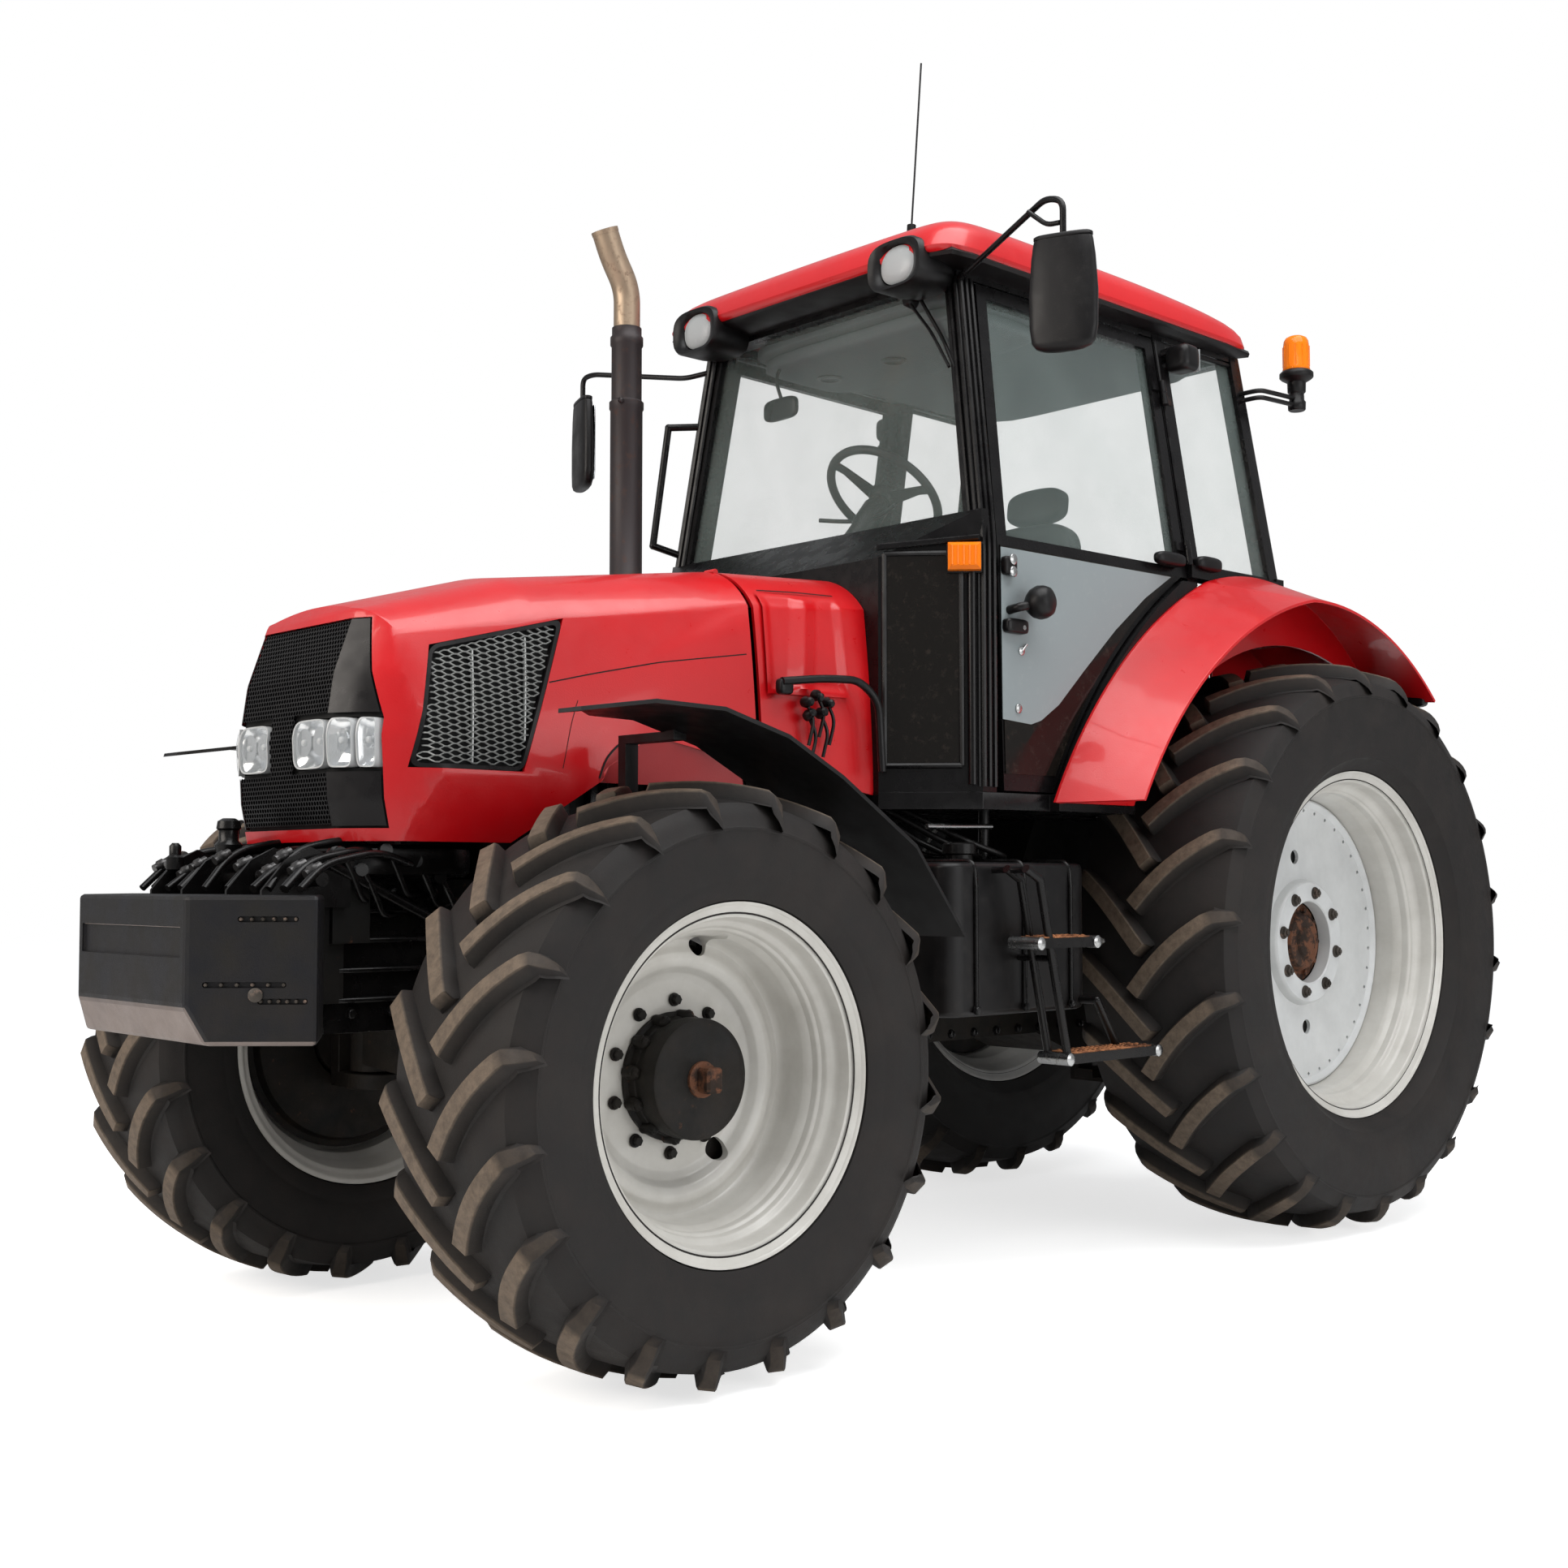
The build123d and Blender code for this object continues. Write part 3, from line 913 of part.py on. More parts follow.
STEP_Y = (800, 900)
STEPS = [(1010, 1435, 635), (1300, 1560, 960)]      # rear and front station, height of each tread
TREAD = 28
STEP_PIPE = 12
with BuildPart() as access_steps:
    for rear, front, z in STEPS:
        block((rear, front), STEP_Y, (z, z + TREAD))
    for y in (STEP_Y[0] + 16, STEP_Y[1] - 16):
        tube([(1600, y, 1180), (1540, y, 1150), (1500, y, 980), (1420, y, 650)], STEP_PIPE)
    for x, z in ((1590, 1176), (1480, 930)):
        rod((x, TANK_Y[1], z), (x, STEP_Y[1] - 16, z), STEP_PIPE - 3)
    tube([(1200, TANK_Y[1], 800), (1200, STEP_Y[0] + 18, 800), (1100, STEP_Y[0] + 18, 650)], STEP_PIPE)
    mirror(about=Plane.XZ)
    tube([(1475, -560, 2690), (1580, -680, 2690), (1630, -700, 2280), (1530, -660, 2250)], 12)
    add(cab_frame.part, mode=Mode.SUBTRACT)
    add(cab_glass.part, mode=Mode.SUBTRACT)
access_steps.part.label = "access_steps"
export_step(access_steps.part, "parts/access_steps.step")

MIRROR_AT, MIRROR_TURN = (1651, 1070), 22    # place of a head, and how far it turns towards the driver
MIRROR_WIDE, MIRROR_DEEP = 190, 48
MIRROR_ARMS = [  # side, foot and top of the head, then the arm's bends
    (1, (2570, 2890), [(1475, 530, 2935), (1540, 640, 2925), (1651, 1010, 3004), (1651, 1070, 2985),
                       (1651, 1070, 2880)]),
    (-1, (2524, 2848), [(1475, 530, 2880), (1540, 640, 2860), (1651, 1010, 2928), (1651, 1070, 2925),
                        (1651, 1070, 2840)]),
]
with BuildPart() as mirrors:
    for sign, height, bends in MIRROR_ARMS:
        turn = radians(MIRROR_TURN)
        face = Plane(place(MIRROR_AT[0], sign * MIRROR_AT[1], sum(height) / 2), x_dir=(-sin(turn), sign * cos(turn), 0),
                     z_dir=(cos(turn), sign * sin(turn), 0))
        with BuildSketch(face) as head:
            RectangleRounded(MIRROR_WIDE, height[1] - height[0], 34)
        extrude(head.sketch, amount=MIRROR_DEEP / 2, both=True)
        tube([(x, sign * y, z) for x, y, z in bends], 9)
    add(cab_frame.part, mode=Mode.SUBTRACT)
mirrors.part.label = "mirrors"
export_step(mirrors.part, "parts/mirrors.step")

BEACON = (-126, 705)
with BuildPart() as beacon:
    tube([(100, 590, 2824), (100, 705, 2824), (*BEACON, 2824), (*BEACON, 2890)], 11)
    rod((*BEACON, 2880), (*BEACON, 2925), 58)
    rod((*BEACON, 2925), (*BEACON, 3055), 46)
    add(cab_frame.part, mode=Mode.SUBTRACT)
    add(cab_glass.part, mode=Mode.SUBTRACT)
beacon.part.label = "beacon"
export_step(beacon.part, "parts/beacon.step")

with BuildPart() as antenna:
    rod((1422, 300, 3120), (1418, 300, 3175), 14)
    rod((1419, 300, 3160), (1371, 300, 3703), 3)
    add(cab_roof.part, mode=Mode.SUBTRACT)
antenna.part.label = "antenna"
export_step(antenna.part, "parts/antenna.step")

with BuildPart() as work_lights:
    with BuildSketch(cross(CAB_FRONT + 40)) as housing:
        with Locations((452, 2960)):
            RectangleRounded(220, 150, 50)
    extrude(housing.sketch, amount=105)
    add(cab_roof.part, mode=Mode.SUBTRACT)
    block((TUB_X[0] - 45, TUB_X[0]), (560, 710), (1990, 2095))
    mirror(about=Plane.XZ)
work_lights.part.label = "work_lights"
export_step(work_lights.part, "parts/work_lights.step")

# ---------------------------------------------------------------- drawbar and three-point linkage
with BuildPart() as drawbar:
    block((-900, 200), (-40, 40), (440, 472))
    rod((-860, 0, 430), (-860, 0, 480), 16.5, mode=Mode.SUBTRACT)
    for x in (-260, 120):
        block((x - 40, x + 40), (-90, -50), (425, 560))
        block((x - 40, x + 40), (50, 90), (425, 560))
        block((x - 40, x + 40), (-90, 90), (425, 440))
drawbar.part.label = "drawbar"
export_step(drawbar.part, "parts/drawbar.step")

ROD_AT = 400                         # lift rod's place along the lower link
ROD_TOP = (ARM_PIVOT_X - ARM_LENGTH, ARM_PIVOT_Z)
link_y = LINK_IN + (LINK_OUT - LINK_IN) * ROD_AT / LINK_LENGTH

with BuildPart() as lower_links:
    for sign in (-1, 1):
        slab(level(LINK_Z - 28), [(LINK_PIVOT_X, sign * (LINK_IN - 14)), (LINK_PIVOT_X, sign * (LINK_IN + 14)),
                                  (LINK_PIVOT_X - LINK_LENGTH, sign * (LINK_OUT + 14)),
                                  (LINK_PIVOT_X - LINK_LENGTH, sign * (LINK_OUT - 14))], 56)
        rod((LINK_PIVOT_X, sign * (LINK_IN - 22), LINK_Z), (LINK_PIVOT_X, sign * (LINK_IN + 22), LINK_Z), 40)
        rod((LINK_PIVOT_X - LINK_LENGTH, sign * (LINK_OUT - 22.5), LINK_Z),
            (LINK_PIVOT_X - LINK_LENGTH, sign * (LINK_OUT + 22.5), LINK_Z), EYE_RADIUS)
        rod((LINK_PIVOT_X, sign * (LINK_IN - 40), LINK_Z), (LINK_PIVOT_X, sign * (LINK_IN + 40), LINK_Z),
            LINK_PIN + CLEARANCE, mode=Mode.SUBTRACT)
        rod((LINK_PIVOT_X - LINK_LENGTH, sign * (LINK_OUT - 40), LINK_Z),
            (LINK_PIVOT_X - LINK_LENGTH, sign * (LINK_OUT + 40), LINK_Z), 18.7, mode=Mode.SUBTRACT)
lower_links.part.label = "lower_links"
export_step(lower_links.part, "parts/lower_links.step")

with BuildPart() as lift_arms:
    for sign in (-1, 1):
        slab(side(sign * ARM_Y), [(ARM_PIVOT_X, ARM_PIVOT_Z - 50), (ARM_PIVOT_X, ARM_PIVOT_Z + 50),
                                  (ROD_TOP[0], ROD_TOP[1] + 30), (ROD_TOP[0], ROD_TOP[1] - 30)], 15, both=True)
        rod((ARM_PIVOT_X, sign * (ARM_Y - 25), ARM_PIVOT_Z), (ARM_PIVOT_X, sign * (ARM_Y + 25), ARM_PIVOT_Z), 55)
        rod((ARM_PIVOT_X, sign * (ARM_Y - 60), ARM_PIVOT_Z), (ARM_PIVOT_X, sign * (ARM_Y + 60), ARM_PIVOT_Z),
            ARM_PIN + CLEARANCE, mode=Mode.SUBTRACT)
        rod((ROD_TOP[0], sign * ARM_Y, ROD_TOP[1]), (ROD_TOP[0], sign * (ARM_Y + 60), ROD_TOP[1]), 14)
lift_arms.part.label = "lift_arms"
export_step(lift_arms.part, "parts/lift_arms.step")

with BuildPart() as lift_rods:
    for sign in (-1, 1):
        head_y, foot_y = sign * (ARM_Y + 38), sign * link_y
        rod((ROD_TOP[0], head_y - 16, ROD_TOP[1]), (ROD_TOP[0], head_y + 16, ROD_TOP[1]), 32)
        rod((ROD_TOP[0], head_y, ROD_TOP[1] - 15), (ROD_TOP[0], foot_y, LINK_Z + 95), 19)
        rod((ROD_TOP[0], head_y - 40, ROD_TOP[1]), (ROD_TOP[0], head_y + 40, ROD_TOP[1]), 14 + CLEARANCE,
            mode=Mode.SUBTRACT)
        block((ROD_TOP[0] - 30, ROD_TOP[0] + 30), sorted((foot_y - 42, foot_y + 42)), (LINK_Z + 70, LINK_Z + 100))
        for y in (foot_y - 35, foot_y + 35):
            block((ROD_TOP[0] - 30, ROD_TOP[0] + 30), (y - 7, y + 7), (LINK_Z - 30, LINK_Z + 80))
lift_rods.part.label = "lift_rods"
export_step(lift_rods.part, "parts/lift_rods.step")
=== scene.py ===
import json
from itertools import product
from math import cos, pi, radians, sin, sqrt

import bmesh
import bpy
import numpy as np
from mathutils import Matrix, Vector
from mathutils.bvhtree import BVHTree

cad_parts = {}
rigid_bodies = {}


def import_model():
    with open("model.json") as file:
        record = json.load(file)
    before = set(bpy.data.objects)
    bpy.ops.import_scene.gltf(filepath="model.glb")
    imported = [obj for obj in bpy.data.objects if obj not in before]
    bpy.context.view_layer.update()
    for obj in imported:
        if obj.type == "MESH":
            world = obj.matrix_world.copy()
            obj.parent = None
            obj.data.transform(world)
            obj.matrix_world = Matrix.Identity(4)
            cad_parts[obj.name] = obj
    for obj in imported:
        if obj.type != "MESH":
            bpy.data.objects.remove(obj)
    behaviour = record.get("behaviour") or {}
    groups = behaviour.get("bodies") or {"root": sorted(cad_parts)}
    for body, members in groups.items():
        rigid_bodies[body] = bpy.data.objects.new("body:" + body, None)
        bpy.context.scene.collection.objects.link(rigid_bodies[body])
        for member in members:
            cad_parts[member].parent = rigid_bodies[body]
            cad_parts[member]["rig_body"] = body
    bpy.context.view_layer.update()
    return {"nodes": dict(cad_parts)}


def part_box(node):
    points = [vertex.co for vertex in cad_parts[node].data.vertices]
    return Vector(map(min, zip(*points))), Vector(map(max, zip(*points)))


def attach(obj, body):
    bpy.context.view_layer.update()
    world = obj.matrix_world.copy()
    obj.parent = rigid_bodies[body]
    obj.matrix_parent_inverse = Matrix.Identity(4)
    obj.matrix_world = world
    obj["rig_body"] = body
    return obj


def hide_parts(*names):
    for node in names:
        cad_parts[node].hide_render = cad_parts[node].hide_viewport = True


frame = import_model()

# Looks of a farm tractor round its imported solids. Metres throughout, +X forward, +Y left, +Z up.
# A station is a distance ahead of the rear axle, as in the part's source; at() turns it into a place.


def middle(node_name):
    low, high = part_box(node_name)
    return (low + high) / 2


REAR = middle("rear_tyre_left")
FRONT = middle("front_tyre_left")
SIDES = (("left", 1), ("right", -1))


def at(station, y, z):
    return (REAR.x + station, y, z)


# ---------------------------------------------------------------- objects, shader nodes and colours
def linked(name, data):
    """A new object in the scene."""
    made = bpy.data.objects.new(name, data)
    bpy.context.scene.collection.objects.link(made)
    return made


def srgb(code):
    """Linear colour of an sRGB hex code, with alpha 1."""
    parts = np.array([int(code[i:i + 2], 16) / 255 for i in (1, 3, 5)])
    linear = np.where(parts <= 0.04045, parts / 12.92, ((parts + 0.055) / 1.055) ** 2.4)
    return (*linear.tolist(), 1.0)


def node(tree, kind, inputs=None, **settings):
    """Add a shader node; an input is a value or the socket that feeds it."""
    made = tree.nodes.new("ShaderNode" + kind)
    for name, value in settings.items():
        setattr(made, name, value)
    for name, value in (inputs or {}).items():
        socket = made.inputs[name]
        if isinstance(value, bpy.types.NodeSocket):
            tree.links.new(value, socket)
        else:
            socket.default_value = value
    return made


def coordinates(tree, kind="Object"):
    return node(tree, "TexCoord").outputs[kind]


def noise(tree, size, detail=4.0, roughness=0.55):
    """Noise whose blobs are about size metres across, from 0 to 1."""
    made = node(tree, "TexNoise", {"Vector": coordinates(tree), "Scale": 1 / size, "Detail": detail,
                                   "Roughness": roughness})
    return made.outputs["Fac"]


def ramp(tree, factor, low, high, low_value=0.0, high_value=1.0):
    """Map factor from low..high to low_value..high_value."""
    made = node(tree, "MapRange", {"Value": factor, "From Min": low, "From Max": high, "To Min": low_value,
                                   "To Max": high_value}, clamp=True)
    return made.outputs["Result"]


def mix(tree, factor, first, second):
    """Colour first where factor is 0, second where it is 1."""
    made = node(tree, "Mix", {"Factor": factor, 6: first, 7: second}, data_type="RGBA")
    return made.outputs[2]


def maths(tree, operation, first, second=0.0):
    made = node(tree, "Math", {0: first, 1: second}, operation=operation)
    return made.outputs["Value"]


def bump(tree, height, distance, strength):
    return node(tree, "Bump", {"Height": height, "Distance": distance, "Strength": strength}).outputs["Normal"]


def axis_of(tree, letter, vector=None):
    made = node(tree, "SeparateXYZ", {"Vector": vector or coordinates(tree)})
    return made.outputs[letter]


def material(name, **constants):
    """A new Principled material; constants go on its own sockets."""
    made = bpy.data.materials.new(name)
    made.use_nodes = True
    tree = made.node_tree
    shader = tree.nodes["Principled BSDF"]
    for socket, value in constants.items():
        shader.inputs[socket.replace("_", " ")].default_value = value
    return made, tree, shader


def feed(tree, shader, **links):
    for socket, source in links.items():
        tree.links.new(source, shader.inputs[socket.replace("_", " ")])


# ---------------------------------------------------------------- materials
def dust(tree, clean, dusty, start, reach, most):
    """Dust that thickens below a height: start is where it begins, reach how far down it is full."""
    height = axis_of(tree, "Z")
    low = ramp(tree, height, start, start - reach, 0.0, most)
    patches = ramp(tree, noise(tree, 0.12, 6.0, 0.65), 0.35, 0.7)
    return mix(tree, maths(tree, "MULTIPLY", low, patches), clean, dusty)


def paint(name, colour, shade, rough, coat):
    """Body paint: slow colour drift, fine orange peel, faint smears and dust low down."""
    made, tree, shader = material(name, Coat_Weight=coat, Coat_Roughness=0.06, IOR=1.5)
    drift = ramp(tree, noise(tree, 0.45, 3.0), 0.3, 0.7)
    base = mix(tree, drift, srgb(colour), srgb(shade))
    smears = noise(tree, 0.05, 8.0, 0.7)
    feed(tree, shader,
         Base_Color=dust(tree, base, srgb("#8C7460"), 1.0, 0.8, most=0.35),
         Roughness=ramp(tree, smears, 0.3, 0.75, rough, rough + 0.16),
         Normal=bump(tree, noise(tree, 0.004, 2.0), 0.0012, 0.25))
    return made


def plastic(name, colour, worn, rough=0.42, grain=0.0008, scuff=0.25, dust_start=1.2):
    """Moulded black plastic or black enamel: leather-like grain, grey scuffs, dust low down."""
    made, tree, shader = material(name, IOR=1.46, Specular_IOR_Level=0.3)
    scuffs = ramp(tree, noise(tree, 0.03, 10.0, 0.75), 0.55, 0.8, 0.0, scuff)
    base = mix(tree, scuffs, srgb(colour), srgb(worn))
    feed(tree, shader,
         Base_Color=dust(tree, base, srgb("#3B342D"), dust_start, 1.0, most=0.3),
         Roughness=ramp(tree, noise(tree, 0.06, 6.0), 0.3, 0.7, rough - 0.08, rough + 0.12),
         Normal=bump(tree, noise(tree, 0.0025, 3.0), grain, 0.35))
    return made


def iron(name, colour, rust="#5A3A26", rust_share=0.62, rough=0.5, metallic=0.25):
    """Painted casting: sand-cast skin, oil-dark patches, rust breaking through."""
    made, tree, shader = material(name, Metallic=metallic, Specular_IOR_Level=0.3)
    grime = ramp(tree, noise(tree, 0.09, 7.0, 0.65), 0.3, 0.75)
    painted = mix(tree, grime, srgb(colour), srgb("#15130F"))
    rusty = ramp(tree, noise(tree, 0.05, 12.0, 0.72), rust_share, rust_share + 0.08)
    base = mix(tree, rusty, painted, srgb(rust))
    skin = noise(tree, 0.004, 5.0, 0.7)
    feed(tree, shader,
         Base_Color=dust(tree, base, srgb("#4A3E33"), 1.1, 0.9, most=0.4),
         Roughness=ramp(tree, grime, 0.0, 1.0, rough, rough + 0.25),
         Normal=bump(tree, skin, 0.0015, 0.5))
    return made


def rubber(name):
    """Tyre rubber: brown-black, with tan dust on the tops of the lugs and in the fine ribs.

    The vertex attribute "worn" is 1 on the faces that meet the ground."""
    made, tree, shader = material(name, IOR=1.5, Specular_IOR_Level=0.3)
    worn = node(tree, "Attribute", attribute_name="worn").outputs["Fac"]
    streaks = ramp(tree, noise(tree, 0.06, 10.0, 0.7), 0.25, 0.75)
    paler = maths(tree, "MULTIPLY", worn, ramp(tree, noise(tree, 0.025, 6.0, 0.7), 0.2, 0.62, 0.30, 1.0))
    side = mix(tree, streaks, srgb("#121110"), srgb("#24201F"))
    film = ramp(tree, noise(tree, 0.22, 5.0, 0.6), 0.45, 0.75, 0.0, 0.20)
    filmed = mix(tree, film, side, srgb("#3E3630"))
    feed(tree, shader,
         Base_Color=mix(tree, paler, filmed, srgb("#6C5E50")),
         Roughness=ramp(tree, streaks, 0.0, 1.0, 0.55, 0.78),
         Normal=bump(tree, noise(tree, 0.006, 8.0, 0.7), 0.0018, 0.35))
    return made


def rim_paint(name, colour="#CBC9C3", shade="#B5B2AB"):
    """Cream wheel enamel with road film and small chips."""
    made, tree, shader = material(name, Coat_Weight=0.25, Coat_Roughness=0.15)
    film = ramp(tree, noise(tree, 0.18, 6.0, 0.62), 0.35, 0.75)
    base = mix(tree, film, srgb(colour), srgb(shade))
    chips = ramp(tree, noise(tree, 0.012, 8.0, 0.8), 0.72, 0.76)
    feed(tree, shader,
         Base_Color=mix(tree, chips, base, srgb("#8F7B66")),
         Roughness=ramp(tree, film, 0.0, 1.0, 0.30, 0.48),
         Normal=bump(tree, noise(tree, 0.005, 3.0), 0.0008, 0.25))
    return made


def glass(name, colour, alpha):
    """Tinted window glass with a faint wiped film."""
    made, tree, shader = material(name, IOR=1.5, Coat_Weight=0.3)
    film = ramp(tree, noise(tree, 0.3, 4.0), 0.4, 0.8, 0.0, 0.05)
    feed(tree, shader,
         Base_Color=mix(tree, film, srgb(colour), srgb("#8B9490")),
         Roughness=ramp(tree, noise(tree, 0.5, 3.0), 0.3, 0.8, 0.02, 0.05),
         Alpha=maths(tree, "ADD", film, alpha))
    return made


def metal(name, colour, stain, rough=0.3, metallic=1.0, share=0.55):
    """Bare or plated metal with stains."""
    made, tree, shader = material(name, Metallic=metallic)
    stains = ramp(tree, noise(tree, 0.03, 9.0, 0.7), share, share + 0.2)
    feed(tree, shader,
         Base_Color=mix(tree, stains, srgb(colour), srgb(stain)),
         Roughness=ramp(tree, stains, 0.0, 1.0, rough, min(rough + 0.35, 0.95)),
         Normal=bump(tree, noise(tree, 0.003, 5.0), 0.0008, 0.3))
    return made


RED = paint("red_enamel", "#CB0711", "#B8040E", rough=0.26, coat=0.3)
BLACK = plastic("black_plastic", "#100F10", "#3C3936", rough=0.36)
SATIN = plastic("black_enamel", "#0C0B0C", "#302E2B", rough=0.26, grain=0.0004, scuff=0.15)
IRON = iron("chassis_iron", "#101112")
CASTING = iron("grey_casting", "#151413", rust_share=0.66)
WEIGHT = iron("weight_iron", "#13141A", rust="#4A433F", rust_share=0.74, rough=0.36, metallic=0.1)
RUBBER = rubber("tyre_rubber")


def lighten_down_ahead_faces(made):
    """Paint the faces that look down and ahead a paler grey-brown."""
    tree = made.node_tree
    shader = tree.nodes["Principled BSDF"]
    normal = node(tree, "NewGeometry").outputs["True Normal"]
    down = ramp(tree, axis_of(tree, "Z", normal), -0.15, -0.35)
    ahead = ramp(tree, axis_of(tree, "X", normal), 0.15, 0.3)
    source = shader.inputs["Base Color"].links[0].from_socket
    paler = mix(tree, ramp(tree, noise(tree, 0.25, 8.0, 0.7), 0.3, 0.7), srgb("#6B605C"), srgb("#857A74"))
    feed(tree, shader, Base_Color=mix(tree, maths(tree, "MULTIPLY", down, ahead), source, paler))


lighten_down_ahead_faces(WEIGHT)
CREAM = rim_paint("cream_enamel")
WHITE_DISC = rim_paint("white_disc_enamel", "#D3D5D5", "#BFC1C1")
WINDOW = glass("window_glass", "#A3B3AE", 0.10)
DARK_PANE = plastic("dark_pane", "#161412", "#4A413A", rough=0.09, grain=0.00005, scuff=0.5, dust_start=-9)
PALE_PANE = plastic("pale_pane", "#8B9496", "#99A2A2", rough=0.12, grain=0.00005, scuff=0.5, dust_start=-9)
LINING = plastic("headliner_cloth", "#5B6265", "#6C7376", rough=0.8, grain=0.0015, scuff=0.4, dust_start=-9)
STACK = metal("stack_steel", "#2B2526", "#4A342B", rough=0.5, metallic=0.4)
ELBOW = metal("elbow_steel", "#A08D78", "#5A4334", rough=0.38, metallic=0.7)
STEEL = metal("bright_steel", "#B9BABA", "#6A645C", rough=0.25)
LENS = glass("lens_glass", "#DDE3E6", 0.25)
AMBER = plastic("amber_lens", "#F07A10", "#F5A040", rough=0.12, grain=0.0003, scuff=0.1, dust_start=-9)
RUST = iron("rusty_axle_end", "#3A2A22", rust="#6A4430", rust_share=0.45, rough=0.6)
NUTS = iron("wheel_nuts", "#57514B", rust="#77655A", rust_share=0.55, rough=0.45, metallic=0.3)
# near-black: panel gaps, and painted shade behind the grilles, in the exhaust's mouth and along the hood's arch
GAP_AND_SHADE_BLACK = plastic("gap_black_and_painted_shade", "#0A0A0A", "#141312", rough=0.7)
GLOSS = plastic("gloss_black", "#141213", "#3A3837", rough=0.30, grain=0.0002, scuff=0.1)
MESH = metal("expanded_steel", "#B2B4B2", "#6C6A66", rough=0.35, metallic=0.35, share=0.7)
REFLECTOR = metal("lamp_reflector", "#E4E6E8", "#B8B6AE", rough=0.12, share=0.8)
LAMP_RIM = plastic("lamp_rim", "#B9BBBC", "#8E8E8C", rough=0.2, grain=0.0002, scuff=0.15, dust_start=-9)
SILVER = metal("mirror_silver", "#D8DCDF", "#C8CCCE", rough=0.03, share=0.8)
FROSTED = plastic("frosted_lens", "#A9ADAE", "#C4C8C8", rough=0.15, grain=0.001, scuff=0.8, dust_start=-9)
TAIL = plastic("tail_lens", "#9C1216", "#C22A2A", rough=0.15, grain=0.0003, scuff=0.2, dust_start=-9)
# darker red: painted shade of the recess round the hood's wheel arch
ARCH_SHADE_RED = paint("red_enamel_painted_shade", "#A8050C", "#8A040A", rough=0.35, coat=0.2)
OILY = plastic("oily_black", "#0F0E0E", "#3A3733", rough=0.25, grain=0.0006, scuff=0.25, dust_start=0.6)
GREASY = metal("greasy_steel", "#4B4A4A", "#141312", rough=0.25, metallic=0.7, share=0.45)
TREAD_RUST = iron("tread_rust", "#8A5638", rust="#A8704A", rust_share=0.45, rough=0.7, metallic=0.1)
VINYL = plastic("seat_vinyl", "#1E1D1D", "#3B3937", rough=0.5, grain=0.002, scuff=0.1)


# ---------------------------------------------------------------- materials of the CAD nodes
FINISHES = {
    RED: "hood rear_cowl cab_roof rear_fenders",
    BLACK: "front_fender_left front_fender_right mirrors steering_console fuel_tanks work_lights",
    SATIN: "cab_frame cab_tub door_left door_right access_steps antenna hood_grilles lift_rods steering_cylinder",
    IRON: "front_axle_beam front_frame front_hub_left front_hub_right knuckle_left knuckle_right drawbar "
          "lower_links lift_arms",
    CASTING: "transmission rear_axle_housing engine_block",
    WEIGHT: "front_weight",
    RUBBER: "front_tyre_left front_tyre_right rear_tyre_left rear_tyre_right",
    CREAM: "front_rim_left front_rim_right rear_rim_left rear_rim_right",
    WINDOW: "cab_glass door_glass_left door_glass_right",
    STACK: "exhaust_stack",
    STEEL: "steering_rod",
    LENS: "headlamps",
    AMBER: "beacon",
    VINYL: "seat",
}

for finish, names in FINISHES.items():
    for name in names.split():
        if name in frame["nodes"]:
            coat = frame["nodes"][name].data.materials
            coat.clear()
            coat.append(finish)


# ---------------------------------------------------------------- mesh helpers
class Form:
    """Vertices and faces of many simple shapes, gathered for one mesh."""

    def __init__(self):
        self.points, self.faces, self.finish, self.count = [], [], [], 0
        self.marks = []

    def add(self, points, faces, finish=0, mark=0.0):
        """Take a shape in: its points, its faces, its material number and its vertices' mark."""
        points = np.asarray(points, float).reshape(-1, 3)
        self.points.append(points)
        self.faces += [tuple(int(i) + self.count for i in face) for face in faces]
        self.finish += [finish] * len(faces)
        self.marks.append(np.broadcast_to(np.asarray(mark, float), (len(points),)))
        self.count += len(points)

    def build(self, name, finishes, angle=45, body="chassis", mark_name=None, slot=None, instead_of=None):
        """Make the object, shade it smooth up to an angle and let it ride on a body.

        The slot argument is not used."""
        mesh = bpy.data.meshes.new(name)
        mesh.from_pydata(np.concatenate(self.points).tolist(), [], self.faces)
        for finish in finishes:
            mesh.materials.append(finish)
        mesh.polygons.foreach_set("material_index", self.finish)
        mesh.polygons.foreach_set("use_smooth", [True] * len(mesh.polygons))
        if mark_name:
            mesh.attributes.new(mark_name, "FLOAT", "POINT").data.foreach_set("value", np.concatenate(self.marks))
        mesh.update()
        shape = bmesh.new()
        shape.from_mesh(mesh)
        bmesh.ops.recalc_face_normals(shape, faces=shape.faces)
        shape.to_mesh(mesh)
        shape.free()
        mesh.set_sharp_from_angle(angle=radians(angle))
        made = linked(name, mesh)
        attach(made, body)
        if instead_of:
            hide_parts(instead_of)
        return made


def unit(way):
    return np.asarray(way, float) / np.linalg.norm(way)


def circle(count):
    """Angles spaced evenly round a circle."""
    return np.linspace(0, 2 * pi, count, endpoint=False)


def arc(start, corner, end, count):
    """Points of the parabola that leaves start towards corner and arrives at end from it."""
    return [(1 - t) ** 2 * start + 2 * t * (1 - t) * corner + t * t * end for t in np.linspace(0, 1, count)]


def superellipse(count, power):
    """Across and up of the points of a rounded square with corners at 1; a higher power is squarer."""
    turn = circle(count)
    across, up = np.cos(turn), np.sin(turn)
    reach = (np.abs(across) ** power + np.abs(up) ** power) ** (-1 / power)
    return across * reach, up * reach


def grid_faces(rows, columns, wrap_rows=False, wrap_columns=False, flip=False):
    """Quads of a grid of rows times columns points, row after row."""
    faces = []
    for i in range(rows if wrap_rows else rows - 1):
        for j in range(columns if wrap_columns else columns - 1):
            a, b = i * columns + j, i * columns + (j + 1) % columns
            c, d = ((i + 1) % rows) * columns + (j + 1) % columns, ((i + 1) % rows) * columns + j
            faces.append((a, d, c, b) if flip else (a, b, c, d))
    return faces


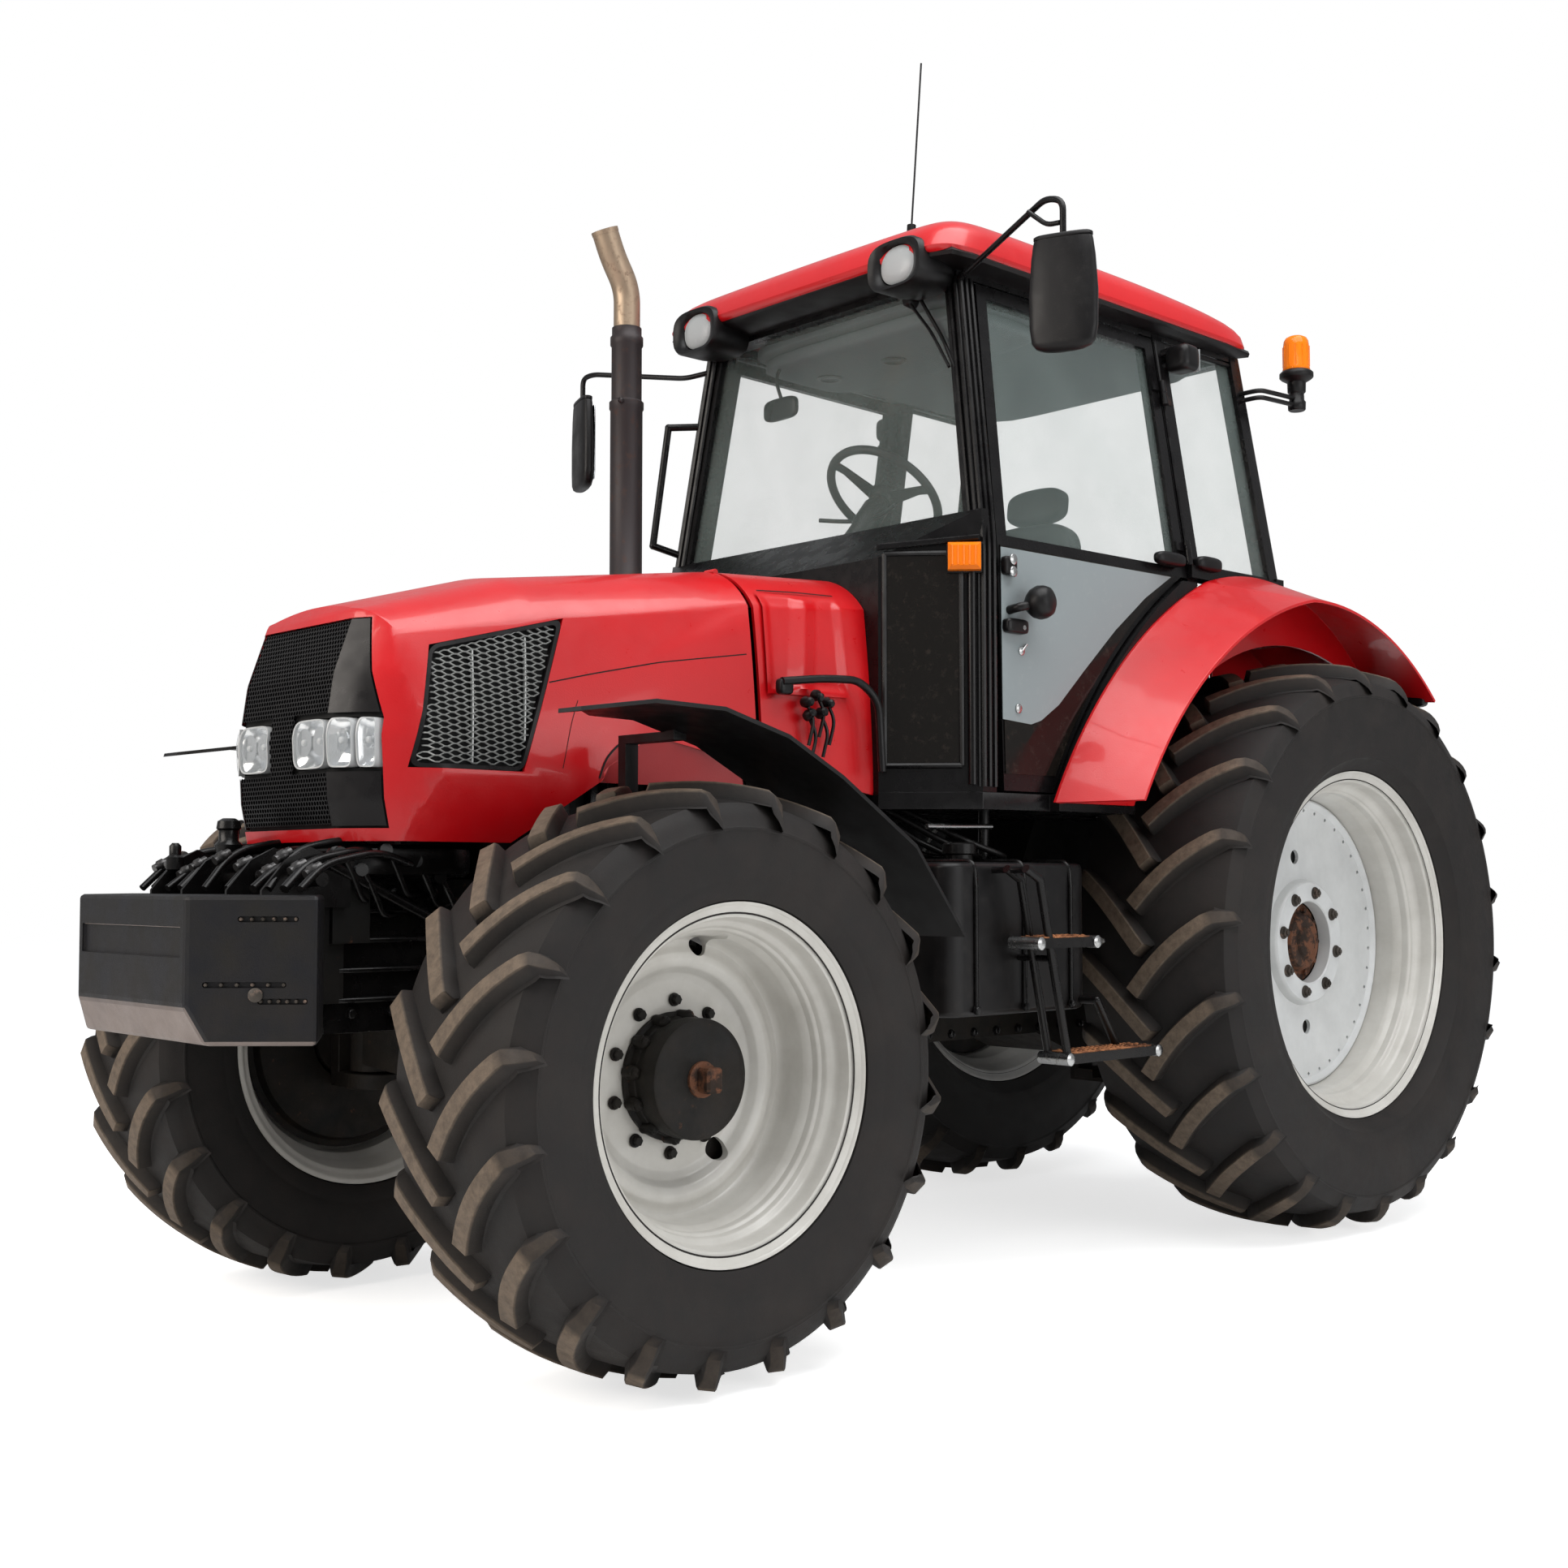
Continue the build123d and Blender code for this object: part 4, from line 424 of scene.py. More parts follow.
def capped(rows, columns):
    """Faces of a tube of rows rings with columns points each, both ends closed."""
    ends = [tuple(range(columns))[::-1], tuple(range((rows - 1) * columns, rows * columns))]
    return grid_faces(rows, columns, False, True) + ends


def lathe(profile, centre, sign, segments=96, closed=True):
    """Turn (outwards, radius) points round a wheel's axle: angle t gives x = r cos t, z = r sin t."""
    profile = np.asarray(profile, float)
    turn = circle(segments)
    across = np.repeat(profile[:, :1], segments, 1)
    radius = np.repeat(profile[:, 1:], segments, 1)
    points = np.stack([centre[0] + radius * np.cos(turn), centre[1] + sign * across,
                       centre[2] + radius * np.sin(turn)], -1)
    return points.reshape(-1, 3), grid_faces(len(profile), segments, closed, True, flip=sign > 0)


def frame_of(direction):
    """Two unit vectors square to a direction."""
    direction = unit(direction)
    helper = np.array((0, 0, 1.0)) if abs(direction[2]) < 0.9 else np.array((1.0, 0, 0))
    first = np.cross(direction, helper)
    first /= np.linalg.norm(first)
    return first, np.cross(direction, first), direction


def rounded(profile, radius, steps=3):
    """A closed or open polyline with its inner corners cut by short arcs."""
    profile = [np.asarray(p, float) for p in profile]
    out = [profile[0]]
    for before, corner, after in zip(profile, profile[1:], profile[2:]):
        cut = min(radius, 0.45 * np.linalg.norm(corner - before), 0.45 * np.linalg.norm(after - corner))
        start = corner + (before - corner) / max(np.linalg.norm(before - corner), 1e-9) * cut
        end = corner + (after - corner) / max(np.linalg.norm(after - corner), 1e-9) * cut
        out += arc(start, corner, end, steps + 1)
    return np.array(out + [profile[-1]])


def spun(form, place, direction, profile, sides=16, finish=0):
    """Add a turned part: profile rows are (along, radius) from place in a direction, ends closed."""
    first, second, along = frame_of(direction)
    turn = circle(sides)
    ring = np.cos(turn)[:, None] * first + np.sin(turn)[:, None] * second
    profile = np.asarray(profile, float)
    points = (np.asarray(place, float) + profile[:, None, :1] * along + profile[:, None, 1:] * ring).reshape(-1, 3)
    form.add(points, capped(len(profile), sides), finish)


def hose(form, route, radius, sides=10, bend=0.04):
    """Add a round pipe along a route whose corners are rounded by bend."""
    route = rounded(route, bend, 5)
    steps = np.gradient(route, axis=0)
    side_way = frame_of(steps[0])[0]
    points = []
    turn = circle(sides)
    for place, step in zip(route, steps):
        along = unit(step)
        side_way = side_way - along * np.dot(side_way, along)
        side_way /= np.linalg.norm(side_way)
        up_way = np.cross(along, side_way)
        points.append(place + radius * (np.cos(turn)[:, None] * side_way + np.sin(turn)[:, None] * up_way))
    form.add(np.concatenate(points), capped(len(route), sides))


def side_hose(form, sign, rows, *size, **more):
    """A pipe on one flank, through rows of station, distance from the middle and height."""
    hose(form, [at(station, sign * y, z) for station, y, z in rows], *size, **more)


def hexagon_bolt(form, place, direction, size, height=None):
    """A hexagon bolt head on its round washer; size is across the flats."""
    height = height or 0.62 * size
    spun(form, place, direction, [(0, 0.72 * size), (0.1 * size, 0.72 * size)], 16)
    radius = size / sqrt(3)
    spun(form, place, direction, [(0.1 * size, radius), (height - 0.08 * size, radius), (height, 0.84 * radius)], 6)


def block(form, low, high, edge=0.004):
    """A box with chamfered edges: every corner becomes three points, one on each face that meets there."""
    low, high = np.asarray(low, float), np.asarray(high, float)
    edge = min(edge, 0.3 * (high - low).min())
    centre, half = (low + high) / 2, (high - low) / 2
    corners = list(product((-1, 1), repeat=3))
    points = [centre + np.array(corner) * (half - edge * (np.arange(3) != axis))
              for corner in corners for axis in range(3)]

    def number(face, sides):
        return 3 * sum(4 >> axis for axis, side in sides.items() if side > 0) + face

    faces = []
    for axis in range(3):
        b, c = (axis + 1) % 3, (axis + 2) % 3
        for end in (-1, 1):
            ring = [number(axis, {axis: end, b: i, c: j}) for i, j in ((-1, -1), (1, -1), (1, 1), (-1, 1))]
            faces.append(tuple(ring[::end]))
        for i, j in product((-1, 1), repeat=2):
            ring = [number(face, {axis: end, b: i, c: j}) for face, end in ((b, -1), (b, 1), (c, 1), (c, -1))]
            faces.append(tuple(ring if i * j < 0 else ring[::-1]))
    for corner in corners:
        ring = [number(axis, dict(enumerate(corner))) for axis in range(3)]
        faces.append(tuple(ring if np.prod(corner) > 0 else ring[::-1]))
    form.add(points, faces)


# ---------------------------------------------------------------- tyres
# One row per axle: lugs on each side, where a lug's nose and elbow lie across the tyre, how far round it
# leans, its height, half its width at the top, and how far the crown falls from middle to shoulder.
TREADS = {
    "front": dict(lugs=20, nose=0.014, elbow=0.205, lean=0.205, height=0.036, half=0.0245, fall=0.020),
    "rear": dict(lugs=22, nose=-0.016, elbow=0.225, lean=0.225, height=0.042, half=0.026, fall=0.026),
}
BEAD = {"front": 0.381, "rear": 0.539}


def carcass(axle, radius, half, rim_half):
    """Half section of the tyre from the crown to the bead: (outwards, radius) points."""
    tread = TREADS[axle]
    base = radius - tread["height"]
    bead = BEAD[axle]
    wall = base - bead
    crown = [(t * tread["elbow"], base - tread["fall"] * t ** 2.2) for t in np.linspace(0, 1, 7)]
    edge = base - tread["fall"]
    side = [(half - 0.020, edge - 0.013), (half - 0.008, edge - 0.032), (half - 0.002, edge - 0.052),
            (half + 0.001, edge - 0.056), (half + 0.001, edge - 0.061), (half - 0.001, edge - 0.064),
            (half, bead + 0.52 * wall), (half - 0.003, bead + 0.40 * wall), (half - 0.009, bead + 0.30 * wall),
            (half - 0.011, bead + 0.285 * wall), (half - 0.011, bead + 0.27 * wall),
            (half - 0.018, bead + 0.20 * wall), (rim_half + 0.010, bead + 0.045), (rim_half + 0.004, bead + 0.033),
            (rim_half - 0.012, bead + 0.031), (rim_half - 0.014, bead + 0.001)]
    return crown + [p for p in side if p[0] > 0]


def lug_path(axle, radius, half):
    """Line of one lug from nose to sidewall: outwards, angle round the tyre, top and foot radius, half width."""
    tread = TREADS[axle]
    rows = []
    for t in np.linspace(0, 1, 9):
        across = tread["nose"] + t * (tread["elbow"] - tread["nose"])
        share = abs(across) / tread["elbow"]
        top = radius - tread["fall"] * share ** 2.2
        sweep = tread["lean"] * (t + 0.07 * sin(pi * t)) / radius
        rows.append([across, sweep, top, top - tread["height"] - 0.004, tread["half"] * (1 - 0.10 * t)])
    edge = rows[-1]
    drops = ((0.35, 0.010, 0.012), (0.68, 0.028, 0.016), (0.9, 0.050, 0.020), (1.0, 0.072, 0.024))
    for t, fall, round_by in drops:
        across = tread["elbow"] + t * (half + 0.004 - tread["elbow"])
        top = edge[2] - fall
        foot = top - tread["height"] * (1 - 0.75 * t) - 0.014 * t
        rows.append([across, edge[1] + round_by / radius, top, foot, tread["half"] * (0.95 - 0.25 * t)])
    return rows


def tyre(axle, hand, sign):
    """Carcass turned round the axle, with two rows of bars that meet as a V pointing down in front."""
    name = f"{axle}_tyre_{hand}"
    low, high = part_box(name)
    centre = (low + high) / 2
    radius, half = (high.z - low.z) / 2, (high.y - low.y) / 2 - 0.004
    rim_low, rim_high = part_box(f"{axle}_rim_{hand}")
    rim_half = (rim_high.y - rim_low.y) / 2
    if axle == "rear":
        rim_half = sign * (rim_high if sign > 0 else rim_low).y - sign * centre.y
    form = Form()
    outline = carcass(axle, radius, half, rim_half)
    outline = [(-a, r) for a, r in reversed(outline[1:])] + outline
    form.add(*lathe(outline, centre, sign, 144, closed=False), mark=0.0)
    rows = np.array(lug_path(axle, radius, half))
    lugs = TREADS[axle]["lugs"]
    # across the bar: offset as a share of its half width, share of its height, wear mark
    section = np.array([(-1.75, 0.0, 0), (-1.35, 0.10, 0), (-1.0, 0.86, 0.1), (-0.84, 1.0, 1), (0.84, 1.0, 1),
                        (1.0, 0.86, 0.1), (1.35, 0.10, 0), (1.75, 0.0, 0)])
    steps = np.gradient(rows[:, :2] * (1, radius), axis=0)
    steps /= np.linalg.norm(steps, axis=1)[:, None]
    for face in (-1, 1):
        for turn in np.arange(lugs) * 2 * pi / lugs + (pi / lugs if face > 0 else 0):
            points, marks = [], []
            for (across, sweep, top, foot, wide), (along_a, along_c) in zip(rows, steps):
                offset = section[:, 0] * wide
                a = face * (across - offset * along_c)
                angle = turn + sweep + offset * along_a / radius
                r = foot + (top - foot) * section[:, 1]
                points.append(np.stack([centre.x + r * np.cos(angle), centre.y + a, centre.z + r * np.sin(angle)], -1))
                fade = 1.0 if across <= TREADS[axle]["elbow"] + 1e-6 else 0.25
                marks.append(section[:, 2] * fade)
            nose = points[0].copy()
            nose_shift = points[0] - points[1]
            nose += nose_shift / np.linalg.norm(nose_shift, axis=1)[:, None] * 0.012
            drop = (rows[0, 2] - rows[0, 3]) * 0.6 * section[:, 1]
            axis_way = nose - np.array((centre.x, 0, centre.z))
            axis_way[:, 1] = 0
            nose -= axis_way / np.linalg.norm(axis_way, axis=1)[:, None] * drop[:, None]
            points.insert(0, nose)
            marks.insert(0, section[:, 2] * 0.2)
            columns = len(section)
            faces = grid_faces(len(points), columns, flip=face < 0)
            ends = [tuple(range(columns)), tuple(range((len(points) - 1) * columns, len(points) * columns))[::-1]]
            faces += [end[::-1] if face < 0 else end for end in ends]
            form.add(np.concatenate(points), faces, mark=np.concatenate(marks))
    form.build(f"{name}_tread", [RUBBER], 30, f"{axle}_wheel_{hand}", "worn", instead_of=name)


for axle in TREADS:
    for hand, sign in SIDES:
        tyre(axle, hand, sign)


# ---------------------------------------------------------------- wheels
def carve(form_object, cutters):
    """Cut the joined shapes of a Form out of an object's mesh."""
    tool = cutters.build("cutter", [], 34)
    modifier = form_object.modifiers.new("carve", "BOOLEAN")
    modifier.object, modifier.operation, modifier.solver = tool, "DIFFERENCE", "EXACT"
    shaped = bpy.data.meshes.new_from_object(form_object.evaluated_get(bpy.context.evaluated_depsgraph_get()))
    form_object.modifiers.clear()
    form_object.data = shaped
    bpy.data.objects.remove(tool)
    shaped.set_sharp_from_angle(angle=radians(34))


FRONT_RIM = [  # outwards, radius: lip, bead seat and steps, barrel, dished disc with its ridge, and back
    (0.205, 0.410), (0.202, 0.404), (0.192, 0.397), (0.187, 0.384), (0.184, 0.374), (0.152, 0.371), (0.140, 0.367),
    (0.130, 0.353), (0.096, 0.345), (0.084, 0.337), (0.070, 0.331), (0.020, 0.330), (0.004, 0.327), (-0.010, 0.318),
    (-0.008, 0.304), (0.000, 0.290), (0.001, 0.274), (-0.008, 0.256), (-0.028, 0.242), (-0.038, 0.222),
    (-0.036, 0.198), (-0.031, 0.165), (-0.031, 0.119), (-0.043, 0.119), (-0.044, 0.165), (-0.050, 0.205),
    (-0.050, 0.228), (-0.036, 0.250), (-0.014, 0.268), (-0.012, 0.290), (-0.022, 0.312), (-0.030, 0.331),
    (-0.095, 0.333), (-0.125, 0.350), (-0.186, 0.371), (-0.192, 0.384), (-0.204, 0.396), (-0.205, 0.410),
    (-0.202, 0.410), (-0.193, 0.386), (-0.140, 0.381), (-0.110, 0.342), (0.110, 0.342), (0.140, 0.381),
    (0.193, 0.386), (0.202, 0.410)]
REAR_RIM = [
    (0.224, 0.568), (0.221, 0.561), (0.209, 0.554), (0.204, 0.541), (0.200, 0.532), (0.162, 0.529), (0.152, 0.523),
    (0.140, 0.508), (0.108, 0.500), (0.092, 0.492), (0.078, 0.487), (0.020, 0.486), (0.004, 0.486), (-0.006, 0.480),
    (-0.006, 0.474), (-0.020, 0.484), (-0.115, 0.488), (-0.150, 0.509), (-0.204, 0.531), (-0.212, 0.545),
    (-0.223, 0.556), (-0.224, 0.568), (-0.221, 0.568), (-0.212, 0.543), (-0.162, 0.539), (-0.129, 0.499),
    (0.129, 0.499), (0.162, 0.539), (0.212, 0.543), (0.221, 0.568)]


def wheel_point(centre, sign, across, radius, turn):
    return (centre.x + radius * cos(turn), centre.y + sign * across, centre.z + radius * sin(turn))


def places(centre, sign, across, radius, count, first=0):
    """Places spaced evenly round an axle, the first at an angle in degrees."""
    return [wheel_point(centre, sign, across, radius, radians(360 / count * step + first)) for step in range(count)]


def front_rim(hand, sign):
    """Rim and dished disc in one, with two round holes."""
    name = f"front_rim_{hand}"
    centre = middle(name)
    form = Form()
    form.add(*lathe(rounded(FRONT_RIM + FRONT_RIM[:1], 0.004, 2)[:-1], centre, sign, 128))
    made = form.build(f"{name}_disc", [CREAM], 40, f"front_wheel_{hand}")
    holes = Form()
    for turn, radius in ((radians(101), 0.312), (radians(-127), 0.228)):
        place = wheel_point(centre, sign, -0.09, radius, turn)
        spun(holes, place, (0, sign, 0), [(0, 0.027), (0.2, 0.027)], 28)
    carve(made, holes)
    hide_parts(name)


def front_hub(hand, sign):
    """Planet carrier with its lugs and bolts, wheel nuts and the square plug."""
    name = f"front_hub_{hand}"
    centre = middle(f"front_rim_{hand}")
    out = (0, sign, 0)
    form = Form()
    drum = [(-0.097, 0.052), (-0.097, 0.108), (-0.060, 0.110), (-0.055, 0.116), (-0.0435, 0.1185), (-0.0305, 0.1185),
            (-0.0295, 0.150), (-0.018, 0.151), (-0.016, 0.141), (0.002, 0.139), (0.005, 0.136), (0.022, 0.136),
            (0.025, 0.140), (0.068, 0.140), (0.073, 0.1385), (0.076, 0.134), (0.0765, 0.120), (0.0755, 0.060),
            (0.0765, 0.045), (0.0765, 0.0), (-0.034, 0.0), (-0.034, 0.052)]
    points, faces = lathe(drum, centre, sign, 96)
    form.add(points, faces)
    for place in places(centre, sign, -0.026, 0.139, 12, 8):         # cast lugs round the planet carrier
        spun(form, place, out, [(0, 0.017), (0.030, 0.017), (0.040, 0.013), (0.046, 0.006)], 12)
    for place in places(centre, sign, 0.006, 0.145, 12, 8):
        hexagon_bolt(form, place, out, 0.017)
    for place in places(centre, sign, -0.031, 0.178, 10, 20):        # wheel nuts on their domed washers
        spun(form, place, out, [(0, 0.016), (0.003, 0.016), (0.006, 0.013)], 16)
    for place in places(centre, sign, -0.027, 0.178, 10, 20):
        hexagon_bolt(form, place, out, 0.021, height=0.014)
    form.build(f"{name}_casting", [IRON], 36, f"front_wheel_{hand}", instead_of=name)
    plug = Form()
    spun(plug, wheel_point(centre, sign, 0.076, 0, 0), out, [(0, 0.042), (0.008, 0.042), (0.012, 0.036)], 24)
    low = np.array(centre) + (-0.023, 0, -0.029)
    high = np.array(centre) + (0.023, 0, 0.029)
    low[1], high[1] = sorted((centre.y + sign * 0.086, centre.y + sign * 0.128))
    block(plug, low, high, edge=0.006)
    plug.build(f"{name}_plug", [RUST], 34, f"front_wheel_{hand}")


def rear_rim(hand, sign):
    """Barrel, bolted disc, wheel nuts and the end of the axle shaft."""
    name = f"rear_rim_{hand}"
    centre = middle(f"rear_tyre_{hand}")
    out = (0, sign, 0)
    form = Form()
    form.add(*lathe(rounded(REAR_RIM + REAR_RIM[:1], 0.004, 2)[:-1], centre, sign, 144))
    form.build(f"{name}_barrel", [CREAM], 40, f"rear_wheel_{hand}", instead_of=name)
    disc = Form()
    profile = [(0.014, 0.483), (0.017, 0.476), (0.013, 0.466), (0.006, 0.458), (0.004, 0.44), (0.004, 0.225),
               (0.010, 0.212), (0.030, 0.206), (0.036, 0.203), (0.040, 0.198), (0.040, 0.140), (0.036, 0.136),
               (0.002, 0.136), (-0.008, 0.136), (-0.008, 0.483)]
    disc.add(*lathe(profile, centre, sign, 144))
    plate = disc.build(f"{name}_plate", [WHITE_DISC], 36, f"rear_wheel_{hand}")
    holes = Form()
    for place in places(centre, sign, -0.05, 0.447, 40, 4):          # small holes near the disc's edge
        spun(holes, place, out, [(0, 0.006), (0.1, 0.006)], 10)
    for place in places(centre, sign, -0.05, 0.288, 2, 84):          # two hand holes
        spun(holes, place, out, [(0, 0.024), (0.15, 0.024)], 24)
    carve(plate, holes)
    nuts = Form()
    for place in places(centre, sign, 0.040, 0.168, 8, 12):          # washer, nut and stud end
        spun(nuts, place, out, [(0, 0.021), (0.003, 0.021), (0.006, 0.017)], 18)
    for place in places(centre, sign, 0.043, 0.168, 8, 12):
        hexagon_bolt(nuts, place, out, 0.027, height=0.013)
    for place in places(centre, sign, 0.055, 0.168, 8, 12):
        spun(nuts, place, out, [(0, 0.008), (0.005, 0.008), (0.007, 0.005)], 10)
    nuts.build(f"{name}_nuts", [NUTS], 36, f"rear_wheel_{hand}")
    end = Form()
    axle = [(-0.203, 0.0), (-0.203, 0.048), (-0.06, 0.048), (-0.05, 0.130), (-0.012, 0.134), (-0.008, 0.118),
            (-0.006, 0.100), (0.010, 0.092), (0.020, 0.086), (0.024, 0.074), (0.022, 0.052), (0.030, 0.046),
            (0.034, 0.030), (0.034, 0.0)]
    end.add(*lathe(axle, centre, sign, 64, closed=False))
    for place in places(centre, sign, -0.006, 0.110, 10):
        hexagon_bolt(end, place, out, 0.018)
    end.build(f"{name}_shaft_end", [RUST], 36, f"rear_wheel_{hand}")


for hand, sign in SIDES:
    front_rim(hand, sign)
    front_hub(hand, sign)
    rear_rim(hand, sign)


# ---------------------------------------------------------------- surfaces to set things on
def surface_of(name):
    """Search tree of a CAD node's faces."""
    mesh = frame["nodes"][name].data
    return BVHTree.FromPolygons([v.co for v in mesh.vertices], [tuple(p.vertices) for p in mesh.polygons])


def landed(tree, start, way):
    """Where a ray from start meets a surface, or None."""
    return tree.ray_cast(Vector(start), Vector(way).normalized())[0]


def inside(point, outline):
    """Whether a point lies in a closed polygon."""
    x, z = point
    odd = False
    for (x0, z0), (x1, z1) in zip(outline, outline[1:] + outline[:1]):
        if (z0 > z) != (z1 > z) and x < (x1 - x0) * (z - z0) / (z1 - z0) + x0:
            odd = not odd
    return odd


def shrunk(outline, by):
    """A convex outline moved in by a distance."""
    centre = np.mean(outline, axis=0)
    out = []
    count = len(outline)
    for i in range(count):
        before, here, after = (np.asarray(outline[(i + k) % count], float) for k in (-1, 0, 1))
        lines = []
        for p, q in ((before, here), (here, after)):
            way = unit(q - p)
            normal = np.array((-way[1], way[0]))
            if np.dot(centre - p, normal) < 0:
                normal = -normal
            lines.append((p + by * normal, way))
        (p, u), (q, v) = lines
        t = np.linalg.solve(np.stack([u, -v], 1), q - p)[0]
        out.append(tuple(p + t * u))
    return out


# ---------------------------------------------------------------- grilles
GRILLE = [(-0.333, 1.270), (-0.333, 1.530), (-0.266, 1.775), (0.266, 1.775), (0.333, 1.530), (0.333, 1.270)]
SIDE_GRILLE = [(0.475, 1.413), (0.406, 1.711), (0.026, 1.809), (0.177, 1.412)]     # ahead of the front axle
LAMP_Z = (1.412, 1.532)
LAMPS = [(0.062, 0.214), (0.218, 0.282), (0.286, 0.326)]
GRILLE_TREE = surface_of("hood_grilles")


def grille_back():
    """The CAD grilles' faces, set back as a near-black sheet, so the open mesh in front has depth: painted shade of the
    hood's inside.
    """
    source = frame["nodes"]["hood_grilles"].data
    points = np.array([v.co for v in source.vertices])
    nose_half, flank_depth, nose_depth = 0.337, 0.016, 0.010
    flank = np.abs(points[:, 1]) > nose_half
    points[flank, 1] -= np.sign(points[flank, 1]) * flank_depth
    points[~flank, 0] -= nose_depth
    form = Form()
    form.add(points, [tuple(p.vertices) for p in source.polygons])
    form.build("grille_backing", [GAP_AND_SHADE_BLACK], 30, "hood", instead_of="hood_grilles")


def nose_x(y, z):
    hit = landed(GRILLE_TREE, (FRONT.x + 1.2, y, z), (-1, 0, 0))
    return None if hit is None else hit.x


def honeycomb():
    """Six-sided cells over the nose between its two plain strips."""
    form = Form()
    pitch, strip, half = 0.0128, 0.212, 0.34
    region = shrunk(GRILLE, 0.009)
    ring = [(cos(pi / 6 + i * pi / 3), sin(pi / 6 + i * pi / 3)) for i in range(6)]
    reach = pitch / sqrt(3)
    row = 0
    z = 1.275
    while z < 1.775:
        y = -half + (row % 2) * pitch / 2
        while y < half:
            beside_lamps = LAMPS[0][0] - 0.009 < abs(y) < 0.349
            clear_of_lamps = not (LAMP_Z[0] - 0.010 < z < LAMP_Z[1] + 0.010 and beside_lamps)
            if abs(y) < strip and inside((y, z), region) and clear_of_lamps:
                centre_x = nose_x(y, z)
                if centre_x is not None:
                    points = []
                    for scale, push in ((1.0, 0.0025), (0.74, 0.0025), (0.70, -0.006)):
                        for cy, cz in ring:
                            py, pz = y + cy * reach * scale, z + cz * reach * scale
                            points.append(((nose_x(py, pz) or centre_x) + push, py, pz))
                    faces = []
                    for level in (0, 1):
                        for i in range(6):
                            j = (i + 1) % 6
                            faces.append((level * 6 + i, level * 6 + j, level * 6 + 6 + j, level * 6 + 6 + i))
                    form.add(points, faces)
            y += pitch
        row += 1
        z += pitch * sqrt(3) / 2
    form.build("nose_honeycomb", [BLACK], 30, "hood")


def strips():
    """Plain glossy strips beside the honeycomb, left open across the lamps."""
    form = Form()
    inner, widest, bend, top = 0.214, 0.330, 1.53, 1.775     # the nose narrows from its bend to its top
    for sign in (-1, 1):
        rows = []
        for z in np.linspace(1.276, 1.772, 40):
            row = []
            for share in np.linspace(0, 1, 8):
                edge = widest if z < bend else widest - (z - bend) / (top - bend) * 0.067
                y = sign * (inner + share * (edge - 0.003 - inner))
                row.append(((nose_x(y, z) or FRONT.x + 0.5) + 0.0028, y, z))
            rows.append(row)
        keep = []
        for i in range(len(rows) - 1):
            middle_z = (rows[i][0][2] + rows[i + 1][0][2]) / 2
            if LAMP_Z[0] - 0.012 < middle_z < LAMP_Z[1] + 0.012:
                continue
            keep += [tuple(i * 8 + a for a in quad) for quad in
                     [(j, j + 1, j + 9, j + 8) if sign > 0 else (j, j + 8, j + 9, j + 1) for j in range(7)]]
        form.add([p for row in rows for p in row], keep)
    form.build("nose_strips", [GLOSS], 50, "hood")


def side_point(sign, ahead, z):
    """Point of the hood's flank grille, or None; ahead is the distance ahead of the front axle."""
    hit = landed(GRILLE_TREE, (FRONT.x + ahead, sign * 0.8, z), (0, -sign, 0))
    return None if hit is None else tuple(hit)


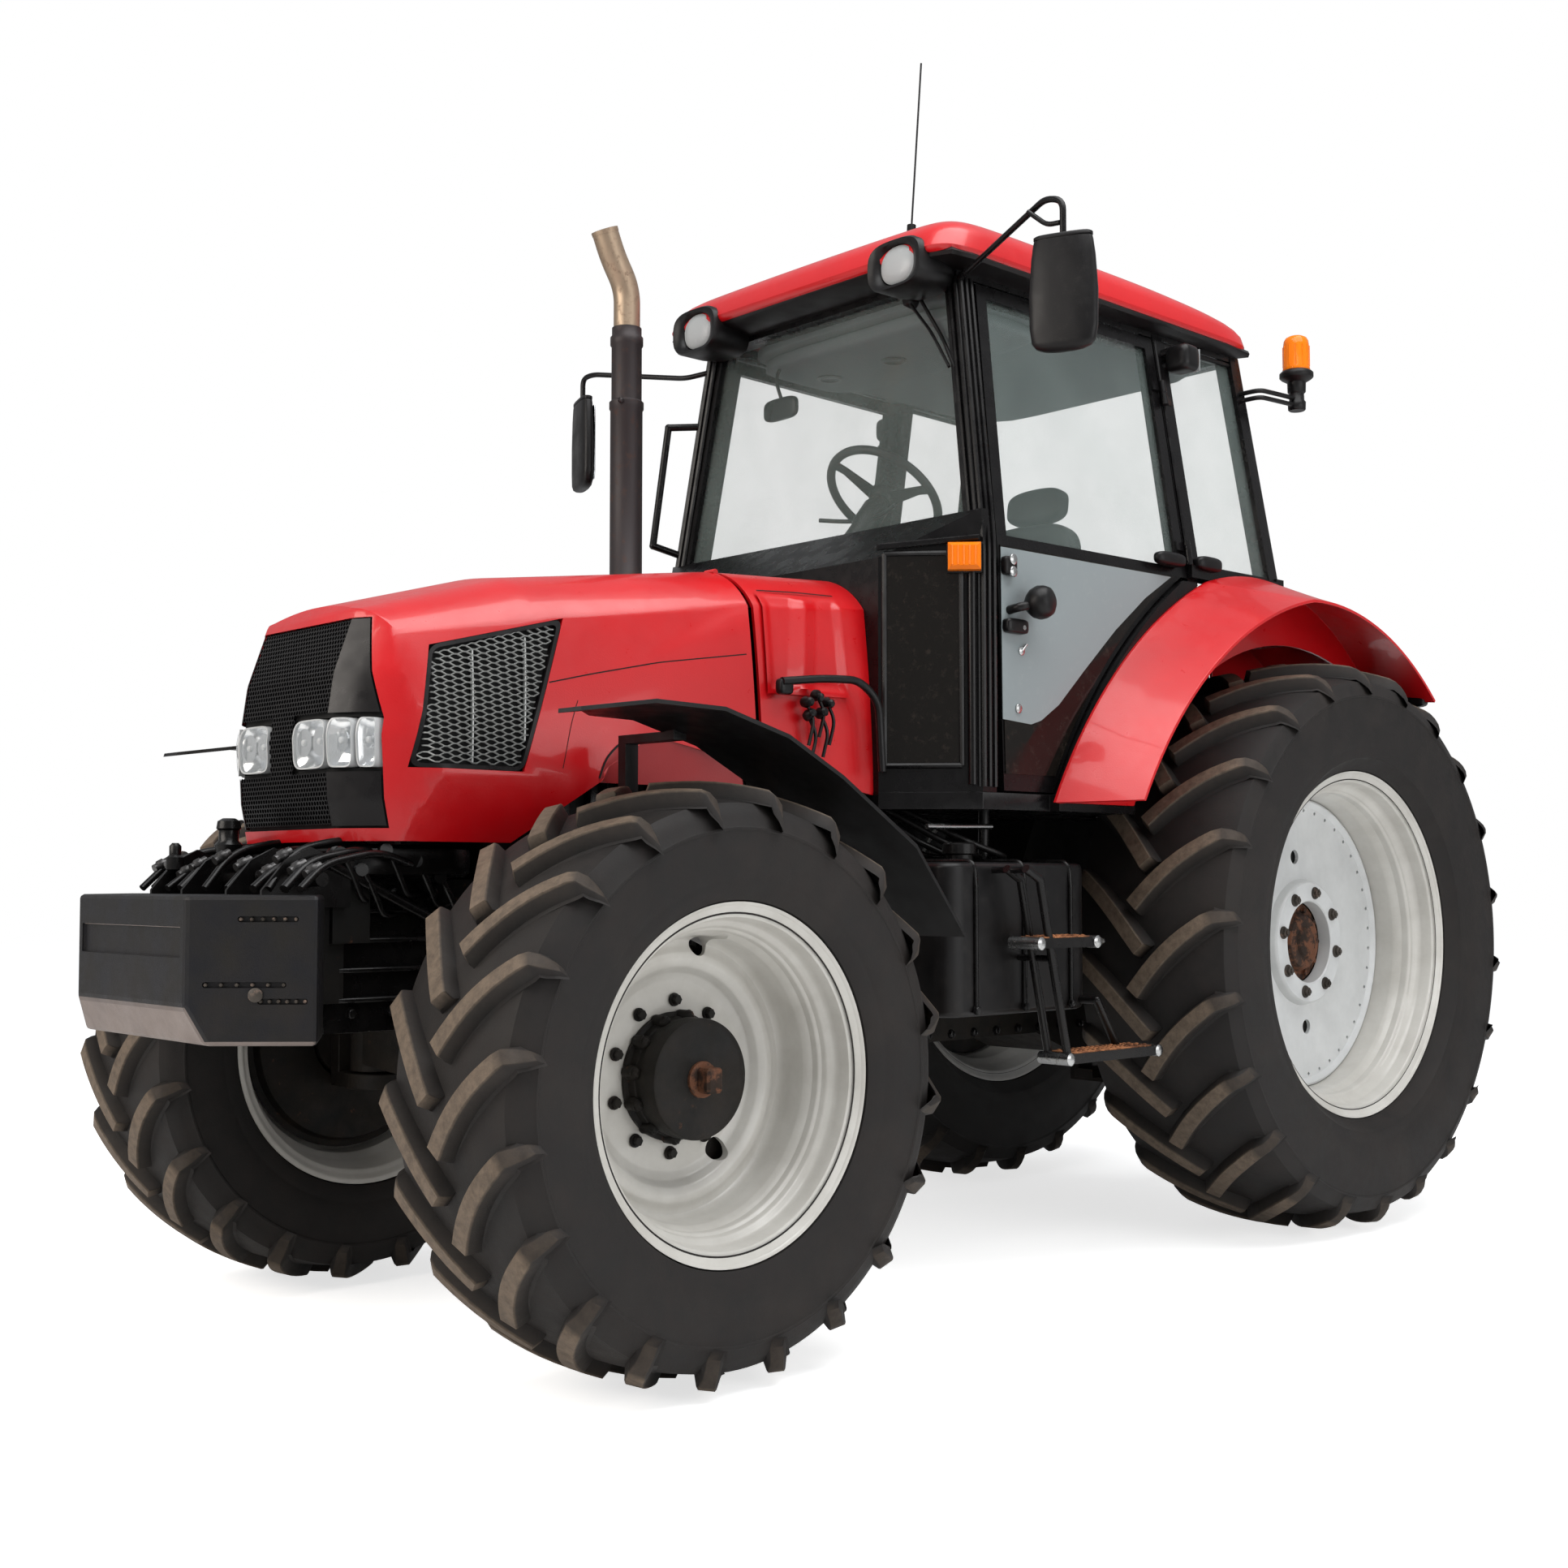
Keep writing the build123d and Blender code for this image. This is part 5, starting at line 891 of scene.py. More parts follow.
def expanded_mesh(hand, sign):
    """Long flat diamonds of bright strand, with a black frame round the opening."""
    form = Form()
    region = shrunk(SIDE_GRILLE, 0.010)
    cell, pitch, strand = 0.050, 0.0152, 0.011
    bottom, reach = 1.405, 0.42
    for row in range(int(reach / (pitch / 2))):
        z0 = bottom + row * pitch / 2
        start = -0.02 + (row % 2) * cell / 2
        for step in range(12):
            a0 = start + step * cell
            line = [(a0, 0), (a0 + strand, 0), (a0 + cell / 2, pitch / 2), (a0 + cell / 2 + strand, pitch / 2),
                    (a0 + cell, 0)]
            for (a, u), (b, v) in zip(line, line[1:]):
                p, q = (a, z0 + u * 0.94), (b, z0 + v * 0.94)
                if not (inside(p, region) and inside(q, region)):
                    continue
                ends = [side_point(sign, *p), side_point(sign, *q)]
                if None in ends:
                    continue
                points = []
                for x, y, z in ends:
                    for dy, dz in ((-0.0085, -0.0013), (-0.0030, -0.0013), (-0.0015, 0.0014), (-0.0085, 0.0014)):
                        points.append((x, y + sign * dy, z + dz))
                faces = [(0, 1, 5, 4), (1, 2, 6, 5), (2, 3, 7, 6), (3, 0, 4, 7)]
                form.add(points, faces if sign < 0 else [face[::-1] for face in faces])
    for ahead in (0.155, 0.300):                         # uprights behind the mesh
        for z in np.arange(1.43, 1.76, 0.02):
            ends = [side_point(sign, ahead + (1.6 - z) * 0.1, z), side_point(sign, ahead + (1.58 - z) * 0.1, z + 0.02)]
            if None in ends or not inside((ahead, z + 0.02), region):
                continue
            points = []
            for x, y, zz in ends:
                for dx, dy in ((-0.002, -0.012), (0.002, -0.012), (0.002, -0.0035), (-0.002, -0.0035)):
                    points.append((x + dx, y + sign * dy, zz))
            form.add(points, [(0, 1, 5, 4), (1, 2, 6, 5), (2, 3, 7, 6), (3, 0, 4, 7)])
    form.build(f"side_mesh_{hand}", [MESH], 30, "hood")
    rim = Form()
    outer, inner = rounded_ring(SIDE_GRILLE, 0.001, 0.030), rounded_ring(SIDE_GRILLE, 0.011, 0.022)
    points = []
    for (a, za), (b, zb) in zip(outer, inner):
        first, second = side_point(sign, a, za), side_point(sign, b, zb)
        base = first or second or (FRONT.x + a, sign * 0.37, za)
        second = second or base
        points += [(base[0], base[1] + sign * 0.0015, base[2]), (second[0], second[1] + sign * 0.0015, second[2]),
                   (second[0], second[1] - sign * 0.012, second[2])]
    count = len(outer)
    faces = []
    for i in range(count):
        j = (i + 1) % count
        for k in (0, 1):
            faces.append((i * 3 + k, i * 3 + k + 1, j * 3 + k + 1, j * 3 + k))
    rim.add(points, faces)
    rim.build(f"side_mesh_frame_{hand}", [GLOSS], 40, "hood")


def rounded_ring(outline, by, radius):
    """A closed outline moved in, its corners rounded and its sides divided."""
    corners = [np.asarray(p, float) for p in shrunk(outline, by)]
    out = []
    count = len(corners)
    for i in range(count):
        before, here, after = corners[i - 1], corners[i], corners[(i + 1) % count]
        start = here + unit(before - here) * radius
        end = here + unit(after - here) * radius
        following = after + unit(here - after) * radius
        out += arc(start, here, end, 6) + [end + (following - end) * t for t in np.linspace(0, 1, 13)[1:-1]]
    return [tuple(p) for p in out]


grille_back()
honeycomb()
strips()
for hand, sign in SIDES:
    expanded_mesh(hand, sign)


# ---------------------------------------------------------------- headlamps
def squircle(u, v, power=5.0):
    """Push a point of the square -1..1 onto a rounded square."""
    reach = (abs(u) ** power + abs(v) ** power) ** (1 / power)
    most = max(abs(u), abs(v))
    return (u * most / reach, v * most / reach) if reach > 1e-9 else (0.0, 0.0)


def headlamps():
    tree = surface_of("headlamps")

    def lamp_x(y, z):
        hit = landed(tree, (FRONT.x + 1.2, y, z), (-1, 0, 0))
        return None if hit is None else hit.x

    lens, back, bowl = Form(), Form(), Form()
    for low, high in LAMPS:
        for sign in (-1, 1):
            cy, cz = sign * (low + high) / 2, sum(LAMP_Z) / 2
            wide, tall = (high - low) / 2 - 0.001, (LAMP_Z[1] - LAMP_Z[0]) / 2 - 0.001
            base = lamp_x(cy, cz)
            steps = 17
            fronts, backs = [], []
            for v in np.linspace(-1, 1, steps):
                for u in np.linspace(-1, 1, steps):
                    su, sv = squircle(u, v)
                    y, z = cy + su * wide, cz + sv * tall
                    x = lamp_x(cy + su * (wide - 0.003), cz + sv * (tall - 0.003)) or base
                    edge = max(abs(u), abs(v))
                    fronts.append((x + 0.004 * (1 - edge ** 6) + 0.0008 * cos(y * 700) * (edge < 0.85), y, z))
                    backs.append((x - 0.006 - 0.020 * (1 - edge ** 4), y, z))
            faces = grid_faces(steps, steps)
            lens.add(fronts, faces)
            back.add(backs, faces)
            rim_points, ring = [], []
            border = [i for i in range(steps)] + [i * steps + steps - 1 for i in range(1, steps)]
            border += [(steps - 1) * steps + i for i in range(steps - 2, -1, -1)]
            border += [i * steps for i in range(steps - 2, 0, -1)]
            for i in border:
                x, y, z = fronts[i]
                out_y, out_z = (y - cy) / wide, (z - cz) / tall
                rim_points += [(x + 0.0015, y, z), (x + 0.001, y - out_y * 0.004, z - out_z * 0.004),
                               (x - 0.030, y, z)]
            count = len(border)
            for i in range(count):
                j = (i + 1) % count
                ring += [(i * 3, i * 3 + 1, j * 3 + 1, j * 3), (i * 3, j * 3, j * 3 + 2, i * 3 + 2)]
            bowl.add(rim_points, ring)
            bowls = 2 if low < 0.1 else 1
            for k in range(bowls):
                by = cy + (k - (bowls - 1) / 2) * wide
                size = min(wide / bowls * 0.92, tall * 0.75)
                spun(bowl, (base - 0.028, by, cz + 0.006), (1, 0, 0),
                     [(0, size * 0.3), (0.010, size * 0.75), (0.018, size)], 24, 1)
                spun(bowl, (base - 0.020, by, cz + 0.006), (1, 0, 0), [(0, 0.009), (0.014, 0.008), (0.017, 0.004)],
                     12, 2)
    back.build("headlamp_reflectors", [REFLECTOR], 60, "hood")
    bowl.build("headlamp_rims", [LAMP_RIM, REFLECTOR, LAMP_RIM], 40, "hood")
    lens.build("headlamp_lenses", [LENS], 60, "hood", instead_of="headlamps")


headlamps()


# ---------------------------------------------------------------- plates and pads
CAB_REAR, CAB_HALF, BELT = 0.045, 0.735, 2.12            # station and half width at the rear, height of the belt
TAPER, LEAN = 0.0305, 0.1625                             # narrowing for each metre ahead, and above the belt


def wall(station, z):
    """Half width of the cab side, which narrows ahead and leans in above the belt."""
    return CAB_HALF - TAPER * (station - CAB_REAR) - LEAN * max(z - BELT, 0)


def prism(form, outline, origin, u, v, depth, edge=0.002):
    """A convex plate: its outline in the u, v axes at origin, raised along u x v, with a chamfered rim."""
    origin, u, v = (np.asarray(a, float) for a in (origin, u, v))
    u, v = unit(u), unit(v)
    up = np.cross(u, v)
    rim = edge if depth > 0 else -edge
    rings = [(outline, 0.0), (outline, depth - rim), (shrunk(outline, edge), depth)]
    form.add([origin + a * u + b * v + rise * up for ring, rise in rings for a, b in ring], capped(3, len(outline)))


def skin(form, outline, sign, low, high, edge=0.0):
    """A plate on the cab side from low to high proud of it; its outline is in stations and heights."""
    top = shrunk(outline, edge) if edge else outline
    rings = [(outline, low), (outline, high - edge), (top, high)]
    points = [at(s, sign * (wall(s, z) + out), z) for ring, out in rings for s, z in ring]
    form.add(points, capped(3, len(outline)))


def rounded_box(form, low, high, power=5.0, cuts=10, finish=0, crown=0.0, pull=0.0, lean=0.0, grooves=()):
    """A soft box between two corners: crowned top and bottom, sides pulled in, grooves across it."""
    low, high = np.asarray(low, float), np.asarray(high, float)
    centre, half = (low + high) / 2, (high - low) / 2
    shape = bmesh.new()
    bmesh.ops.create_cube(shape, size=2)
    bmesh.ops.subdivide_edges(shape, edges=shape.edges[:], cuts=cuts, use_grid_fill=True)
    points = np.array([vertex.co for vertex in shape.verts])
    faces = [tuple(vertex.index for vertex in face.verts) for face in shape.faces]
    shape.free()
    reach = (np.abs(points) ** power).sum(1) ** (1 / power)
    points *= (np.abs(points).max(1) / reach)[:, None]
    x, y, z = points.T
    swell = (1 + crown * (1 - x ** 2) * (1 - y ** 2)) / (1 + crown)
    for line in grooves:
        swell = swell * (1 - 0.10 * np.exp(-((x - line) / 0.04) ** 2))
    points = np.stack([x * (1 - pull * (1 - y ** 2)), y * (1 - pull * (1 - x ** 2)), z * swell], 1) * half
    c, s = cos(lean), sin(lean)
    points = np.stack([points[:, 0] * c + points[:, 2] * s, points[:, 1], points[:, 2] * c - points[:, 0] * s], 1)
    form.add(points + centre, faces, finish)


def side_box(form, sign, stations, sides, heights, *soft):
    """A soft box on one flank, from (low, high) pairs of stations, distances from the middle, and heights."""
    near, far = sorted((sign * sides[0], sign * sides[1]))
    rounded_box(form, at(stations[0], near, heights[0]), at(stations[1], far, heights[1]), *soft)


def side_block(form, sign, stations, sides, heights, **more):
    """A box with chamfered edges on one flank, given as a soft box is."""
    near, far = sorted((sign * sides[0], sign * sides[1]))
    block(form, at(stations[0], near, heights[0]), at(stations[1], far, heights[1]), **more)


def ring_tube(form, centre, normal, radius, thick, sides, segments):
    """A round ring of a round bar."""
    first, second, along = frame_of(normal)
    turn, small = circle(segments)[:, None, None], circle(sides)[:, None]
    out = np.cos(turn) * first + np.sin(turn) * second
    points = np.asarray(centre) + out * (radius + thick * np.cos(small)) + along * thick * np.sin(small)
    form.add(points, grid_faces(segments, sides, True, True))


# ---------------------------------------------------------------- inside the cab
def headliner():
    form = Form()
    rounded_box(form, at(0.10, -0.500, 2.905), at(1.425, 0.500, 2.962), 8, 8)
    rounded_box(form, at(0.95, -0.46, 2.860), at(1.40, 0.46, 2.915), 6, 8)
    for y in (-0.30, 0.0, 0.30):
        spun(form, at(1.18, y, 2.862), (0, 0, -1), [(0, 0.045), (0.006, 0.045), (0.008, 0.034), (0.004, 0.030)], 20, 1)
    form.build("headliner", [LINING, BLACK], 50)


def seat():
    cushion, back, rest, base = Form(), Form(), Form(), Form()
    rounded_box(cushion, at(0.470, -0.245, 1.895), at(0.960, 0.245, 2.010), 5, 16, crown=0.35, pull=0.05,
                grooves=(-0.45, 0.05, 0.5))
    rounded_box(back, at(0.455, -0.225, 1.985), at(0.565, 0.225, 2.400), 5, 16, crown=0.10, pull=0.05, lean=-0.12)
    rounded_box(rest, at(0.400, -0.13, 2.405), at(0.475, 0.13, 2.540), 4, 12, crown=0.2, pull=0.06, lean=-0.12)
    for form, name in ((cushion, "seat_cushion"), (back, "seat_back"), (rest, "seat_headrest")):
        made = form.build(name, [VINYL], 60)
        if name == "seat_cushion":
            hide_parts("seat")
    rounded_box(base, at(0.50, -0.21, 1.845), at(0.92, 0.21, 1.900), 8, 6)
    for z in np.arange(1.50, 1.84, 0.034):               # bellows round the seat's suspension
        rounded_box(base, at(0.485, -0.212, z), at(0.895, 0.212, z + 0.030), 10, 4)
    for sign in (-1, 1):
        rounded_box(base, at(0.52, sign * 0.285 - 0.032, 2.145), at(0.86, sign * 0.285 + 0.032, 2.195), 4, 8)
        side_hose(base, sign, [(0.50, 0.235, 2.10), (0.50, 0.285, 2.13), (0.54, 0.285, 2.16)], 0.014)
        side_hose(base, sign, [(0.425, 0.05, 2.38), (0.43, 0.05, 2.44)], 0.006)
    base.build("seat_base", [BLACK], 50)


def console():
    form = Form()
    rounded_box(form, at(1.545, -0.165, 1.455), at(1.722, 0.165, 2.045), 8, 8)
    rounded_box(form, at(1.470, -0.185, 1.985), at(1.715, 0.185, 2.115), 5, 10, lean=0.28)
    start, end = np.array(at(1.530, 0, 2.050)), np.array(at(1.240, 0, 2.388))
    way = unit(end - start)
    spun(form, start, way, [(0.0, 0.060), (0.02, 0.062), (0.04, 0.048), (0.06, 0.056), (0.08, 0.044), (0.10, 0.052),
                            (0.12, 0.040), (0.30, 0.036), (0.31, 0.042), (0.40, 0.042), (0.43, 0.030)], 24)
    for side_way in (-1, 1):                             # stalks under the wheel
        root = start + way * 0.34
        hose(form, [root, root + (0.02, side_way * 0.10, 0.01), root + (0.05, side_way * 0.17, 0.02)], 0.007)
    centre = np.array(at(1.230, 0, 2.400))
    ring_tube(form, centre, way, 0.195, 0.0145, 12, 56)
    first, second = frame_of(way)[:2]
    for turn in (pi / 2, pi / 2 + 2 * pi / 3, pi / 2 - 2 * pi / 3):
        out = cos(turn) * second + sin(turn) * first
        across = np.cross(way, out)
        rows = []
        for reach, wide, rise in ((0.03, 0.030, 0.0), (0.09, 0.022, 0.004), (0.15, 0.015, 0.008), (0.19, 0.017, 0.004)):
            place = centre + out * reach - way * (0.018 - rise)
            rows += [place - across * wide, place + across * wide, place + across * wide * 0.7 + way * 0.012,
                     place - across * wide * 0.7 + way * 0.012]
        form.add(rows, grid_faces(4, 4, False, True))
    spun(form, centre - way * 0.03, way, [(0, 0.040), (0.02, 0.052), (0.034, 0.050), (0.042, 0.030)], 28)
    form.build("steering_wheel_and_console", [BLACK], instead_of="steering_console")
    dash = Form()
    for y in (0.085, -0.085):
        spun(dash, at(1.51, y, 2.112), (-0.45, 0, 1), [(0, 0.048), (0.004, 0.050), (0.008, 0.046), (0.006, 0.043)], 28)
    dash.build("gauges", [GLOSS])
    box = Form()
    rounded_box(box, at(0.22, -0.600, 1.962), at(0.82, -0.420, 2.090), 6, 10)
    rounded_box(box, at(0.86, -0.66, 2.130), at(0.96, -0.52, 2.360), 5, 8, lean=-0.2)
    for k, (s, y) in enumerate(((0.70, -0.47), (0.63, -0.52), (0.56, -0.47), (0.48, -0.53), (0.38, -0.48))):
        hose(box, [at(s, y, 2.07), at(s + 0.01, y, 2.16 + 0.02 * (k % 2)), at(s + 0.03, y, 2.20 + 0.02 * (k % 2))],
             0.006)
        spun(box, at(s + 0.026, y, 2.185 + 0.02 * (k % 2)), (0.2, 0, 1),
             [(0, 0.008), (0.012, 0.017), (0.04, 0.019), (0.05, 0.010)], 16)
    hose(box, [at(0.90, -0.6, 2.12), at(0.86, -0.6, 2.06), at(0.80, -0.56, 2.02)], 0.012)
    box.build("lever_console", [BLACK])
    view = Form()                                        # mirror over the windscreen
    rounded_box(view, at(1.36, -0.42, 2.690), at(1.385, -0.26, 2.765), 4, 8)
    hose(view, [at(1.37, -0.34, 2.76), at(1.38, -0.36, 2.83), at(1.36, -0.34, 2.90)], 0.006)
    view.build("inside_mirror", [GLOSS])


# ---------------------------------------------------------------- outside of the cab
def posts(hand, sign):
    form = Form()
    beads = [(1.500, 0.002), (1.523, 0.002), (1.546, 0.002), (1.552, -0.012), (1.552, -0.034)]
    for station, out in beads:                           # ribs down the front post
        route = [at(station, sign * (wall(1.52, 1.42) + out), 1.415),
                 at(station, sign * (wall(1.52, 2.12) + out), 2.12),
                 at(station - 0.054, sign * (wall(1.47, 2.93) + out), 2.935)]
        hose(form, route, 0.0085, 8, bend=0.05)
    skin(form, [(0.502, 2.16), (0.560, 2.16), (0.560, 2.93), (0.507, 2.93)], sign, 0.0005, 0.006, edge=0.004)
    form.build(f"post_covers_{hand}", [SATIN], 40)
    seal = Form()                                        # seal under the roof's edge
    outline = [(1.628, 0.560), (1.600, 0.628), (1.52, 0.640), (0.20, 0.640), (0.05, 0.628)]
    inner = [(1.50, 0.545), (1.49, 0.552), (1.45, 0.556), (0.20, 0.598), (0.10, 0.598)]
    rows = []
    for (s, y), (t, w) in zip(outline, inner):
        rows += [at(t, sign * w, 2.952), at(s, sign * (y - 0.004), 2.962), at(s + 0.004, sign * (y + 0.004), 2.972),
                 at(s, sign * (y - 0.004), 2.984), at(t, sign * w, 2.964)]
    seal.add(rows, grid_faces(len(outline), 5, False, True))
    front = []
    for y in np.linspace(0.565, -0.002, 6):
        front += [at(1.50, sign * y, 2.952), at(1.622, sign * y, 2.962), at(1.634, sign * y, 2.972),
                  at(1.625, sign * y, 2.984), at(1.50, sign * y, 2.964)]
    seal.add(front, grid_faces(6, 5, False, True))
    seal.build(f"roof_seal_{hand}", [BLACK], 40)


def corner_glass(hand, sign):
    """Glossy pane in the panel between the cowl and the front post, with its frame and turn lamp."""
    pane, trim, lens = Form(), Form(), Form()
    origin, u, v = at(1.75, sign * 0.47, 0), (-0.2, sign * 0.221, 0), (0, 0, 1)

    def spot(a, z, out=0.0):
        return (origin[0] - 0.671 * a + 0.7415 * out, origin[1] + sign * (0.7415 * a + 0.671 * out), z)

    outline = [(0.018, 1.475), (0.238, 1.475), (0.238, 2.085), (0.018, 2.085)]
    prism(pane, outline, origin, u, v, sign * 0.006)
    for a, b in zip(outline, outline[1:] + outline[:1]):
        hose(trim, [spot(*a, 0.004), spot(*b, 0.004)], 0.0085, 8)
    hose(trim, [spot(0.268, 1.42, 0.006), spot(0.268, 2.11, 0.006)], 0.013, 10)
    prism(trim, [(-0.004, 2.095), (0.290, 2.120), (0.290, 2.136), (-0.004, 2.112)], origin, u, v, sign * 0.022,
          edge=0.004)
    prism(trim, [(0.196, 2.026), (0.298, 2.026), (0.298, 2.112), (0.196, 2.112)], origin, u, v, sign * 0.018,
          edge=0.004)
    base = np.array(spot(0.0, 0.0, 0.018))
    body = [(0.200, 2.030), (0.294, 2.030), (0.294, 2.108), (0.200, 2.108)]
    prism(lens, body, base, u, v, sign * 0.040, edge=0.010)
    for k in range(5):
        a = 0.212 + k * 0.0165
        hose(lens, [spot(a, 2.042, 0.0575), spot(a, 2.098, 0.0575)], 0.0035, 6)
    pane.build(f"corner_pane_{hand}", [DARK_PANE], 40)
    trim.build(f"corner_trim_{hand}", [SATIN], 40)
    lens.build(f"turn_lamp_{hand}", [AMBER], 40)


def door_skin(hand, sign):
    """Bonded lower pane with its pale lining, knob, catches and lock on a door."""
    body = f"door_{hand}"

    def rear_edge(z):
        """Station of the door's lower rear edge: a circle round the wheel arch."""
        return -0.308 + sqrt(1.735 ** 2 - (z - 0.665) ** 2)

    dark, pale, fittings, bright = Form(), Form(), Form(), Form()
    heights = np.linspace(2.117, 1.455, 14)
    skin(dark, [(1.455, 1.455), (1.474, 2.117)] + [(rear_edge(z), z) for z in heights], sign, 0.0003, 0.0035)
    skin(pale, [(1.468, 1.612), (1.473, 2.112), (0.665, 2.112), (0.80, 2.03), (0.95, 1.915), (1.10, 1.780),
                (1.22, 1.668), (1.30, 1.617), (1.345, 1.603)], sign, 0.003, 0.0050)
    dark.build(f"lower_pane_{hand}", [DARK_PANE], 30, body)
    pale.build(f"pale_pane_{hand}", [PALE_PANE], 30, body)
    outer = wall(1.4, 1.9)
    ball = at(1.385, sign * (outer + 0.070), 1.950)
    spun(fittings, ball - np.array((0.0, sign * 0.050, 0)), (-0.25, sign, 0.05),
         [(0, 0.012), (0.012, 0.030), (0.026, 0.043), (0.045, 0.050), (0.064, 0.048), (0.080, 0.040),
          (0.088, 0.026)], 28)
    side_hose(fittings, sign, [(1.440, outer + 0.004, 1.930), (1.440, outer + 0.045, 1.935),
                               (1.392, outer + 0.060, 1.945)], 0.013)
    side_box(fittings, sign, (1.375, 1.470), (outer - 0.002, outer + 0.030), (1.862, 1.905), 5, 6)
    side_box(fittings, sign, (1.420, 1.474), (outer - 0.002, outer + 0.024), (2.030, 2.085), 5, 6)
    for s, z, r, proud in ((1.442, 2.076, 0.016, 0.022), (1.442, 2.040, 0.016, 0.022), (1.400, 1.880, 0.010, 0.022),
                           (1.388, 1.815, 0.013, 0.004), (1.402, 1.646, 0.014, 0.004)):
        spun(bright, at(s, sign * (wall(s, z) + proud), z), (0, sign, 0), [(0, r), (0.005, r), (0.008, r * 0.7)], 18)
    side_hose(bright, sign, [(1.388, outer + 0.010, 1.815), (1.372, outer + 0.014, 1.835)], 0.004, 8)
    catch = 2.165                                        # window catch by the middle post
    y = wall(0.68, catch)
    side_box(fittings, sign, (0.610, 0.760), (y + 0.002, y + 0.045), (catch - 0.022, catch + 0.022), 3.2, 10)
    fittings.build(f"door_fittings_{hand}", [BLACK], body=body)
    bright.build(f"door_fasteners_{hand}", [STEEL], body=body)


def side_trim(hand, sign):
    """Catch and lamp on the middle post, and the seals round the rear side window."""
    form = Form()
    y = wall(0.48, 2.17)
    side_box(form, sign, (0.415, 0.545), (y, y + 0.045), (2.148, 2.196), 3.2, 10)
    y = wall(0.5, 2.86)
    side_box(form, sign, (0.455, 0.545), (y + 0.012, y + 0.105), (2.815, 2.905), 4, 8)
    side_hose(form, sign, [(0.53, y - 0.01, 2.885), (0.52, y + 0.03, 2.890)], 0.012)
    side_hose(form, sign, [(0.53, y - 0.005, 2.84), (0.52, y + 0.03, 2.842)], 0.012)
    outline = [(0.085, 2.166), (0.500, 2.166), (0.505, 2.925), (0.118, 2.925)]
    for (a, za), (b, zb) in zip(outline, outline[1:] + outline[:1]):
        side_hose(form, sign, [(a, wall(a, za) - 0.010, za), (b, wall(b, zb) - 0.010, zb)], 0.008, 8)
    form.build(f"side_trim_{hand}", [BLACK])
    face = Form()
    prism(face, [(-0.036, -0.036), (0.036, -0.036), (0.036, 0.036), (-0.036, 0.036)],
          at(0.452, sign * (y + 0.058), 2.860), (0, sign, 0), (0, 0, 1), -0.004)
    face.build(f"side_lamp_face_{hand}", [LAMP_RIM], slot="clear_lens")


def wiper():
    form = Form()
    spun(form, at(1.482, 0.36, 2.905), (1, 0, 0.1), [(-0.01, 0.020), (0.022, 0.020), (0.028, 0.014)], 18)
    hose(form, [at(1.500, 0.36, 2.905), at(1.515, 0.47, 2.78), at(1.523, 0.545, 2.66)], 0.005, 8)
    hose(form, [at(1.492, 0.405, 2.90), at(1.500, 0.500, 2.76), at(1.512, 0.575, 2.62)], 0.006, 8)
    form.build("wiper", [BLACK])


def roof_lamps():
    """Hooded work lamps on the roof's front corners and the lamps on the fenders' rear."""
    housing, bowl, lens = Form(), Form(), Form()
    for sign in (-1, 1):
        y, height, sides = sign * 0.452, 2.960, 48

        def oval(wide, tall, station, power=3.2):
            """Ring of a lamp's body at a station; the power sets how square it is."""
            across, up = superellipse(sides, power)
            return np.stack([np.full(sides, REAR.x + station), y + wide * across, height + tall * up], 1)

        rings = [oval(0.094, 0.066, 1.50), oval(0.108, 0.074, 1.56), oval(0.109, 0.075, 1.655),
                 oval(0.104, 0.070, 1.6645), oval(0.090, 0.062, 1.662), oval(0.070, 0.060, 1.650, 2.4),
                 oval(0.064, 0.056, 1.630, 2.4)]
        housing.add(np.concatenate(rings), grid_faces(7, sides, False, True))
        bowls = [oval(0.064, 0.056, 1.640, 2.2), oval(0.055, 0.048, 1.615, 2.2), oval(0.020, 0.018, 1.600, 2.2)]
        bowl.add(np.concatenate(bowls), grid_faces(3, sides, False, True) + [tuple(range(2 * sides, 3 * sides))])
        faces = [oval(0.066, 0.057, 1.645, 2.2), oval(0.058, 0.050, 1.652, 2.2), oval(0.030, 0.026, 1.656, 2.2),
                 oval(0.004, 0.004, 1.657, 2.2)]
        lens.add(np.concatenate(faces), grid_faces(4, sides, False, True) + [tuple(range(3 * sides, 4 * sides))])
        side_box(housing, sign, (-0.050, -0.005), (0.560, 0.710), (1.990, 2.095), 6, 8)
        low = at(-0.050, min(sign * 0.560, sign * 0.710), 1.990)
        rounded_box(lens, np.array(low) + (-0.004, 0.010, 0.010), np.array(low) + (0.004, 0.140, 0.095), 6, 6, 1)
    housing.build("work_lamp_housings", [BLACK], instead_of="work_lights")
    bowl.build("work_lamp_bowls", [REFLECTOR], 60)
    lens.build("work_lamp_lenses", [FROSTED, TAIL], 60)


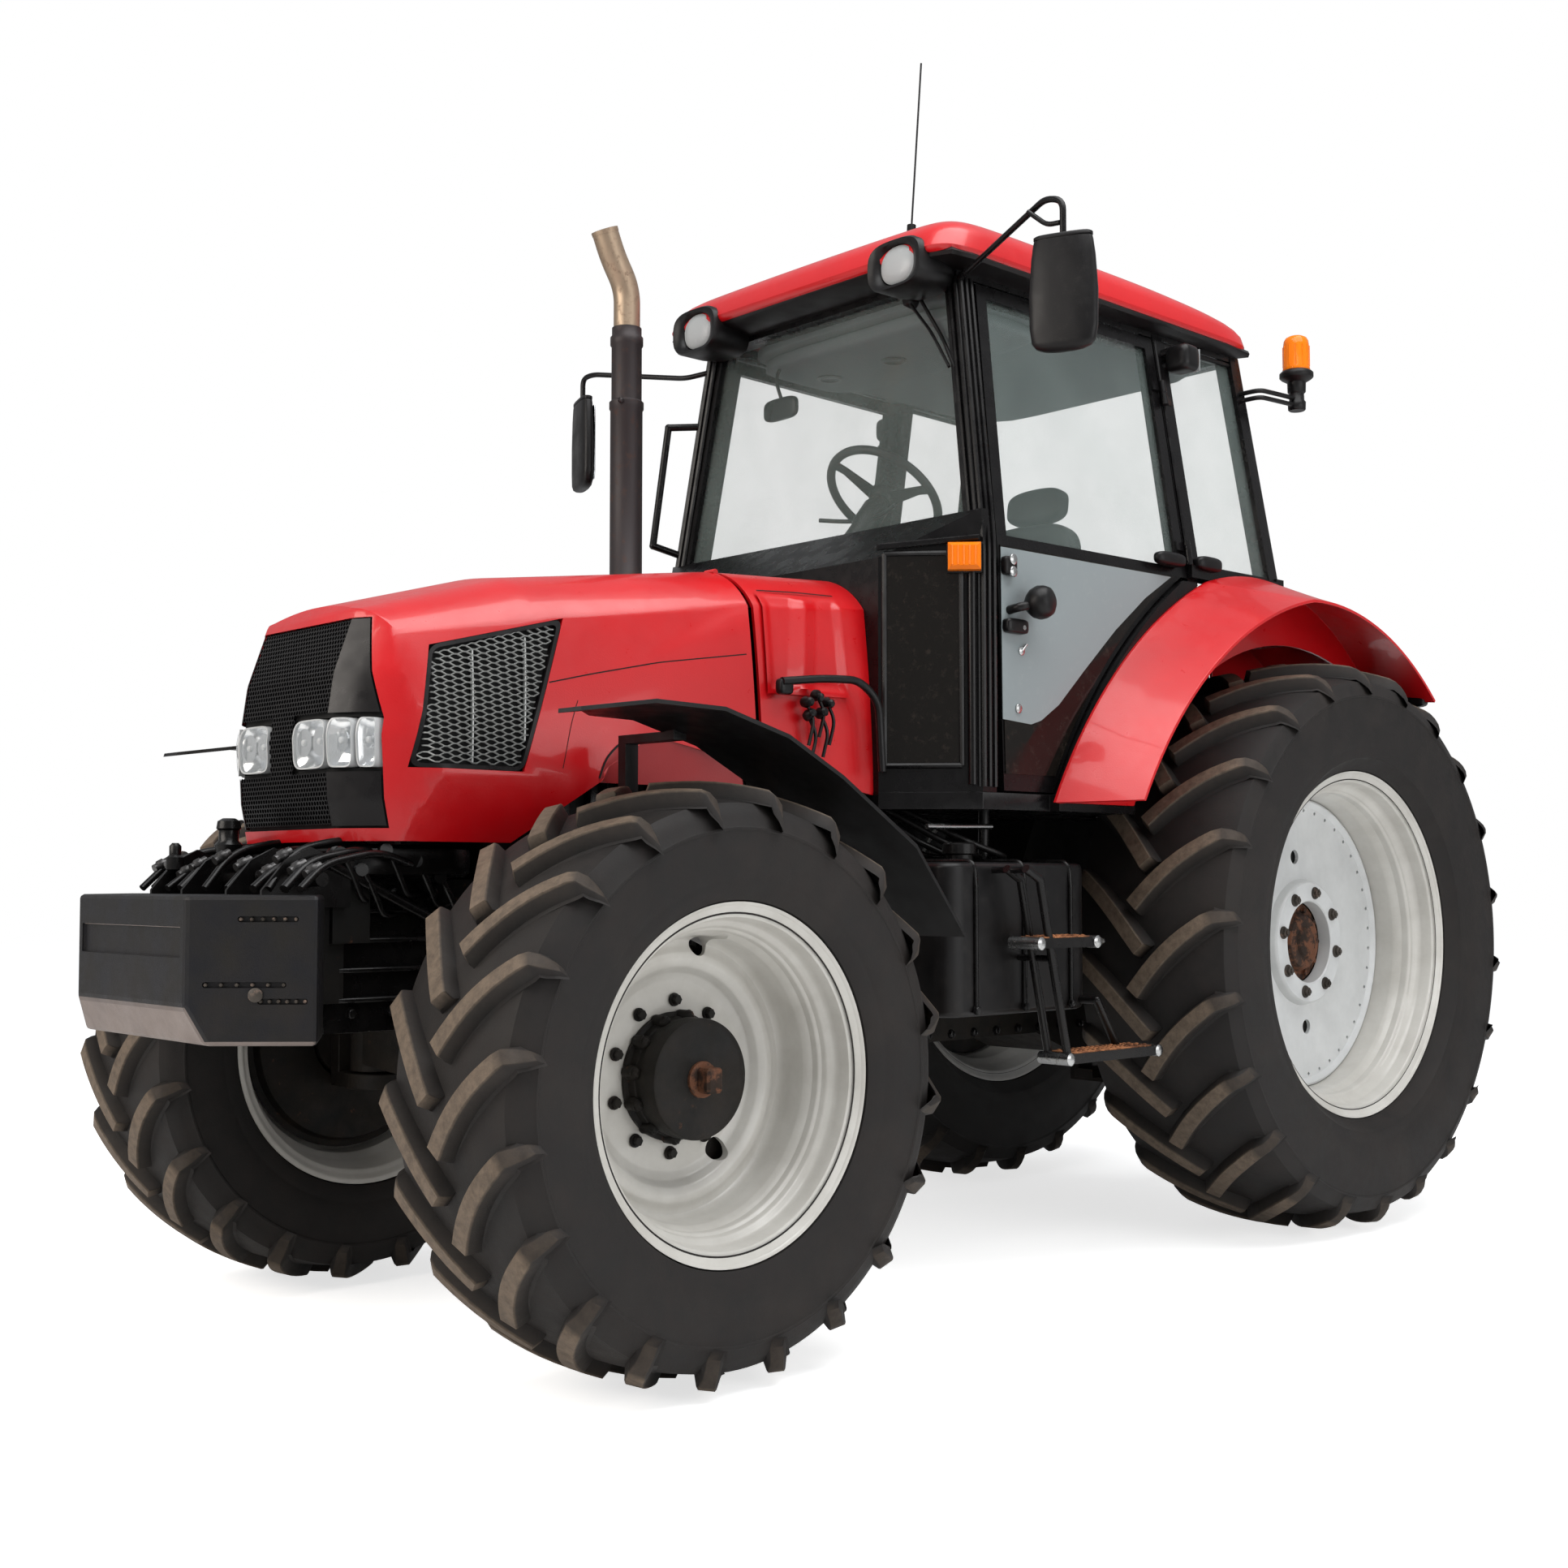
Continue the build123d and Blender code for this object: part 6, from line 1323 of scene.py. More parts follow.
def mirrors():
    arms, heads, glass_faces = Form(), Form(), Form()
    turned, half_width, half_depth = radians(22), 0.095, 0.024
    side, rise = superellipse(40, 3.2)
    for sign, low, high, bends in (
            (1, 2.570, 2.890, [(1.475, 0.530, 2.935), (1.540, 0.640, 2.925), (1.651, 1.010, 3.004),
                               (1.651, 1.070, 2.985),
                               (1.651, 1.070, 2.880)]),
            (-1, 2.524, 2.848, [(1.475, 0.530, 2.880), (1.540, 0.640, 2.860), (1.651, 1.010, 2.928),
                                (1.651, 1.070, 2.925), (1.651, 1.070, 2.840)])):
        route = [np.array(at(s, sign * y, z)) for s, y, z in bends]
        hose(arms, route, 0.009, 12, bend=0.03)
        if sign > 0:
            hose(arms, [route[3] - (0, 0.010, 0.06), route[3] - (0, 0.055, 0.055), route[2] - (0, 0.06, 0.02)], 0.007)
            spun(arms, at(1.475, 0.535, 2.932), (0, 1, -0.1), [(-0.02, 0.022), (0.02, 0.022), (0.03, 0.012)], 14)
        centre = np.array(at(1.651, sign * 1.070, 0))
        across = np.array((-sin(turned), sign * cos(turned), 0))
        ahead = np.array((cos(turned), sign * sin(turned), 0))
        rings = []
        # share of the head's height, then its width and depth there as shares of the most
        rows = [(0.0, 0.34, 0.4), (0.01, 0.58, 0.7), (0.035, 0.80, 0.9), (0.08, 0.92, 1.0), (0.2, 0.985, 1.0),
                (0.5, 1.0, 1.0), (0.8, 0.93, 0.96), (0.93, 0.87, 0.9), (0.955, 0.85, 0.86), (0.957, 0.80, 0.8),
                (0.965, 0.80, 0.8), (0.967, 0.86, 0.88), (0.99, 0.86, 0.88), (1.0, 0.80, 0.80)]
        for share, wide, deep in rows:
            place = centre + (0, 0, low + share * (high - low))
            rings.append(place + np.outer(side * wide * half_width, across) + np.outer(rise * deep * half_depth, ahead))
        heads.add(np.concatenate(rings), capped(len(rows), len(side)))
        outline = [(-0.9, low + 0.03), (0.9, low + 0.03), (1, low + 0.06), (1, high - 0.05),
                   (0.9, high - 0.03), (-0.9, high - 0.03), (-1, high - 0.05), (-1, low + 0.06)]
        outline = [(a * 0.078, z) for a, z in outline]
        prism(glass_faces, outline, centre - ahead * 0.0225, across, (0, 0, 1), -0.0035 * sign)
    heads.build("mirror_heads", [BLACK], instead_of="mirrors")
    arms.build("mirror_arms", [SATIN])
    glass_faces.build("mirror_glass", [SILVER])


def beacon():
    form, dome = Form(), Form()
    for z in (2.824, 2.800):
        hose(form, [at(0.10, 0.590, z), at(0.10, 0.700, z), at(-0.02, 0.705, z + 0.004), at(-0.110, 0.705, z + 0.008)],
             0.008, 10, bend=0.03)
    x, y = -0.126, 0.705
    spun(form, at(x, y, 2.790), (0, 0, 1), [(0, 0.026), (0.004, 0.030), (0.030, 0.031), (0.036, 0.026), (0.060, 0.025),
                                            (0.066, 0.031), (0.100, 0.032), (0.112, 0.052), (0.118, 0.058),
                                            (0.132, 0.058), (0.138, 0.052), (0.142, 0.046)], 32)
    spun(dome, at(x, y, 2.930), (0, 0, 1),
         [(0, 0.046), (0.004, 0.0475), (0.012, 0.0455), (0.090, 0.044), (0.106, 0.042), (0.117, 0.036),
          (0.123, 0.025), (0.125, 0.010)], 36)
    for k in range(12):
        turn = k * pi / 6
        px, py = 0.0445 * cos(turn), 0.0445 * sin(turn)
        hose(dome, [at(x + px, y + py, 2.945), at(x + px, y + py, 3.018)], 0.0022, 6)
    form.build("beacon_stand", [BLACK], instead_of="beacon")
    dome.build("beacon_dome", [AMBER], 60)


headliner()
seat()
console()
wiper()
roof_lamps()
mirrors()
beacon()
for hand, sign in SIDES:
    posts(hand, sign)
    corner_glass(hand, sign)
    door_skin(hand, sign)
    side_trim(hand, sign)


# ---------------------------------------------------------------- CAD shapes with worked edges
EDGES = {  # name of the node: width of its rounded edges, and the angle from which an edge is rounded
    "hood": (0.005, 38), "rear_cowl": (0.010, 30), "cab_tub": (0.004, 30), "cab_frame": (0.004, 30),
    "door_left": (0.003, 30), "door_right": (0.003, 30), "rear_fenders": (0.0025, 30),
    "front_fender_left": (0.003, 24), "front_fender_right": (0.003, 24), "front_weight": (0.010, 20),
    "fuel_tanks": (0.018, 30), "transmission": (0.014, 30), "rear_axle_housing": (0.012, 30),
    "engine_block": (0.015, 30), "front_frame": (0.006, 30), "front_axle_beam": (0.008, 30),
    "knuckle_left": (0.006, 30), "knuckle_right": (0.006, 30), "drawbar": (0.003, 30),
    "lower_links": (0.006, 30), "lift_arms": (0.006, 30), "access_steps": (0.002, 30),
}


def soften(name, width, angle):
    """Stand in for a CAD node with the same shape, its edges rounded and its curves shaded smooth."""
    source = frame["nodes"][name]
    finish = source.data.materials[0]
    shape = bmesh.new()
    shape.from_mesh(source.data)
    bmesh.ops.remove_doubles(shape, verts=shape.verts, dist=2e-5)
    bmesh.ops.dissolve_limit(shape, angle_limit=radians(0.5), verts=shape.verts, edges=shape.edges)
    mesh = bpy.data.meshes.new(f"{name}_worked")
    shape.to_mesh(mesh)
    shape.free()
    mesh.polygons.foreach_set("use_smooth", [True] * len(mesh.polygons))
    mesh.set_sharp_from_angle(angle=radians(angle))
    made = linked(f"{name}_worked", mesh)
    modifier = made.modifiers.new("edges", "BEVEL")
    modifier.width, modifier.segments, modifier.limit_method = width, 2, "ANGLE"
    modifier.angle_limit, modifier.harden_normals = radians(angle), True
    graph = bpy.context.evaluated_depsgraph_get()
    made.data = bpy.data.meshes.new_from_object(made.evaluated_get(graph), preserve_all_data_layers=True,
                                                depsgraph=graph)
    made.modifiers.clear()
    made.data.materials.clear()
    made.data.materials.append(finish)
    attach(made, source["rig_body"])
    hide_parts(name)
    return made


WORKED = {name: soften(name, *edge) for name, edge in EDGES.items()}


# ---------------------------------------------------------------- lines and panels on the bodywork
HOOD_TREE, COWL_TREE = surface_of("hood"), surface_of("rear_cowl")


def flank_point(tree, sign, station, z, out=0.0):
    """Point out proud of the bodywork's flank, or None where there is none."""
    hit = landed(tree, at(station, sign * 0.9, z), (0, -sign, 0))
    return None if hit is None else (hit.x, hit.y + sign * out, hit.z)


def seam(form, tree, sign, line, width=0.0032, out=0.0006):
    """A narrow dark gap drawn along the flank."""
    line = rounded(line, 0.03, 4)
    dense = []
    for p, q in zip(line, line[1:]):
        steps = max(2, int(np.linalg.norm(q - p) / 0.025))
        dense += [p + (q - p) * t for t in np.linspace(0, 1, steps, endpoint=False)]
    dense = np.array(dense + [line[-1]])
    way = np.gradient(dense, axis=0)
    way /= np.linalg.norm(way, axis=1)[:, None]
    rows = []
    for (s, z), (ws, wz) in zip(dense, way):
        pair = [flank_point(tree, sign, s - wz * k, z + ws * k, out) for k in (-width / 2, width / 2)]
        if None not in pair:
            rows.append(pair)
    form.add([p for pair in rows for p in pair], grid_faces(len(rows), 2, flip=sign < 0))


def patch(form, tree, sign, corners, rise, steps):
    """A sheet over a four-cornered part of the flank; rise gives how far it stands out at (u, v)."""
    a, b, c, d = (np.asarray(corner, float) for corner in corners)
    rows = []
    for v in np.linspace(0, 1, steps):
        for u in np.linspace(0, 1, steps):
            s, z = (1 - v) * ((1 - u) * a + u * b) + v * ((1 - u) * d + u * c)
            rows.append(flank_point(tree, sign, s, z, rise(u, v)) or at(s, sign * 0.43, z))
    form.add(rows, grid_faces(steps, steps, flip=sign < 0))


def bodywork(hand, sign):
    """Seams, cowl panel and wheel arch of the hood, with the grab bar beside the cowl; the arch is painted shade of a
    recess, a dark line over a darker red band.
    """
    lines = Form()
    seam(lines, HOOD_TREE, sign, [(2.872, 1.634), (2.717, 1.671), (2.498, 1.718), (2.172, 1.768)])
    seam(lines, HOOD_TREE, sign, [(2.765, 1.600), (2.790, 1.540), (2.822, 1.425)], 0.0022)
    lines.build(f"hood_seams_{hand}", [GAP_AND_SHADE_BLACK], 60, "hood")
    panel = Form()

    def rim(u, v):
        edge = min(u, 1 - u, v, 1 - v)
        fold = 0.010 * max(0.0, 1 - abs(u - 0.42 - 0.12 * v) / 0.16)
        return 0.009 if edge < 0.045 else 0.0015 + 0.0075 * max(0.0, 1 - (edge - 0.045) / 0.05) + fold

    patch(panel, COWL_TREE, sign, [(2.140, 1.660), (1.838, 1.665), (1.846, 1.955), (2.135, 1.945)], rim, 34)
    panel.build(f"cowl_panel_{hand}", [RED], 50)
    slot_line = Form()
    seam(slot_line, COWL_TREE, sign, [(2.125, 1.952), (1.99, 1.960), (1.850, 1.962)], 0.004, 0.010)
    slot_line.build(f"cowl_seam_{hand}", [GAP_AND_SHADE_BLACK], 60)
    # painted shade of a recess: a near-black line along the arch's edge and a darker red band below it, laid on the
    # flat flank
    arch = Form()
    curve = [(2.712, 1.405), (2.690, 1.455), (2.642, 1.499), (2.565, 1.524), (2.481, 1.534), (2.395, 1.534),
             (2.312, 1.527), (2.255, 1.500), (2.206, 1.425)]
    seam(arch, HOOD_TREE, sign, curve, 0.006, 0.0012)
    rows = []
    for s, z in rounded(curve, 0.02, 2):
        for t in np.linspace(0, 1, 4):
            rows.append(flank_point(HOOD_TREE, sign, s, z - 0.003 - t * (z - 0.003 - 1.395), 0.001)
                        or at(s, sign * 0.40, 1.395))
    arch.add(rows, grid_faces(len(rows) // 4, 4, flip=sign > 0), 1)
    arch.build(f"hood_arch_{hand}", [GAP_AND_SHADE_BLACK, ARCH_SHADE_RED], 60, "hood", slot="red_paint")
    bar = Form()                                         # grab bar and catch beside the cowl
    side_hose(bar, sign, [(2.128, 0.470, 1.690), (1.98, 0.480, 1.708), (1.845, 0.488, 1.712), (1.785, 0.505, 1.655),
                          (1.778, 0.512, 1.455)], 0.0115, 12, bend=0.06)
    side_box(bar, sign, (2.085, 2.135), (0.445, 0.476), (1.655, 1.700), 4, 6)
    for k, (s, z) in enumerate(((1.99, 1.665), (1.95, 1.645), (2.03, 1.64), (1.975, 1.61), (2.02, 1.60))):
        spun(bar, at(s, sign * 0.452, z), (0, sign, 0.2 * (k - 2)),
             [(0, 0.014), (0.012, 0.017), (0.026, 0.011), (0.03, 0.013), (0.036, 0.008)], 12)
        side_hose(bar, sign, [(s, 0.462, z), (s - 0.02, 0.475, z - 0.05), (s - 0.01, 0.462, z - 0.12)], 0.005, 8)
    bar.build(f"cowl_bar_{hand}", [BLACK])


def roof():
    """One smooth shell: a rounded plan, upright sides that roll over into a low dome, and a lip underneath."""
    form = Form()
    low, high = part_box("cab_roof")
    middle_x, half_x, half_y = (low.x + high.x) / 2, (high.x - low.x) / 2, high.y
    base, top = 2.990, high.z - 0.002
    steps, squareness = 49, 15.0
    grid = np.linspace(-1, 1, steps)
    grid = np.sign(grid) * (1 - (1 - np.abs(grid)) ** 1.5)
    rows = []
    for u in grid:
        for v in grid:
            su, sv = squircle(u, v, squareness)
            share = max(abs(u), abs(v))
            rear = max(0.0, -su)
            crest = (top - base) * (1 - 0.34 * rear ** 2.6 - 0.08 * max(0.0, su) ** 4) * (1 - 0.08 * sv * sv)
            rise = crest * (1 - share ** 7.5) ** 0.42
            rows.append((middle_x + half_x * su * (1 - 0.035 * rise / (top - base)), half_y * sv, base + rise))
    form.add(rows, grid_faces(steps, steps))
    border = [(u, -1) for u in grid] + [(1, v) for v in grid[1:]] + [(u, 1) for u in grid[::-1][1:]]
    border += [(-1, v) for v in grid[::-1][1:-1]]
    rings = []
    for inset, z in ((1.0, base), (0.996, base - 0.010), (0.985, base - 0.018), (0.955, base - 0.022)):
        for u, v in border:
            su, sv = squircle(u, v, squareness)
            rings.append((middle_x + half_x * su * inset, half_y * sv * inset, z))
    count = len(border)
    form.add(rings, grid_faces(4, count, False, True) + [tuple(range(3 * count, 4 * count))])
    form.build("roof_shell", [RED], 40, instead_of="cab_roof")


def exhaust():
    stack, elbow = Form(), Form()
    x, y = 2.039, -0.330
    spun(stack, at(x, y, 1.800), (0, 0, 1),
         [(0, 0.048), (0.20, 0.048), (0.205, 0.055), (0.215, 0.055), (0.22, 0.050), (0.80, 0.050), (0.806, 0.0535),
          (0.826, 0.0535), (0.832, 0.047), (1.00, 0.047), (1.006, 0.051), (1.030, 0.051), (1.036, 0.046),
          (1.060, 0.046)], 40)
    hexagon_bolt(stack, at(x + 0.048, y + 0.03, 2.620), (0, 1, 0), 0.014)
    route = rounded([at(x, y, 2.850), at(x, y, 2.985), at(2.096, y, 3.075), at(2.128, y, 3.150)], 0.09, 10)
    hose(elbow, route, 0.041, 28, bend=0.001)
    way = np.array(route[-1]) - route[-2]
    spun(elbow, np.array(route[-1]) - unit(way) * 0.012, way, [(0, 0.042), (0.010, 0.0425), (0.013, 0.0425)], 28)
    # near-black disc across the elbow's end: painted shade of the pipe's hollow inside
    mouth = Form()
    spun(mouth, np.array(route[-1]), way, [(0, 0.037), (0.0018, 0.037)], 28)
    stack.build("exhaust_pipe", [STACK], instead_of="exhaust_stack")
    elbow.build("exhaust_elbow", [ELBOW])
    mouth.build("exhaust_mouth", [GAP_AND_SHADE_BLACK], slot="stack_metal")
    collar = Form()
    spun(collar, at(x, y, 1.985), (0, 0, 1), [(0, 0.074), (0.03, 0.072), (0.055, 0.064), (0.060, 0.058),
                                              (0.060, 0.051)], 36)
    return collar


# ---------------------------------------------------------------- front weight and what stands round it
def weight_details():
    """Handle groove, slots and studs of the front weight."""
    cutters, half_slot = Form(), 0.0065
    block(cutters, at(3.733, -0.262, 0.978), at(3.760, 0.262, 1.046), edge=0.002)
    bolts = Form()
    for sign in (-1, 1):
        # a flank's front corner, the way back along it, and out of it
        corner, way = np.array(at(3.740, sign * 0.285, 0)), np.array((-0.215, sign * 0.195, 0)) / 0.290
        out = np.array((0.195, sign * 0.215, 0)) / 0.290
        for a0, a1, z in ((0.120, 0.240, 1.063), (0.045, 0.215, 0.920), (0.165, 0.262, 0.884)):
            start = corner + (0, 0, z) - out * 0.008
            ends = [(a + half_slot * cos(t), half_slot * sin(t)) for a, first in ((a1, -pi / 2), (a0, pi / 2))
                    for t in np.linspace(first, first + pi, 7)]
            prism(cutters, ends, start, way, (0, 0, 1), sign * 0.030, edge=0.0005)
            for share in np.linspace(a0, a1, 6):
                spun(bolts, start + way * share, out, [(-0.002, 0.0045), (0.006, 0.0045), (0.008, 0.003)], 8)
        spun(bolts, corner + way * 0.155 + (0, 0, 0.898) - out * 0.002, out,
             [(0, 0.016), (0.006, 0.016), (0.010, 0.010)], 18)
    carve(WORKED["front_weight"], cutters)
    casting = WORKED["front_weight"].data
    casting.materials.clear()
    casting.materials.append(WEIGHT)
    if "custom_normal" in casting.attributes:
        casting.attributes.remove(casting.attributes["custom_normal"])
    for face in casting.polygons:
        face.use_smooth = face.area < 0.002
    bolts.build("weight_bolts", [NUTS])


def front_machinery():
    """Coupling frame, hoses and valves behind the weight and under the nose."""
    form, bright = Form(), Form()
    plate = 0.238                                        # side plates' distance from the middle
    for sign in (-1, 1):
        for y in (0.115, 0.285):
            outline = [(3.335, 1.085), (3.560, 1.085), (3.560, 1.125), (3.500, 1.195), (3.440, 1.225), (3.335, 1.180)]
            prism(form, outline, at(0, sign * y, 0), (1, 0, 0), (0, 0, 1), 0.012, edge=0.003)
            hexagon_bolt(bright, at(3.480, sign * (y + 0.006), 1.160), (0, sign, 0), 0.018)
        prism(form, [(3.05, 0.790), (3.375, 0.790), (3.375, 1.165), (3.05, 1.235)], at(0, sign * plate, 0),
              (1, 0, 0), (0, 0, 1), 0.010, edge=0.003)
        for z in (0.86, 0.93, 1.00, 1.07):
            side_block(form, sign, (3.10, 3.345), (plate, plate + 0.014), (z, z + 0.012))
        for s in (3.09, 3.20, 3.31):
            for z in (0.835, 1.12):
                hexagon_bolt(form, at(s, sign * (plate + 0.008), z), (0, sign, 0), 0.020)
        for k in range(5):                               # hoses that loop over the weight's back
            y = sign * (0.05 + 0.075 * k + 0.012 * ((k * 3) % 4))
            lift = 0.017 * ((k * 2 + sign) % 3) - 0.01 * (k == 3)
            hose(form, [at(3.10, y * 0.7, 1.17), at(3.30, y, 1.215 + lift), at(3.46, y * 1.1, 1.185 + lift),
                        at(3.545, y * 1.15 + 0.03, 1.128)], 0.009 + 0.002 * (k % 2), 10, bend=0.06)
            spun(bright, at(3.47, y * 1.1, 1.180 + lift), (1, 0.1, -0.5),
                 [(0, 0.012), (0.014, 0.012), (0.016, 0.015), (0.030, 0.015), (0.034, 0.011), (0.045, 0.011)], 12)
        for s, y, z in ((3.36, 0.300, 1.205), (3.30, 0.292, 1.168), (3.24, 0.300, 1.215), (3.15, 0.288, 1.190),
                        (3.08, 0.285, 1.15)):
            spun(form, at(s, sign * (y - 0.05), z), (0.2, sign, 0.1),
                 [(0, 0.021), (0.02, 0.021), (0.024, 0.015), (0.040, 0.015), (0.044, 0.018), (0.052, 0.016)], 12)
            side_hose(form, sign, [(s, y - 0.01, z), (s - 0.03, y - 0.010, z - 0.05), (s - 0.07, y - 0.035, z - 0.11),
                                   (s - 0.12, 0.24, z - 0.10)], 0.0075, 8, bend=0.05)
        side_hose(form, sign, [(3.40, 0.29, 1.19), (3.20, 0.265, 1.10), (3.02, 0.25, 1.02), (2.99, 0.23, 0.95)],
                  0.012, 10, bend=0.08)
    rounded_box(form, at(2.98, -0.290, 1.150), at(3.330, 0.290, 1.236), 8, 6)
    rounded_box(form, at(3.06, -0.225, 0.780), at(3.36, 0.225, 1.150), 8, 6)
    hose(form, [at(3.44, -0.34, 1.150), at(3.44, 0.34, 1.150)], 0.017, 14)
    spun(form, at(3.440, -0.120, 1.215), (0, 0, 1),
         [(0, 0.030), (0.02, 0.034), (0.03, 0.024), (0.055, 0.024), (0.06, 0.030), (0.078, 0.027), (0.085, 0.015)], 18)
    spun(form, at(3.500, -0.285, 1.175), (0, 0, 1),
         [(0, 0.022), (0.03, 0.022), (0.036, 0.015), (0.058, 0.015), (0.066, 0.008)], 14)
    form.build("front_machinery", [OILY], slot="black_iron")
    bright.build("front_couplers", [GREASY])


def engine_details(hand, sign):
    """Ribs, pump, filters, pipes and flange bolts on the engine and gearbox sides."""
    form, bright = Form(), Form()
    y = 0.190                                            # half width of the castings
    for s in np.arange(2.02, 2.86, 0.105):
        side_box(form, sign, (s, s + 0.045), (y - 0.01, y + 0.030), (0.83, 1.45), 6, 5)
        hexagon_bolt(form, at(s + 0.075, sign * y, 0.80), (0, sign, 0), 0.022)
    spun(form, at(2.16, sign * 0.205, 0.98), (0, 0, -1), [(0, 0.036), (0.16, 0.036), (0.18, 0.031), (0.185, 0.016)], 20)
    spun(form, at(2.46, sign * 0.215, 1.20), (0, 0, -1), [(0, 0.036), (0.20, 0.036), (0.22, 0.031), (0.225, 0.016)], 20)
    spun(form, at(2.12, sign * 0.190, 1.20), (0, sign, 0),
         [(0, 0.085), (0.06, 0.085), (0.075, 0.070), (0.11, 0.045), (0.13, 0.030)], 24)
    for k in range(5):
        side_hose(form, sign, [(2.05 + 0.16 * k, 0.205, 1.52), (2.10 + 0.15 * k, 0.230, 1.36),
                               (2.05 + 0.17 * k, 0.232, 1.18), (2.16 + 0.12 * k, 0.205, 0.98)], 0.011, 10, bend=0.08)
    for s in np.arange(0.25, 1.90, 0.11):                # bolts along the gearbox flange
        hexagon_bolt(form, at(s, sign * 0.190, 0.66), (0, sign, 0), 0.020)
    side_hose(bright, sign, [(1.10, 0.765, 0.968), (1.39, 0.765, 0.973)], 0.010, 12)
    form.build(f"engine_side_{hand}", [OILY], slot="grey_cast_iron")
    bright.build(f"side_rod_{hand}", [STEEL])


def tanks_and_steps(hand, sign):
    """Studded step plates with their tube ends, and the straps, cap and pipes of the tank."""
    form, treads, caps = Form(), Form(), Form()
    for rear, front, z in ((1.010, 1.435, 0.635), (1.300, 1.560, 0.960)):
        tread = z + 0.0315
        side_block(treads, sign, (rear + 0.03, front - 0.03), (0.806, 0.894), (z + 0.024, tread), edge=0.001)
        pitch = 0.022
        count = int((front - rear - 0.06) / pitch)
        for k in range(count):
            for row in (0.822, 0.850, 0.878):
                spun(treads, at(rear + 0.042 + k * pitch, sign * row, tread), (0, 0, 1),
                     [(0, 0.0065), (0.003, 0.0055), (0.0035, 0.003)], 8)
        for s in (rear + 0.004, front - 0.004):
            spun(caps, at(s, sign * 0.796, z + 0.014), (0, sign, 0), [(0, 0.018), (0.108, 0.018), (0.112, 0.012)], 16)
    for s in (1.25, 1.46, 1.67):                         # straps round the tank, and its sump line
        side_hose(form, sign, [(s, 0.45, 1.202), (s, 0.755, 1.202), (s, 0.764, 1.15), (s, 0.764, 0.80)], 0.007, 8,
                  bend=0.03)
        hexagon_bolt(form, at(s, sign * 0.764, 0.79), (0, sign, 0), 0.02)
    spun(form, at(1.62, sign * 0.66, 1.199), (0, 0, 1),
         [(0, 0.040), (0.02, 0.040), (0.024, 0.048), (0.05, 0.048), (0.056, 0.040)], 24)
    side_hose(form, sign, [(1.40, 0.56, 1.19), (1.395, 0.56, 1.385)], 0.016, 14)
    side_hose(caps, sign, [(1.69, 0.600, 1.30), (1.41, 0.600, 1.305)], 0.008, 12)
    for k in range(6):
        side_hose(form, sign, [(1.80 - 0.03 * k, 0.30 + 0.03 * k, 1.36), (1.78 - 0.05 * k, 0.36 + 0.05 * k, 1.26),
                               (1.70 - 0.06 * k, 0.40 + 0.05 * k, 1.215), (1.50 - 0.06 * k, 0.40, 1.215)],
                  0.010, 10, bend=0.05)
    side_box(form, sign, (1.76, 1.90), (0.30, 0.50), (0.86, 1.18), 6, 8)
    form.build(f"tank_fittings_{hand}", [OILY])
    treads.build(f"step_treads_{hand}", [TREAD_RUST])
    caps.build(f"step_caps_{hand}", [STEEL])


def wheel_backs(axle, hand, sign):
    """Brake drum and shield behind each disc, which also closes the view through its holes."""
    centre = middle(f"{axle}_tyre_{hand}" if axle == "rear" else f"{axle}_rim_{hand}")
    form = Form()
    if axle == "front":
        profile = [(-0.062, 0.122), (-0.060, 0.300), (-0.066, 0.316), (-0.074, 0.318), (-0.078, 0.300), (-0.100, 0.290),
                   (-0.104, 0.150), (-0.098, 0.122)]
    else:
        profile = [(-0.012, 0.20), (-0.012, 0.470), (-0.022, 0.474), (-0.030, 0.470), (-0.030, 0.30), (-0.10, 0.27),
                   (-0.10, 0.20)]
    form.add(*lathe(profile, centre, sign, 64))
    form.build(f"{axle}_drum_{hand}", [IRON], 36, f"{axle}_wheel_{hand}")


def rear_details(hand, sign):
    """Rear lamp on the fender, hose and couplings beside the top link."""
    form, lens = Form(), Form()
    side_box(form, sign, (-0.568, -0.523), (0.80, 0.95), (1.760, 1.835), 6, 8)
    for finish in (0, 1):
        y0 = 0.806 + 0.072 * finish
        side_box(lens, sign, (-0.5685, -0.553), (y0, y0 + 0.066), (1.767, 1.828), 6, 6, finish)
    side_hose(form, sign, [(-0.16, 0.09, 1.20), (-0.25, 0.11, 1.10), (-0.30, 0.11, 0.95), (-0.38, 0.10, 0.90)],
         0.010, 10, bend=0.05)
    for k in range(3):
        place = at(-0.190, sign * 0.150, 1.04 + 0.07 * k)
        spun(form, place, (-1, 0, 0), [(0, 0.022), (0.03, 0.022), (0.034, 0.028), (0.062, 0.028), (0.066, 0.020)], 16)
    form.build(f"rear_fittings_{hand}", [BLACK])
    lens.build(f"tail_lamp_{hand}", [TAIL, AMBER])


roof()
exhaust().build("exhaust_collar", [RED])
weight_details()
front_machinery()
for hand, sign in SIDES:
    bodywork(hand, sign)
    engine_details(hand, sign)
    tanks_and_steps(hand, sign)
    rear_details(hand, sign)
    for axle in TREADS:
        wheel_backs(axle, hand, sign)


# ---------------------------------------------------------------- camera, light and floor
def camera():
    """The eye stands ahead and to the left of the tractor, at a child's height, looking slightly up."""
    eye = bpy.data.cameras.new("camera")
    eye.lens = 42.17
    eye.sensor_width = 36
    eye.clip_end = 60
    holder = linked("camera", eye)
    holder.location = at(5.541, 4.103, 1.148)
    holder.rotation_euler = (radians(93), 0, radians(226.73 - 90))
    bpy.context.scene.camera = holder


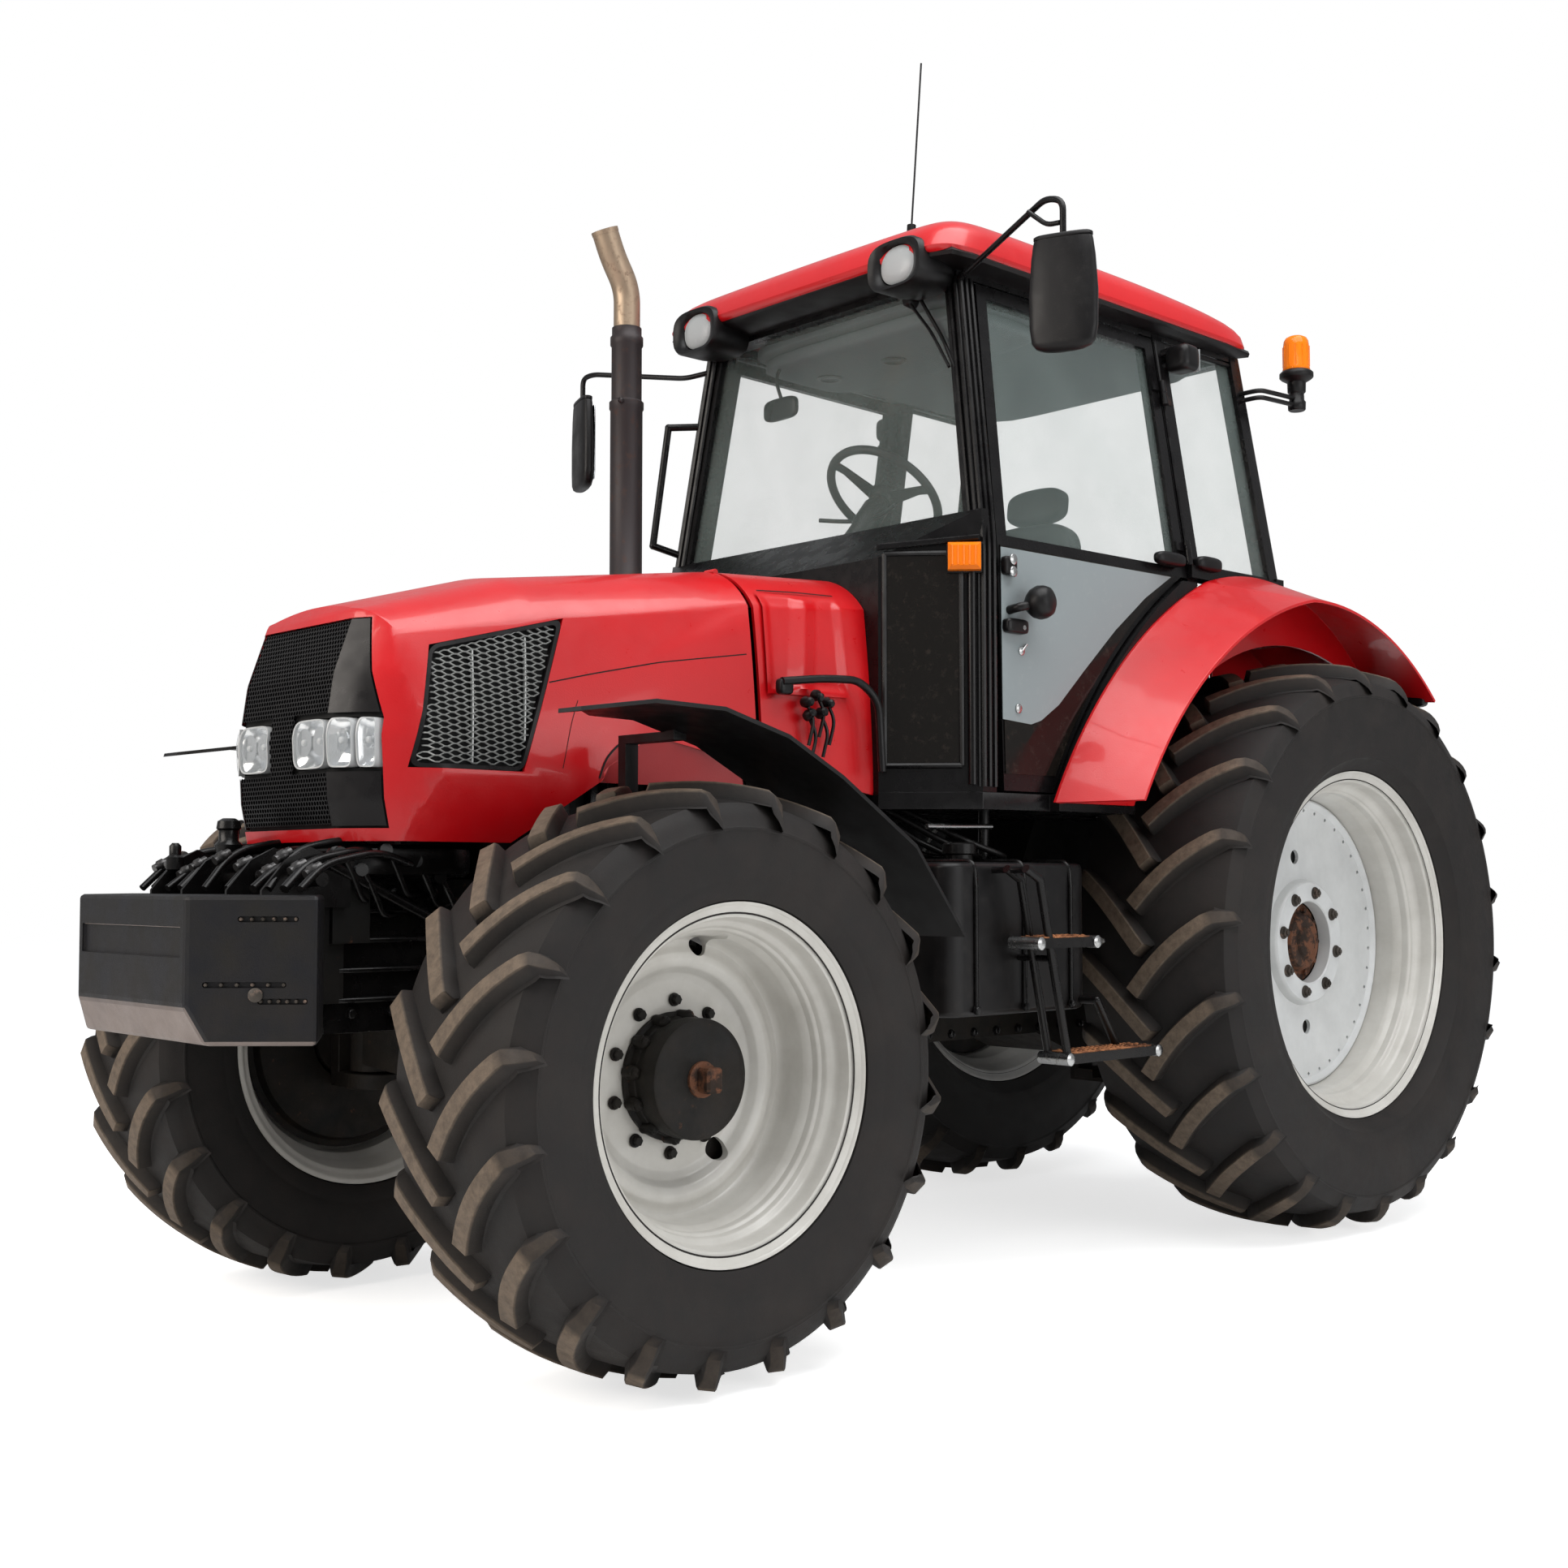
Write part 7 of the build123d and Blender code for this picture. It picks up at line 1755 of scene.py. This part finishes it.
def lamp(name, place, aim, size, watts, tint="#FFFFFF"):
    light = bpy.data.lights.new(name, "AREA")
    light.shape = "RECTANGLE"
    light.size, light.size_y = size
    light.energy = watts
    light.color = srgb(tint)[:3]
    holder = linked(name, light)
    holder.location = place
    holder.rotation_euler = (Vector(aim) - Vector(place)).to_track_quat("-Z", "Y").to_euler()


def white_share(tree):
    """1 where the eye meets the surroundings, straight or through glass, and a part of that in reflections."""
    path = node(tree, "LightPath").outputs
    straight = maths(tree, "ADD", path["Is Camera Ray"], path["Is Transmission Ray"])
    return maths(tree, "ADD", straight, maths(tree, "MULTIPLY", path["Is Glossy Ray"], 0.15))


def studio():
    """White surroundings, softer from below, with two large soft boxes and a pale floor."""
    world = bpy.data.worlds.new("studio")
    bpy.context.scene.world = world
    world.use_nodes = True
    tree = world.node_tree
    tree.nodes.clear()
    rise = axis_of(tree, "Z", coordinates(tree, "Generated"))
    glow = mix(tree, ramp(tree, rise, -0.15, 0.75), srgb("#B9B4AE"), srgb("#F4F8FF"))
    soft = node(tree, "Background", {"Color": glow, "Strength": 0.36})
    plain = node(tree, "Background", {"Color": (1, 1, 1, 1), "Strength": 1.0})
    either = node(tree, "MixShader", {0: white_share(tree), 1: soft.outputs[0], 2: plain.outputs[0]})
    node(tree, "OutputWorld", {"Surface": either.outputs[0]})
    lamp("sky_box", at(2.0, 2.5, 7.0), at(1.2, 0, 1.2), (7.0, 5.0), 470)
    lamp("front_box", at(7.5, -1.0, 3.6), at(2.2, 0, 1.2), (4.0, 3.0), 200, "#FFF7EE")
    lamp("side_box", at(0.6, 7.5, 2.6), at(0.8, 0, 1.2), (6.0, 3.0), 135)

    ground = bpy.data.meshes.new("floor")
    reach = 30.0
    ground.from_pydata([(-reach, -reach, 0), (reach, -reach, 0), (reach, reach, 0), (-reach, reach, 0)], [],
                       [(0, 1, 2, 3)])
    made, tree, shader = material("pale_floor", Roughness=0.9, Emission_Color=(1, 1, 1, 1))
    feed(tree, shader, Base_Color=mix(tree, noise(tree, 1.5, 3.0), srgb("#F6F6F5"), srgb("#FCFCFB")),
         Emission_Strength=maths(tree, "MULTIPLY", white_share(tree), 0.70))
    ground.materials.append(made)
    linked("floor", ground)
    bpy.context.scene.view_settings.view_transform = "Standard"


camera()
studio()
